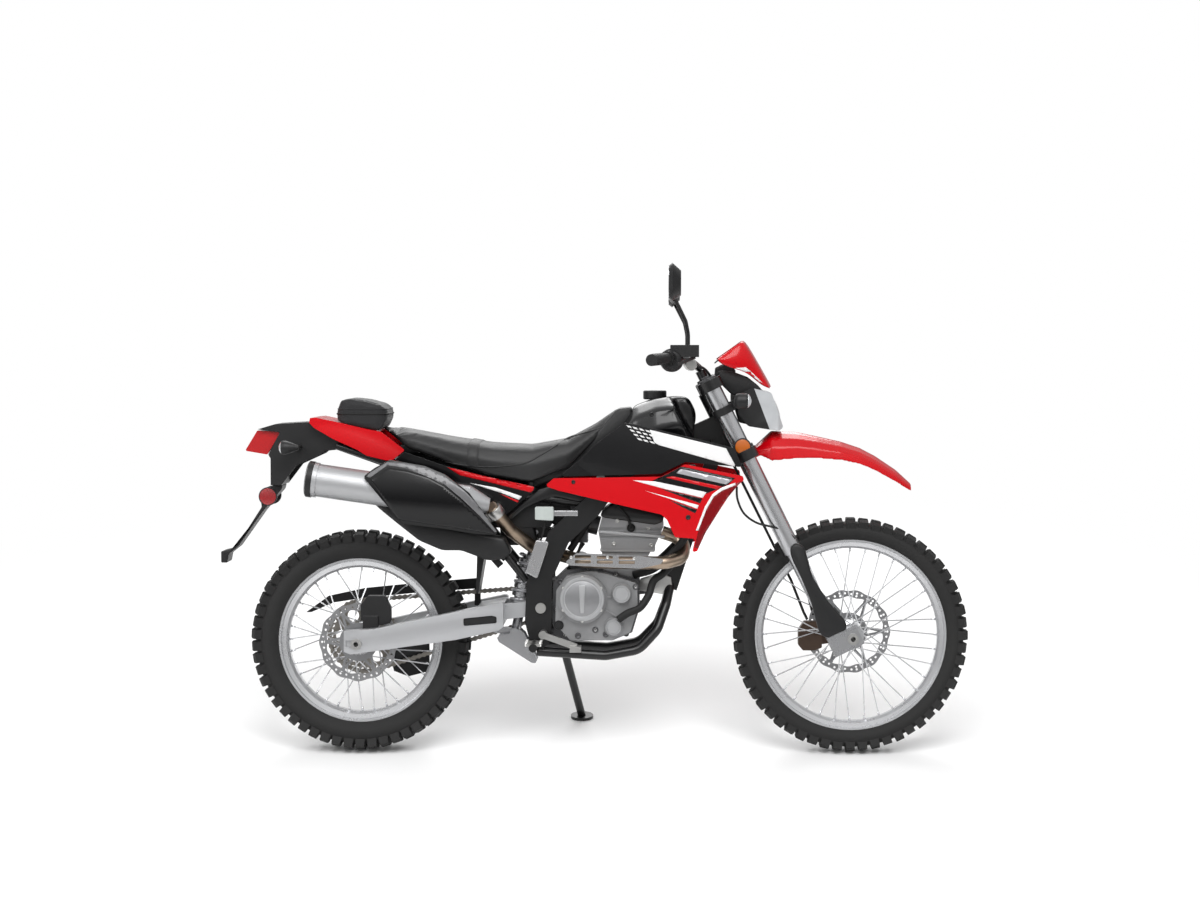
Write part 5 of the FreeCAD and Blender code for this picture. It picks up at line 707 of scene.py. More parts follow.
def addBand(build, inner, outer, thick, lobes, depth, count):
    loops = []
    for turn in range(count):
        angle = 2 * math.pi * turn / count
        wave = depth * (0.5 - 0.5 * math.cos(lobes * angle))
        corners = ((outer - wave, -thick / 2), (outer - wave, thick / 2), (inner + wave, thick / 2),
                   (inner + wave, -thick / 2))
        loops.append([build.verts.new((r * math.cos(angle), y, r * math.sin(angle))) for r, y in corners])
    for turn in range(count):
        first = loops[turn]
        second = loops[(turn + 1) % count]
        for index in range(4):
            after = (index + 1) % 4
            build.faces.new((first[index], first[after], second[after], second[index]))


def dressDisc(node, body, x, z, disc):
    outer = disc["radius"]
    build = bmesh.new()
    addBand(build, outer - disc["band"], outer, disc["thick"], disc["lobes"], disc["wave"],
            disc["lobes"] * 12)
    bmesh.ops.recalc_face_normals(build, faces=build.faces)
    ring = addShape(node + "_band", build, ["discSteel"])
    build = bmesh.new()
    for lobe in range(disc["lobes"]):
        for share, aside in ((0.24, 0.0), (0.5, 0.32), (0.76, 0.0), (0.36, -0.30)):
            angle = 2 * math.pi * (lobe + aside) / disc["lobes"]
            r = outer - disc["wave"] - 1 - share * (disc["band"] - disc["wave"] - 4)
            matrix = (Matrix.Rotation(-angle, 4, "Y") @ Matrix.Translation((r, 0, 0))
                      @ Matrix.Rotation(math.pi / 2, 4, "X"))
            bmesh.ops.create_cone(build, cap_ends=True, segments=12, radius1=disc["hole"],
                                  radius2=disc["hole"], depth=12,
                                  matrix=matrix)
    drill = addShape("drill", build, ["discSteel"])
    holes = ring.modifiers.new("holes", "BOOLEAN")
    holes.object = drill
    holes.solver = "EXACT"
    evaluated(ring)
    bpy.data.objects.remove(drill)
    ring.data.set_sharp_from_angle(angle=math.radians(30))
    build = bmesh.new()
    addBand(build, disc["seat"] - 10, disc["seat"] + 6, disc["thick"] - 0.6, 1, 0.0, 72)
    for arm in range(disc["arms"]):
        angle = 2 * math.pi * arm / disc["arms"]
        for lean in (-0.24, 0.24):
            start = Vector((disc["seat"] * math.cos(angle + lean), 0, disc["seat"] * math.sin(angle + lean)))
            end = Vector(((outer - disc["band"] + 3) * math.cos(angle), 0,
                          (outer - disc["band"] + 3) * math.sin(angle)))
            middle = (start + end) / 2
            turn = math.atan2(end.z - start.z, end.x - start.x)
            matrix = (Matrix.Translation(middle) @ Matrix.Rotation(-turn, 4, "Y")
                      @ Matrix.Diagonal(((end - start).length, disc["thick"] - 0.8, 7, 1)))
            bmesh.ops.create_cube(build, size=1.0, matrix=matrix)
        matrix = (Matrix.Rotation(-angle, 4, "Y") @ Matrix.Translation((outer - disc["band"] + 1, 0, 0))
                  @ Matrix.Rotation(math.pi / 2, 4, "X"))
        bmesh.ops.create_cone(build, cap_ends=True, segments=20, radius1=6.5, radius2=6.5,
                              depth=disc["thick"] + 0.6, matrix=matrix)
    bmesh.ops.recalc_face_normals(build, faces=build.faces)
    carrier = addShape(node + "_carrier", build, ["discAlloy"], smooth=False)
    for item in (ring, carrier):
        item.data.transform(hubFrame(x, z) @ Matrix.Translation((0, disc["place"], 0)))
        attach(item, body)
    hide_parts(node)


rearDisc = {"radius": 115.0, "place": -76.0, "thick": 4.0, "band": 24.0, "lobes": 12, "wave": 4.0,
            "hole": 3.4, "seat": 50.0, "arms": 6}
frontDisc = {"radius": 124.0, "place": 64.0, "thick": 4.0, "band": 24.0, "lobes": 14, "wave": 4.0,
             "hole": 3.4, "seat": 50.0, "arms": 6}
dressDisc("rear_disc", "rear_wheel", 0, machine["rearRadius"], rearDisc)
dressDisc("front_disc", "front_wheel", machine["wheelbase"], machine["frontRadius"], frontDisc)
print("discs dressed")


# Chain: side plates and rollers along the same path as the CAD part's

def dressChain():
    chain = {"pitch": 15.875, "rearTeeth": 42, "frontTeeth": 14, "frontX": 604.0, "frontZ": 440.0,
             "middleY": 80.0,
             "plateHalf": 7.0, "plateThick": 1.8, "roller": 5.1}
    rearReach = chain["pitch"] / (2 * math.sin(math.pi / chain["rearTeeth"]))
    frontReach = chain["pitch"] / (2 * math.sin(math.pi / chain["frontTeeth"]))
    rise = chain["frontZ"] - machine["rearRadius"]
    slope = math.atan2(rise, chain["frontX"])
    wrap = math.acos((rearReach - frontReach) / math.hypot(chain["frontX"], rise))
    route = []
    for x, z, reach, first, last in ((0, machine["rearRadius"], rearReach, wrap, 2 * math.pi - wrap),
                                     (chain["frontX"], chain["frontZ"], frontReach, -wrap, wrap)):
        for index in range(41):
            angle = slope + first + (last - first) * index / 40
            route.append(Vector((x + reach * math.cos(angle), chain["middleY"], z + reach * math.sin(angle))))
    length = sum((b - a).length for a, b in zip(route, route[1:] + route[:1]))
    units = round(length / chain["pitch"] / 2)
    build = bmesh.new()
    pitch = length / units / 2

    def plate(middle, y, half):
        outline = []
        for index in range(9):
            angle = -math.pi / 2 + math.pi * index / 8
            outline.append((pitch / 2 + half * math.cos(angle), half * math.sin(angle)))
        outline += [(0, half * 0.62)]
        outline += [(-a, b) for a, b in reversed(outline[:9])]
        outline += [(0, -half * 0.62)]
        low = [build.verts.new((middle + a, y - chain["plateThick"] / 2, b)) for a, b in outline]
        high = [build.verts.new((middle + a, y + chain["plateThick"] / 2, b)) for a, b in outline]
        build.faces.new(low)
        build.faces.new(list(reversed(high)))
        for index in range(len(outline)):
            after = (index + 1) % len(outline)
            build.faces.new((low[index], high[index], high[after], low[after]))

    def pin(x, radius, half):
        rings = [[build.verts.new((x + radius * math.cos(2 * math.pi * turn / 12), y,
                                   radius * math.sin(2 * math.pi * turn / 12)))
                  for turn in range(12)] for y in (-half, half)]
        for turn in range(12):
            after = (turn + 1) % 12
            build.faces.new((rings[0][turn], rings[1][turn], rings[1][after], rings[0][after]))
        build.faces.new(rings[0])
        build.faces.new(list(reversed(rings[1])))

    for sign in (-1, 1):
        plate(-pitch / 2, sign * 5.2, chain["plateHalf"])
        plate(pitch / 2, sign * 7.4, chain["plateHalf"] - 0.4)
    for x in (0, -pitch):
        pin(x, chain["roller"], 4.0)
        pin(x, 2.6, 8.8)
    bmesh.ops.recalc_face_normals(build, faces=build.faces)
    unit = addShape("chainUnit", build, ["driveSteel"], smooth=False)
    mesh = bpy.data.meshes.new("chainRoute")
    mesh.from_pydata([tuple(point) for point in route],
                     [(index, (index + 1) % len(route)) for index in range(len(route))], [])
    item = bpy.data.objects.new("chain_links", mesh)
    bpy.context.collection.objects.link(item)
    runTree(item, trees["along"], {"Unit": unit, "Count": units, "Weld": 0.001,
                                   "Finish": finishes["driveSteel"]})
    bpy.data.objects.remove(unit)
    item.data.transform(machineFrame)
    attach(item, "chassis")
    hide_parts("drive_chain")


dressChain()
print("chain dressed")


# Rigid panels with the small round edges that moulding leaves

def crowned(build, crown):  # large faces divided, then bulged outwards round a middle, in the machine's axes
    back = machineFrame.inverted()
    for turn in range(10):
        longest = [edge for edge in build.edges if edge.calc_length() > crown["fine"] / 1000]
        if not longest:
            break
        bmesh.ops.subdivide_edges(build, edges=longest, cuts=1)
        bmesh.ops.triangulate(build, faces=[face for face in build.faces if len(face.verts) > 3])
    for vertex in build.verts:
        x, y, z = back @ vertex.co
        aside = (z - crown["z"] - crown["slope"] * (x - crown["x"])) / crown["tall"]
        spread = ((x - crown["x"]) / crown["long"]) ** 2 + aside ** 2
        if abs(y) > crown.get("outside", 0.0):
            y += math.copysign(crown["rise"] * max(0.0, 1 - spread), y)
        vertex.co = place(x, y, z)


def softened(node, width, flat=28.0):
    source = frame["nodes"][node]
    build = bmesh.new()
    build.from_mesh(source.data)
    build.transform(source.matrix_world)
    bmesh.ops.remove_doubles(build, verts=build.verts, dist=0.00002)
    bmesh.ops.dissolve_limit(build, angle_limit=math.radians(1.0), verts=build.verts, edges=build.edges)
    sharp = [edge for edge in build.edges
             if edge.is_manifold and edge.calc_face_angle(0) > math.radians(flat)]
    bmesh.ops.bevel(build, geom=sharp, offset=width / 1000, segments=3, affect="EDGES", profile=0.5,
                    clamp_overlap=True)
    bmesh.ops.triangulate(build, faces=[face for face in build.faces if len(face.verts) > 4])
    if node in crowns:
        crowned(build, crowns[node])
    item = addShape(node + "_moulded", build, [source.data.materials[0].name])
    weighted = item.modifiers.new("weighted", "WEIGHTED_NORMAL")
    weighted.keep_sharp = True
    item.data.set_sharp_from_angle(angle=math.radians(35))
    evaluated(item)
    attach(item, body_of(source)[0])
    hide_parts(node)
    return item


crowns = {
    "tank_panels": {"x": 860.0, "z": 880.0, "long": 300.0, "tall": 130.0, "rise": 9.0, "fine": 16.0,
                    "slope": -0.2},
    "side_covers": {"x": 360.0, "z": 740.0, "long": 240.0, "tall": 120.0, "rise": 6.0, "fine": 16.0,
                    "slope": -0.3},
    "muffler_cover": {"x": 280.0, "z": 720.0, "long": 230.0, "tall": 110.0, "rise": 7.0, "fine": 16.0,
                      "slope": -0.35},
    "radiator_shrouds": {"x": 900.0, "z": 740.0, "long": 360.0, "tall": 130.0, "rise": 6.0, "fine": 16.0,
                         "slope": -0.1},
    "swingarm": {"x": 200.0, "z": 362.0, "long": 330.0, "tall": 40.0, "rise": 4.0, "fine": 14.0,
                 "slope": 0.18, "outside": 100.0},
    "tail_panels": {"x": 20.0, "z": 880.0, "long": 150.0, "tall": 50.0, "rise": 6.0, "fine": 14.0,
                    "slope": -0.35},
}
moulded = {
    "rear_lamps": 2.0, "front_turn_signals": 2.0,
    "tank_panels": 2.0, "radiator_shrouds": 2.0, "side_covers": 1.8, "tail_panels": 1.8,
    "muffler_cover": 4.0, "headlamp": 6.0, "instrument": 4.0, "fuel_cap": 4.0, "crankcase": 4.0,
    "cylinder_head": 5.0,
    "airbox": 6.0, "mirrors": 5.0, "main_frame": 3.0, "triple_clamps": 3.0, "rear_fender": 1.5,
    "plate_holder": 3.0,
    "swingarm": 4.0, "clutch_cover": 4.0, "generator_cover": 4.0, "front_caliper": 4.0, "rear_caliper": 4.0,
    "rear_master_cylinder": 3.0, "foot_controls": 2.0, "hand_controls": 3.0,
}
for node, width in moulded.items():
    softened(node, width)


def evened(node, name, voxel, rounds):  # a node's shape without its flat facets
    source = frame["nodes"][node]
    mesh = source.data.copy()
    mesh.transform(source.matrix_world)
    item = bpy.data.objects.new(name, mesh)
    bpy.context.collection.objects.link(item)
    remesh = item.modifiers.new("even", "REMESH")
    remesh.mode = "VOXEL"
    remesh.voxel_size = voxel
    even = item.modifiers.new("ease", "SMOOTH")
    even.factor = 0.5
    even.iterations = rounds
    evaluated(item)
    return item


def clad(item, material):
    item.data.materials.clear()
    item.data.materials.append(material)
    item.data.polygons.foreach_set("use_smooth", [True] * len(item.data.polygons))


def rounded(node, voxel, rounds):  # a blown or cast shape
    source = frame["nodes"][node]
    item = evened(node, node + "_rounded", voxel, rounds)
    clad(item, source.data.materials[0])
    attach(item, body_of(source)[0])
    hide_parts(node)


def without(name, chosen):  # the faces that a test picks are left out
    item = bpy.data.objects[name]
    back = machineFrame.inverted()
    build = bmesh.new()
    build.from_mesh(item.data)
    gone = [face for face in build.faces if chosen(back @ face.calc_center_median())]
    bmesh.ops.delete(build, geom=gone, context="FACES")
    build.to_mesh(item.data)
    build.free()


def partly(name, finishName, chosen):  # another finish on the faces that a test picks, in the machine's axes
    item = bpy.data.objects[name]
    item.data.materials.append(finishes[finishName])
    back = machineFrame.inverted()
    for polygon in item.data.polygons:
        if chosen(back @ polygon.center):
            polygon.material_index = len(item.data.materials) - 1


rounded("fuel_tank", 0.006, 24)
rounded("front_fender", 0.003, 6)
partly("rear_lamps_moulded", "blackPlastic", lambda middle: abs(middle.y) > 62)
without("rear_lamps_moulded", lambda middle: abs(middle.y) > 126)
partly("rear_master_cylinder_moulded", "relayShell", lambda middle: middle.z > 660 and middle.x < 571)
print("panels moulded:", len(moulded))


# Seat and tool bag: covers blown up a little over their foam

def stuffed(node, finishName, soft):
    item = evened(node, node + "_cover", soft["voxel"], soft["ease"])
    rest = [vertex.co.copy() for vertex in item.data.vertices]
    pinned = item.vertex_groups.new(name="pinned")
    for index, point in enumerate(rest):
        normal = item.data.vertices[index].normal
        pinned.add([index], 1.0 if normal.z < -0.55 else 0.0, "REPLACE")
    cloth = item.modifiers.new("cloth", "CLOTH")
    cloth.settings.use_pressure = True
    cloth.settings.uniform_pressure_force = soft["pressure"]
    cloth.settings.vertex_group_mass = "pinned"
    cloth.settings.effector_weights.gravity = 0
    cloth.settings.quality = 6
    cloth.settings.tension_stiffness = soft["stiffness"]
    cloth.settings.compression_stiffness = soft["stiffness"]
    cloth.point_cache.frame_start = 1
    cloth.point_cache.frame_end = soft["frames"]
    for count in range(1, soft["frames"] + 1):
        scene.frame_set(count)
    evaluated(item)
    for vertex, start in zip(item.data.vertices, rest):
        shift = vertex.co - start
        if shift.length > soft["cap"]:
            vertex.co = start + shift.normalized() * soft["cap"]
    scene.frame_set(1)
    divide = item.modifiers.new("divide", "SUBSURF")
    divide.levels = 1
    divide.render_levels = 1
    evaluated(item)
    clad(item, finishes[finishName])
    item.vertex_groups.clear()
    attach(item, "chassis")
    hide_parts(node)


seatSoft = {"voxel": 0.006, "ease": 12, "pressure": 4.0, "stiffness": 12.0, "frames": 20, "cap": 0.004,
            "fill": 0.9}
bagSoft = {"voxel": 0.004, "ease": 3, "pressure": 4.0, "stiffness": 12.0, "frames": 20, "cap": 0.002,
           "fill": 0.7}
stuffed("seat", "seatVinyl", seatSoft)
stuffed("tool_bag", "bagNylon", bagSoft)
print("seat and tool bag covered")


# Coloured shapes laid on the panels, cut to their outlines and pressed onto the surface beneath

def inlay(name, outline, side, targets, finishName, lift=0.5, body="chassis", fine=12.0, fromY=420.0):
    surface = surfaceOf(targets)
    build = bmesh.new()
    corners = [build.verts.new((x, side * fromY, z)) for x, z in outline]
    build.faces.new(corners)
    bmesh.ops.triangulate(build, faces=build.faces)
    for turn in range(12):
        longest = [edge for edge in build.edges if edge.calc_length() > fine]
        if not longest:
            break
        bmesh.ops.subdivide_edges(build, edges=longest, cuts=1)
        bmesh.ops.triangulate(build, faces=[face for face in build.faces if len(face.verts) > 3])
    inward = direction(0, -side, 0)
    middle = sum((vertex.co for vertex in build.verts), Vector()) / len(build.verts)
    missed = []
    for vertex in build.verts:
        for step in range(20):  # a point past the panel's edge moves in until it lies on the panel
            hit, normal, index, distance = surface.ray_cast(place(*vertex.co.lerp(middle, 0.04 * step)),
                                                            inward)
            if hit is not None:
                break
        if hit is None:
            missed.append(vertex)
        else:
            vertex.co = hit - inward * (lift / 1000)
    bmesh.ops.delete(build, geom=missed, context="VERTS")
    bmesh.ops.recalc_face_normals(build, faces=build.faces)
    total = sum((face.normal * face.calc_area() for face in build.faces), Vector())
    if total.dot(inward) > 0:
        bmesh.ops.reverse_faces(build, faces=build.faces)
    grown = bmesh.ops.extrude_face_region(build, geom=build.faces[:], use_keep_orig=True)["geom"]
    bmesh.ops.translate(build, verts=[part for part in grown if isinstance(part, bmesh.types.BMVert)],
                        vec=inward * (1.5 * lift / 1000))
    bmesh.ops.recalc_face_normals(build, faces=build.faces)
    item = addShape(name, build, [finishName])
    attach(item, body)
    return item


def panelGraphics():
    # the slanted dashes that the white band starts with
    dashes = {"x": 779.0, "z": 956.0, "pitch": 18.0, "fall": 4.4, "lean": 10.0, "rowDrop": 12.0}
    graphics = [
        # name, finish, what it lies on, height over it, outline (x, z)
        ("white_band", "stripeWhite", ["tank_panels_moulded"], 0.5,
         [(846, 943), (1064, 890), (1093, 836), (1050, 849), (873, 899), (860, 906)]),
        ("black_insert", "glossBlack", ["radiator_shrouds_moulded"], 0.5,
         [(925, 832), (934, 840), (1089, 806), (1069, 787), (1028, 771), (1008, 762), (851, 796),
          (884, 801)]),
        ("black_slash", "glossBlack", ["radiator_shrouds_moulded"], 0.5,
         [(876, 776), (996, 748), (990, 734), (934, 754)]),
        ("black_wedge", "glossBlack", ["radiator_shrouds_moulded"], 0.5,
         [(901, 744), (981, 716), (976, 706), (939, 723)]),
        ("silver_stripe", "stripeSilver", ["radiator_shrouds_moulded", "black_insert"], 0.4,
         [(934, 832), (1082, 801), (1064, 788), (922, 820)]),
        ("red_stripe", "redPlastic", ["radiator_shrouds_moulded", "black_insert"], 0.4,
         [(892, 807), (912, 811), (1052, 782), (1036, 775)]),
        ("white_stripe", "stripeWhite", ["radiator_shrouds_moulded", "black_insert"], 0.5,
         [(798, 799), (862, 796), (1008, 766), (997, 750), (884, 776)]),
        ("low_stripe", "stripeWhite", ["radiator_shrouds_moulded", "black_slash", "black_wedge"], 0.4,
         [(833, 769), (986, 729), (982, 719), (906, 746)]),
        ("deep_wing", "redDeep", ["radiator_shrouds_moulded"], 0.4,
         [(1108, 798), (1053, 774), (1028, 754), (1007, 716), (985, 657), (974, 608), (984, 606), (1017, 669),
          (1059, 740),
          (1106, 784)]),
        ("edge_stripe", "stripeWhite", ["radiator_shrouds_moulded", "deep_wing"], 0.5,
         [(1090, 793), (1050, 779), (1025, 761), (1003, 724), (978, 657), (985, 657), (1008, 718),
          (1029, 754),
          (1053, 771), (1090, 786)]),
        ("cover_red", "redPlastic", ["side_covers_moulded"], 0.5,
         [(241, 847), (377, 819), (518, 774), (504, 760), (416, 782), (300, 810)]),
        ("cover_white", "stripeWhite", ["side_covers_moulded", "cover_red"], 0.4,
         [(327, 788), (405, 774), (478, 749), (470, 739), (416, 760)]),
        ("cover_edge", "redPlastic", ["side_covers_moulded", "cover_white"], 0.4,
         [(416, 757), (470, 736), (465, 731), (433, 747)]),
    ]
    for side, word in bothSides:
        for name, finishName, carriers, lift, outline in graphics:
            carrying = [bpy.data.objects[carrier if carrier.endswith("_moulded") else carrier + "_" + word]
                        for carrier in carriers]
            inlay(name + "_" + word, outline, side, carrying, finishName, lift)
        for row in range(4):
            for dash in range(4 if row < 2 else 3):
                x = dashes["x"] + dashes["pitch"] * dash + dashes["lean"] * row
                z = dashes["z"] - dashes["fall"] * dash - dashes["rowDrop"] * row
                outline = [(x, z), (x + 12, z - 3), (x + 17, z - 9), (x + 5, z - 6)]
                inlay("band_dash_%d_%d_%s" % (row, dash, word), outline, side,
                      [bpy.data.objects["tank_panels_moulded"]],
                      "stripeWhite", 0.5, fine=30.0)
    cover = [bpy.data.objects["muffler_cover_moulded"]]
    # painted reflection: a grey band laid along the glossy cover's upper edge, where the cover shows a light
    # reflection
    sheen = [(44, 811), (50, 820), (101, 852), (157, 848), (216, 835), (265, 813), (320, 775), (374, 721),
             (424, 650),
             (414, 645), (367, 700), (315, 750), (265, 791), (216, 817), (157, 835), (103, 843), (54, 808)]
    inlay("muffler_cover_band", sheen, -1, cover, "stripeGrey", 0.5)
    face = [(56, 802), (104, 838), (157, 831), (216, 813), (264, 787), (314, 746), (366, 696), (408, 647),
            (339, 658),
            (256, 671), (190, 681), (138, 688), (102, 736)]
    inlay("muffler_cover_face", face, -1, cover, "glossBlack", 0.5)


panelGraphics()
print("panel colours laid")


# Screws and bolt heads

def screwHead():
    build = bmesh.new()
    profile = [(0.0, 0.18), (0.42, 0.18), (0.50, 0.42), (0.78, 0.42), (0.92, 0.30), (1.0, 0.12), (1.0, -0.25)]
    rings = []
    for r, h in profile:
        rings.append([build.verts.new((r * math.cos(2 * math.pi * turn / 18),
                                       r * math.sin(2 * math.pi * turn / 18), h))
                      for turn in range(18)])
    for first, second in zip(rings, rings[1:]):
        for turn in range(18):
            after = (turn + 1) % 18
            build.faces.new((first[turn], second[turn], second[after], first[after]))
    bmesh.ops.remove_doubles(build, verts=build.verts, dist=0.001)
    build.faces.new([vertex for vertex in reversed(rings[-1]) if vertex.is_valid])
    bmesh.ops.recalc_face_normals(build, faces=build.faces)
    return addShape("screwUnit", build, ["zincSteel"])


def fasteners(name, spots, finishName, body):
    listed = []
    for spot, (a, b, c), radius in spots:
        if spot is None:
            continue
        x, y, z = spot
        listed.append((place(x, y, z), direction(a, b, c), radius / 1000))
    item = repeatOnPoints(name, listed, screwHead(), finishName)
    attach(item, body)


def onSurface(x, z, side, nodes, lift=0.0):
    surface = surfaceOf([bpy.data.objects[node] for node in nodes])
    start = place(x, side * 420.0, z)
    hit, normal, index, distance = surface.ray_cast(start, direction(0, -side, 0))
    if hit is None:
        print("no surface at", x, z, "on", nodes[0])
        return None
    back = machineFrame.inverted() @ hit
    return (back.x, back.y + side * lift, back.z)


clutchCentre = (653.0, 456.0)
engineCovers = ["clutch_cover_moulded", "generator_cover_moulded", "crankcase_moulded"]


def allFasteners():
    black = []
    silver = []
    for side in (-1, 1):
        out = (0, side, 0)
        black.append((onSurface(852, 985, side, ["tank_panels_moulded", "fuel_tank_rounded"]), out, 7.0))
        black.append((onSurface(956, 694, side, ["radiator_shrouds_moulded"]), out, 7.0))
        black.append((onSurface(628, 792, side, ["radiator_shrouds_moulded"]), out, 6.0))
        black.append((onSurface(334, 665, side, ["side_covers_moulded", "muffler_cover_moulded"]), out, 6.0))
        for x, z in ((690, 365), (600, 345), (575, 420), (588, 520), (668, 538), (748, 522), (806, 490),
                     (812, 425), (778, 350)):
            silver.append((onSurface(x, z, side, engineCovers), out, 5.5))
        for x, z in ((752, 676), (842, 655), (742, 610), (850, 606)):
            silver.append((onSurface(x, z, side, ["cylinder_head_moulded"]), out, 6.0))
    for angle in range(6):
        turn = math.pi / 6 + angle * math.pi / 3
        spot = (clutchCentre[0] + 63 * math.cos(turn), -149.5, clutchCentre[1] + 63 * math.sin(turn))
        silver.append((spot, (0, -1, 0), 4.5))
    fasteners("black_screws", black, "blackPlastic", "chassis")
    fasteners("silver_bolts", silver, "zincSteel", "chassis")


allFasteners()
print("fasteners set")


# Smaller forms

def moved(points):
    return [place(*point) for point in points]


def dome(name, centre, facing, upward, halves, bulge, depth, finishName, body, power=2.0):
    facing = direction(*facing)
    upward = direction(*upward)
    across = upward.cross(facing)
    middle = place(*centre)
    build = bmesh.new()
    rings = []
    around = 40
    for share, back in ((0.25, 0), (0.5, 0), (0.75, 0), (0.92, 0), (1.0, 0.0), (1.0, 1.0)):
        ring = []
        for index in range(around):
            turn = 2 * math.pi * index / around
            c = math.copysign(abs(math.cos(turn)) ** (2 / power), math.cos(turn))
            d = math.copysign(abs(math.sin(turn)) ** (2 / power), math.sin(turn))
            rise = bulge * (1 - share * share) - back * depth
            ring.append(build.verts.new(middle
                                        + (upward * (c * share * halves[0]) + across * (d * share * halves[1])
                                                  + facing * rise) / 1000))
        rings.append(ring)
    tip = build.verts.new(middle + facing * (bulge / 1000))
    for index in range(around):
        after = (index + 1) % around
        build.faces.new((tip, rings[0][index], rings[0][after]))
        for first, second in zip(rings, rings[1:]):
            build.faces.new((first[index], second[index], second[after], first[after]))
    build.faces.new(list(reversed(rings[-1])))
    bmesh.ops.recalc_face_normals(build, faces=build.faces)
    item = addShape(name, build, [finishName])
    item.data.set_sharp_from_angle(angle=math.radians(40))
    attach(item, body)
    return item


def turnedBody(name, centre, axis, profile, finishName, body, around=48):
    axis = direction(*axis)
    first = axis.orthogonal().normalized()
    second = axis.cross(first)
    middle = place(*centre)
    build = bmesh.new()
    rings = []
    for r, h in profile:
        rings.append([build.verts.new(middle + (first * (r * math.cos(2 * math.pi * turn / around))
                                                + second * (r * math.sin(2 * math.pi * turn / around))
                                                + axis * h) / 1000)
                      for turn in range(around)])
    for one, other in zip(rings, rings[1:]):
        for turn in range(around):
            after = (turn + 1) % around
            build.faces.new((one[turn], other[turn], other[after], one[after]))
    bmesh.ops.remove_doubles(build, verts=build.verts, dist=0.000001)
    gaps = [edge for edge in build.edges if edge.is_boundary]
    if gaps:
        bmesh.ops.holes_fill(build, edges=gaps, sides=around)
    bmesh.ops.recalc_face_normals(build, faces=build.faces)
    item = addShape(name, build, [finishName])
    item.data.set_sharp_from_angle(angle=math.radians(35))
    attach(item, body)
    return item


def prism(name, outline, low, high, edge, finishName, body="chassis"):
    build = bmesh.new()
    bottom = [build.verts.new(place(x, low, z)) for x, z in outline]
    top = [build.verts.new(place(x, high, z)) for x, z in outline]
    build.faces.new(bottom)
    build.faces.new(list(reversed(top)))
    for index in range(len(outline)):
        after = (index + 1) % len(outline)
        build.faces.new((bottom[index], top[index], top[after], bottom[after]))
    bmesh.ops.recalc_face_normals(build, faces=build.faces)
    bmesh.ops.bevel(build, geom=build.edges[:], offset=edge / 1000, segments=3, affect="EDGES", profile=0.5,
                    clamp_overlap=True)
    item = addShape(name, build, [finishName])
    item.data.set_sharp_from_angle(angle=math.radians(35))
    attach(item, body)
    return item


def pipe(name, points, radius, finishName, body="chassis", around=12):
    item = addShape(name, tubeAlong(eased(moved(points)), radius / 1000, around), [finishName])
    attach(item, body)
    return item


# Lamps, reflectors and mirror glass

def lampsAndGlass():
    lamp = {
        "lensCentre": (1211.0, 0.0, 998.0), "lensTilt": (-36.0, 0.0, 102.0), "lensHalves": (44.0, 50.0),
        "signalRadius": 19.0, "mirror": (899.6, 337.0, 1355.0),
        "frontSignal": (1126.0, 215.0, 1026.0), "rearSignal": (-210.0, 150.0, 890.0),
        "forkReflector": (1112.0, 127.0, 893.0), "plateReflector": (-268.0, 42.0, 743.0),
    }

    def lampAt(name, side, proud=0.0):  # its place on either side, and how far it stands out
        x, y, z = lamp[name]
        return x, side * (y + proud), z

    tilt = lamp["lensTilt"]
    facing = (tilt[2], 0, -tilt[0])
    x, y, z = lamp["lensCentre"]
    shift = Vector(facing).normalized()
    bullet = [(0, 0), (19, 0), (20.5, 3), (20, 12), (16, 26), (10, 40), (6, 50), (0, 52)]
    dome("headlamp_bezel", (x - shift.x * 2, 0, z - shift.z * 2), facing, tilt, (50, 57), 3, 12,
         "blackPlastic", "steering", 3.0)
    dome("headlamp_lens", (x + shift.x, 0, z + shift.z), facing, tilt, lamp["lensHalves"], 7, 4, "lampClear",
         "steering", 3.0)
    ahead, behind, upward = (1, 0, 0), (-1, 0, 0), (0, 0, 1)
    signal = (lamp["signalRadius"],) * 2
    for side, word in bothSides:
        out = (0, side, 0)
        dome("front_signal_lens_" + word, lampAt("frontSignal", side), ahead, upward, signal, 8, 12,
             "lampClear", "steering")
        rearSignal = lampAt("rearSignal", side)
        dome("rear_signal_lens_" + word, rearSignal, behind, upward, signal, 8, 12, "lampClear", "chassis")
        turnedBody("rear_signal_" + word, rearSignal, ahead, bullet, "blackPlastic", "chassis", 32)
        pipe("rear_signal_stalk_" + word, [(-176, side * 150, 890), (-172, side * 128, 889),
                                           (-168, side * 96, 888), (-168, side * 58, 888)], 6.5, "gripRubber")
        dome("mirror_glass_" + word, lampAt("mirror", side), behind, upward, (46, 53), 0.6, 2,
             "mirrorGlass", "steering", 4.0)
        dome("orange_reflector_base_" + word, lampAt("forkReflector", side), out, upward, (25, 25), 2, 10,
             "blackPlastic", "steering")
        dome("orange_reflector_" + word, lampAt("forkReflector", side, 2), out, upward, (21, 21), 2.5, 3,
             "lampAmber", "steering")
        dome("red_reflector_base_" + word, lampAt("plateReflector", side), out, upward, (27, 27), 1, 6,
             "blackPlastic", "chassis")
        dome("red_reflector_" + word, lampAt("plateReflector", side, 1.5), out, upward, (24, 24), 2.0, 2,
             "reflectorRed", "chassis")
    dome("dash_glass", (1043, 0, 1141), (-0.62, 0, 0.78), (0.78, 0, 0.62), (14, 34), 1, 3, "glossBlack",
         "steering", 4.0)


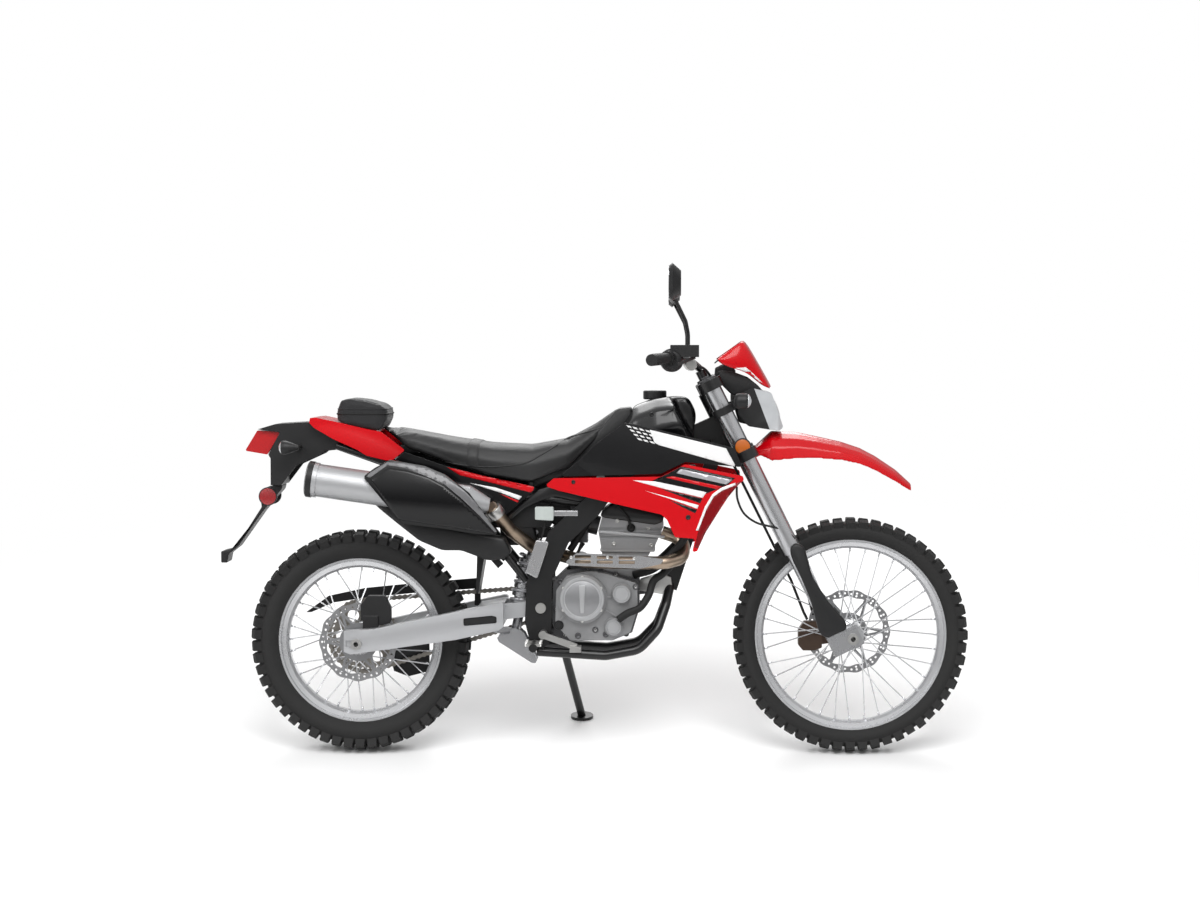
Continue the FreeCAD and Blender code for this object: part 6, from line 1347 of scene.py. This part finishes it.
def maskShell():
    mask = {
        "back": (1040.0, 1052.0), "long": 153.0, "tall": 141.0, "half": 98.0, "tip": 0.52, "thick": 2.6,
        "across": 12,
        "edge": [(0.0, 0.653), (0.2, 0.81), (0.425, 0.986), (0.49, 1.0), (0.62, 0.77), (0.8, 0.43),
                 (1.0, 0.043)],
        "low": [(0.0, 0.653), (0.098, 0.525), (0.33, 0.45), (0.569, 0.369), (0.72, 0.24), (0.86, 0.10),
                (1.0, 0.043)],
    }
    x, z = mask["back"]

    def halfAt(share):  # half the width, narrower towards the lamp
        return mask["half"] * (1 - (1 - mask["tip"]) * max(0.0, min(1.0, (share - 0.35) / 0.65)) ** 1.1)

    build = bmesh.new()
    top = [(x + a * mask["long"], z + b * mask["tall"], halfAt(a)) for a, b in mask["edge"]]
    low = [(x + a * mask["long"], z + b * mask["tall"], halfAt(a)) for a, b in mask["low"]]
    sides = {}
    for side in (-1, 1):
        upper = []
        lower = []
        for (a, c, half), (d, f, wide) in zip(top, low):
            upper.append(build.verts.new(place(a, side * half * 0.9, c)))
            lower.append(build.verts.new(place(d, side * wide, f)))
        rows = [upper]
        for share in (0.25, 0.5, 0.75):
            rows.append([build.verts.new(first.co.lerp(second.co, share)
                                         + direction(0, side, 0) * 0.006 * math.sin(math.pi * share))
                         for first, second in zip(upper, lower)])
        rows.append(lower)
        for one, other in zip(rows, rows[1:]):
            for index in range(len(one) - 1):
                build.faces.new((one[index], one[index + 1], other[index + 1], other[index]))
        sides[side] = upper
    right = sides[-1]
    left = sides[1]
    previous = None
    for index in range(2, len(right)):
        row = [right[index]]
        for step in range(1, mask["across"]):
            share = step / mask["across"]
            bulge = 0.007 * math.sin(math.pi * share)
            row.append(build.verts.new(right[index].co.lerp(left[index].co, share)
                                       + direction(0.8, 0, 0.6) * bulge))
        row.append(left[index])
        if previous:
            for step in range(mask["across"]):
                build.faces.new((previous[step], previous[step + 1], row[step + 1], row[step]))
        previous = row
    bmesh.ops.remove_doubles(build, verts=build.verts, dist=0.0001)
    bmesh.ops.recalc_face_normals(build, faces=build.faces)
    item = addShape("mask_shell", build, ["redPlastic"])
    shell = item.modifiers.new("shell", "SOLIDIFY")
    shell.thickness = mask["thick"] / 1000
    shell.offset = 0
    divide = item.modifiers.new("divide", "SUBSURF")
    divide.levels = 1
    divide.render_levels = 1
    evaluated(item)
    item.data.set_sharp_from_angle(angle=math.radians(50))
    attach(item, "steering")
    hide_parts("headlamp_mask")
    for side, word in bothSides:
        streak = [(1062, 1116), (1122, 1120), (1137, 1108), (1172, 1074), (1166, 1070), (1140, 1094),
                  (1120, 1107)]
        inlay("mask_streak_" + word, streak, side, [item], "stripeWhite", 0.4, body="steering")


def cutFinish(name, point, facing, finishName):  # another finish on the part beyond a plane
    item = bpy.data.objects[name]
    item.data.materials.append(finishes[finishName])
    build = bmesh.new()
    build.from_mesh(item.data)
    origin = place(*point)
    normal = direction(*facing)
    bmesh.ops.bisect_plane(build, geom=build.verts[:] + build.edges[:] + build.faces[:], plane_co=origin,
                           plane_no=normal)
    for face in build.faces:
        if (face.calc_center_median() - origin).dot(normal) > 0:
            face.material_index = len(item.data.materials) - 1
    build.to_mesh(item.data)
    build.free()


lampsAndGlass()
maskShell()
cutFinish("headlamp_moulded", (1166, 0, 1008), (81, 0, 31), "lampClear")
print("lamps, mask and glass set")


# Engine: the round covers' faces, the head's cover, its pipes and brackets

def engineDetail():
    engine = {
        "clutch": (clutchCentre[0], -150.0, clutchCentre[1]), "filter": (766.0, -140.0, 470.0),
        "pump": (742.0, -138.0, 374.0),
        "filler": (585.0, -122.0, 378.0), "generator": (726.0, 134.0, 440.0),
    }
    ringProfile = [(0, 0), (0, 1.6), (0.70, 1.6), (0.73, 0.4), (0.79, 0.4), (0.82, 2.6), (0.90, 2.6),
                   (0.93, 0.6), (0.93, -2)]
    for name, radius, side in (("clutch", 68, -1), ("filter", 27, -1), ("pump", 24, -1),
                               ("generator", 67, 1)):
        profile = [(r * radius, h) for r, h in ringProfile]
        turnedBody(name + "_face", engine[name], (0, side, 0), profile, "coverAlloy", "chassis", 64)
    x, y, z = engine["clutch"]
    prism("clutch_rib", [(x - 5, z - 40), (x + 5, z - 40), (x + 9, z + 40), (x - 9, z + 40)], y - 4, y - 1,
          1.2, "coverAlloy")
    fillerProfile = [(0, 0), (0, 9), (9, 9), (10, 6), (13, 6), (14, 4), (14, -3)]
    turnedBody("oil_filler", engine["filler"], (0, -1, 0), fillerProfile, "blackPlastic", "chassis", 32)
    prism("head_cover", [(703, 690), (708, 706), (746, 731), (882, 699), (888, 690), (882, 672), (860, 664),
                         (716, 684)], -77, 77, 5, "framePaint")
    prism("head_joint", [(699, 640), (699, 648), (890, 634), (888, 626)], -75.5, 75.5, 1.2, "coverAlloy")
    prism("barrel_joint", [(704, 586), (702, 594), (862, 594), (860, 586)], -72, 72, 1.5, "coverAlloy")
    for side, word in bothSides:
        prism("engine_bracket_" + word, [(812, 470), (818, 500), (880, 520), (908, 508), (912, 472),
                                         (886, 458)],
              side * 24 - 3, side * 24 + 3, 1.5, "zincSteel")
        pipe("coolant_hose_" + word, [(872, side * 30, 690), (905, side * 34, 712), (930, side * 60, 748),
                                      (956, side * 84, 770)], 13, "gripRubber")
        pipe("low_hose_" + word, [(800, side * 70, 520), (860, side * 92, 540), (925, side * 96, 600),
                                  (960, side * 96, 648)], 11, "gripRubber")
        turnedBody("plug_cap_" + word, (792, side * 66, 655), (0, side, 0),
                   [(0, 0), (0, 10), (7, 10), (9, 8), (9, 0), (12, 0), (12, -2)],
                   "gripRubber", "chassis", 24)
    collar = [(20.0, -14), (24.5, -14), (25.5, -12), (25.5, 12), (24.5, 14), (20.0, 14)]
    turnedBody("exhaust_clamp", (405, -163, 706), (-0.55, -0.32, 0.77), collar, "zincSteel", "chassis", 32)
    tail = Vector((-132, -172, 802))
    nose = Vector((330, -172, 736))
    back = (tail - nose).normalized()
    endProfile = [(0, -40), (21, -40), (21, 2.5), (27, 4), (46, 2), (52, -2), (52, -17), (48, -18)]
    turnedBody("muffler_end", tail, tuple(back), endProfile, "blackPlastic", "chassis", 64)
    fasteners("guard_bolts", [((x, -161.0, z), (0, -1, 0), 5.0)
                              for x, z in ((622, 577), (726, 577), (802, 574))],
              "zincSteel", "chassis")


def hosesAndFillers():
    hoses = {  # the points of its route, and its radius
        "water_hose": ([(757, -148, 398), (785, -150, 417), (818, -140, 431), (843, -120, 465),
                        (857, -100, 504),
                        (885, -92, 526), (918, -88, 560)], 11.0),
        "breather_hose": ([(615, -62, 590), (637, -66, 624), (665, -64, 669), (690, -60, 715)], 10.0),
        "relay_wire": ([(545, -116, 676), (540, -118, 646), (531, -112, 618), (524, -96, 600)], 3.0),
        "overflow_hose_a": ([(648, -50, 612), (631, -54, 567), (606, -56, 522), (585, -56, 454),
                             (578, -56, 390)], 4.0),
        "overflow_hose_b": ([(655, -30, 608), (622, -34, 560), (600, -34, 510), (592, -34, 450)], 4.0),
        "spark_lead": ([(792, -74, 655), (780, -86, 690), (740, -70, 730), (700, -40, 742)], 4.0),
    }
    for name, (points, radius) in hoses.items():
        pipe(name, points, radius, "gripRubber")
    starter = [(0, -62), (26, -62), (30, -58), (30, 44), (26, 50), (26, 62), (0, 62)]
    turnedBody("starter_motor", (642, 0, 548), (0, 1, 0), starter, "darkAlloy", "chassis", 40)
    blocks = {  # outline, half width, rounding, finish
        "seat_nose_lining": ([(752, 1000), (793, 1004), (796, 958), (604, 807), (512, 770), (486, 782),
                              (600, 860),
                              (690, 930)], 64, 8, "seatVinyl"),
        "intake_boot": ([(560, 662), (560, 716), (640, 704), (652, 690), (652, 650), (640, 640)], 30, 10,
                        "gripRubber"),
    }
    for name, (outline, half, edge, finishName) in blocks.items():
        prism(name, outline, -half, half, edge, finishName)


def bodyDetail():
    prism("muffler_belly", [(43, 745), (82, 740), (154, 690), (374, 640), (430, 634), (452, 590), (430, 572),
                            (385, 568), (308, 597),
                            (253, 597), (187, 625), (126, 673), (76, 714)], -176, -92, 9, "blackPlastic")
    pads = {  # what shows dark through the joints between the covers: outline, half width, rounding
        "seat_joint_pad": ([(490, 752), (500, 798), (590, 800), (640, 744), (640, 702), (545, 702)], 26, 4),
        "tail_joint_pad": ([(118, 868), (122, 896), (172, 896), (176, 870)], 60, 4),
        "airbox_lower": ([(407, 690), (502, 690), (522, 613), (468, 603), (429, 603), (414, 622)], 64, 8),
    }
    for name, (outline, half, edge) in pads.items():
        prism(name, outline, -half, half, edge, "blackPlastic")
    for side, word in bothSides:
        low, high = sorted((side * 84, side * 96))
        prism("frame_gusset_" + word, [(425, 682), (481, 730), (526, 768), (556, 776), (669, 744), (666, 727),
                                       (577, 747),
                                       (549, 741), (487, 715), (432, 668)], low, high, 3, "framePaint")
        low, high = sorted((side * 122.6, side * 126.6))
        prism("arm_panel_" + word, [(312, 367), (308, 398), (406, 417), (406, 384)], low, high, 0.8,
              "blackPlastic")
    # painted shade: dark discs at the engine covers' bolt recesses, standing in for the shade that falls in
    # them
    recessShade = []
    for x, z in ((690, 365), (600, 345), (575, 420), (668, 538), (748, 522), (806, 490), (812, 425),
                 (778, 350), (720, 352),
                 (640, 348), (588, 500), (706, 532)):
        for side in (-1, 1):
            recessShade.append((onSurface(x, z, side, engineCovers, 0.6),
                          (0, side, 0), 9.0))
    fasteners("bolt_wells", recessShade, "darkAlloy", "chassis")


def frontDetail():
    # the tops of its tubes, up the steering axis, ahead of it and aside
    fork = {"along": 1204.0, "ahead": 16.0, "aside": 98.0}
    rake = math.radians(machine["rakeDegrees"])
    capX = (machine["wheelbase"] + machine["trail"] + fork["ahead"] * math.cos(rake)
            - fork["along"] * math.sin(rake))
    capZ = fork["ahead"] * math.sin(rake) + fork["along"] * math.cos(rake)
    capProfile = [(0, -3), (26.4, -3), (26.4, 2), (24, 4.5), (15, 4.5), (15, 9), (13, 10.5), (0, 10.5)]
    for side, word in bothSides:
        turnedBody("fork_cap_" + word, (capX, side * fork["aside"], capZ),
                   (-math.sin(rake), 0, math.cos(rake)),
                   capProfile, "darkAlloy", "steering", 32)
    prism("lamp_bracket", [(1041, 1105), (1050, 1112), (1085, 1108), (1128, 1092), (1158, 1068), (1178, 1046),
                           (1160, 1033),
                           (1120, 1028), (1080, 1043), (1052, 1071)], -56, 56, 4, "blackPlastic", "steering")
    guard = [(1248, 592), (1252, 612), (1270, 618), (1290, 606), (1313, 520), (1356, 452), (1410, 392),
             (1412, 368), (1384, 356),
             (1356, 343), (1334, 356), (1323, 394), (1309, 449), (1281, 516), (1256, 567)]
    shields = [prism("fork_shield_" + word, guard, *sorted((side * 102, side * 133)), 9, "blackPlastic",
                     "steering")
               for side, word in bothSides]
    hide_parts("fork_guards")
    prism("lamp_stay", [(1089, 1011), (1104, 960), (1176, 944), (1182, 956), (1137, 975), (1120, 1008)], -48,
          48, 4, "blackPlastic",
          "steering")
    housing = [(0, -16), (24, -16), (31, -12), (33, -6), (33, 9), (29, 14), (24, 22), (19, 24), (0, 24)]
    perch = [(0, -9), (15, -9), (17, -7), (17, 7), (15, 9), (0, 9)]
    for side, word in bothSides:
        turnedBody("bar_housing_" + word, (908, side * 262, 1141), (0.17, side * 0.97, 0.0), housing,
                   "blackPlastic", "steering", 40)
        turnedBody("lever_perch_" + word, (962, side * 214, 1128), (0.2, side * 0.97, 0.0), perch,
                   "zincSteel", "steering", 32)
        route = [(962, side * 214, 1122), (996, side * 160, 1120), (1022, side * 96, 1090),
                 (1030, side * 62, 1040),
                 (1018, side * 52, 985)]
        pipe("bar_cable_" + word, route, 3.5, "gripRubber", "steering")
    cable = [(1096, -112, 778), (1098, -116, 742), (1116, -118, 702), (1152, -120, 675), (1197, -120, 663),
             (1236, -118, 652),
             (1262, -112, 628)]
    pipe("sensor_cable", cable, 3.2, "gripRubber", "steering")


engineDetail()
hosesAndFillers()
bodyDetail()
frontDetail()
partly("clutch_face", "discAlloy", lambda middle: math.hypot(middle.x - clutchCentre[0],
                                                             middle.z - clutchCentre[1]) < 49)
print("engine detailed")


# Wheels: nipples at the rim

def nipples(name, body, x, z, wheel):
    build = bmesh.new()
    for turn, y in ((0.0, -wheel["offset"]), (2 * math.pi / wheel["spokes"], wheel["offset"])):
        matrix = (Matrix.Rotation(-turn, 4, "Y") @ Matrix.Translation((wheel["reach"] - 5, y, 0))
                  @ Matrix.Rotation(math.pi / 2, 4, "Y"))
        bmesh.ops.create_cone(build, cap_ends=True, segments=10, radius1=2.4, radius2=3.2, depth=13,
                              matrix=matrix)
    item = addShape(name, build, ["spokeSteel"])
    repeatRound(item, wheel["spokes"] // 2, "spokeSteel", 0.001)
    item.data.transform(hubFrame(x, z))
    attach(item, body)


nipples("rear_nipples", "rear_wheel", 0, machine["rearRadius"], {"spokes": 36, "reach": 212.0, "offset": 8.0})
nipples("front_nipples", "front_wheel", machine["wheelbase"], machine["frontRadius"],
        {"spokes": 36, "reach": 253.0, "offset": 6.75})
print("wheels detailed")


# Seams of the seat and the bag, laid on their covers

def laid(name, starts, targets, radius, finishName, body="chassis"):
    surface = surfaceOf([bpy.data.objects[target] for target in targets])
    points = []
    for start, aim in starts:
        origin = place(*start)
        hit, normal, index, distance = surface.ray_cast(origin, (place(*aim) - origin).normalized())
        if hit is not None:
            points.append(hit)
    item = addShape(name, tubeAlong(eased(points, 3), radius / 1000, 8), [finishName])
    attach(item, body)


def strap(arch):  # the flat band across the seat, standing a little proud
    surface = surfaceOf([bpy.data.objects["seat_cover"]])
    build = bmesh.new()
    rows = []
    for index in range(-18, 19):
        turn = math.radians(index * 5.4)
        row = []
        for across, lift in ((-17, 0.0), (-14, 2.2), (-5, 2.6), (5, 2.6), (14, 2.2), (17, 0.0)):
            x = arch["seamX"] - 12 + across - 14 * abs(math.sin(turn))
            origin = place(x, arch["reach"] * math.sin(turn),
                           arch["middleZ"] + arch["reach"] * math.cos(turn))
            hit, normal, face, distance = surface.ray_cast(origin,
                                                           (place(x, 0, arch["middleZ"])
                                                            - origin).normalized())
            if hit is not None:
                row.append(build.verts.new(hit + normal * (lift / 1000)))
        if len(row) == 6:
            rows.append(row)
    for one, other in zip(rows, rows[1:]):
        for step in range(5):
            build.faces.new((one[step], one[step + 1], other[step + 1], other[step]))
    bmesh.ops.recalc_face_normals(build, faces=build.faces)
    item = addShape("seat_strap", build, ["seatVinyl"])
    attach(item, "chassis")


def seams():
    arch = {"seamX": 362.0, "middleZ": 850.0, "reach": 320.0, "zipZ": 985.0, "bagMiddleX": 14.0}
    strap(arch)
    for side, word in bothSides:
        starts = []
        for index in range(25):
            share = index / 24
            x = 96 + share * 640
            z = 779 + 228 * (0.52 - 0.28 * math.sin(math.pi * min(1.0, share * 1.25) * 0.9)
                             + 0.34 * max(0.0, share - 0.62) / 0.38)
            starts.append(((x, side * 300, z), (x, 0, z)))
        laid("seat_piping_" + word, starts, ["seat_cover"], 2.2, "seatVinyl")
    starts = []
    for index in range(41):
        turn = 2 * math.pi * index / 40
        starts.append(((arch["bagMiddleX"] + 300 * math.cos(turn), 300 * math.sin(turn), arch["zipZ"]),
                       (arch["bagMiddleX"], 0, arch["zipZ"])))
    laid("bag_zip", starts, ["tool_bag_cover"], 2.6, "gripRubber")
    laid("bag_piping", [((a, b, c + 14), (d, e, f + 14)) for (a, b, c), (d, e, f) in starts],
         ["tool_bag_cover"], 2.0, "bagNylon")


seams()
print("seams laid")


# The shock's spring and the treads of the foot pegs

def coil(name, start, end, radius, wire, turns, finishName, body):
    start = Vector(start)
    end = Vector(end)
    axis = (end - start).normalized()
    first = axis.orthogonal().normalized()
    second = axis.cross(first)
    points = []
    for index in range(int(turns * 16) + 1):
        turn = 2 * math.pi * index / 16
        points.append(start.lerp(end, index / (turns * 16)) + first * (radius * math.cos(turn))
                      + second * (radius * math.sin(turn)))
    item = addShape(name, tubeAlong(moved([tuple(point) for point in points]), wire / 1000, 8), [finishName])
    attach(item, body)


coil("shock_spring", (462, 0, 400), (499, 0, 570), 31, 5.0, 6.5, "stripeSilver", "chassis")


def pegTreads():
    peg = {"x": 515.0, "z": 334.0, "inner": 128.0, "outer": 208.0, "half": 20.0, "teeth": 7}
    for side, word in bothSides:
        build = bmesh.new()
        step = (peg["outer"] - peg["inner"]) / peg["teeth"]
        for index in range(peg["teeth"]):
            y = side * (peg["inner"] + step * (index + 0.5))
            for x in (peg["x"] - peg["half"], peg["x"] + peg["half"]):
                corners = [(x - 3, y - step / 2, -8), (x + 3, y - step / 2, -8), (x + 3, y + step / 2, -8),
                           (x - 3, y + step / 2, -8),
                           (x - 3, y - step / 5, 4), (x + 3, y - step / 5, 4), (x + 3, y + step / 5, 4),
                           (x - 3, y + step / 5, 4)]
                verts = [build.verts.new(place(a, b, peg["z"] + c)) for a, b, c in corners]
                for loop in ((0, 1, 2, 3), (4, 5, 6, 7), (0, 1, 5, 4), (1, 2, 6, 5), (2, 3, 7, 6),
                             (3, 0, 4, 7)):
                    build.faces.new([verts[turn] for turn in loop])
        for y in (peg["inner"] + 3, peg["outer"] - 3, (peg["inner"] + peg["outer"]) / 2):
            matrix = (machineFrame @ Matrix.Translation((peg["x"], side * y, peg["z"] - 4))
                      @ Matrix.Diagonal((2 * peg["half"], 6, 8, 1)))
            bmesh.ops.create_cube(build, size=1.0, matrix=matrix)
        bmesh.ops.recalc_face_normals(build, faces=build.faces)
        item = addShape("peg_tread_" + word, build, ["zincSteel"], smooth=False)
        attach(item, "chassis")


pegTreads()
print("springs and pegs set")
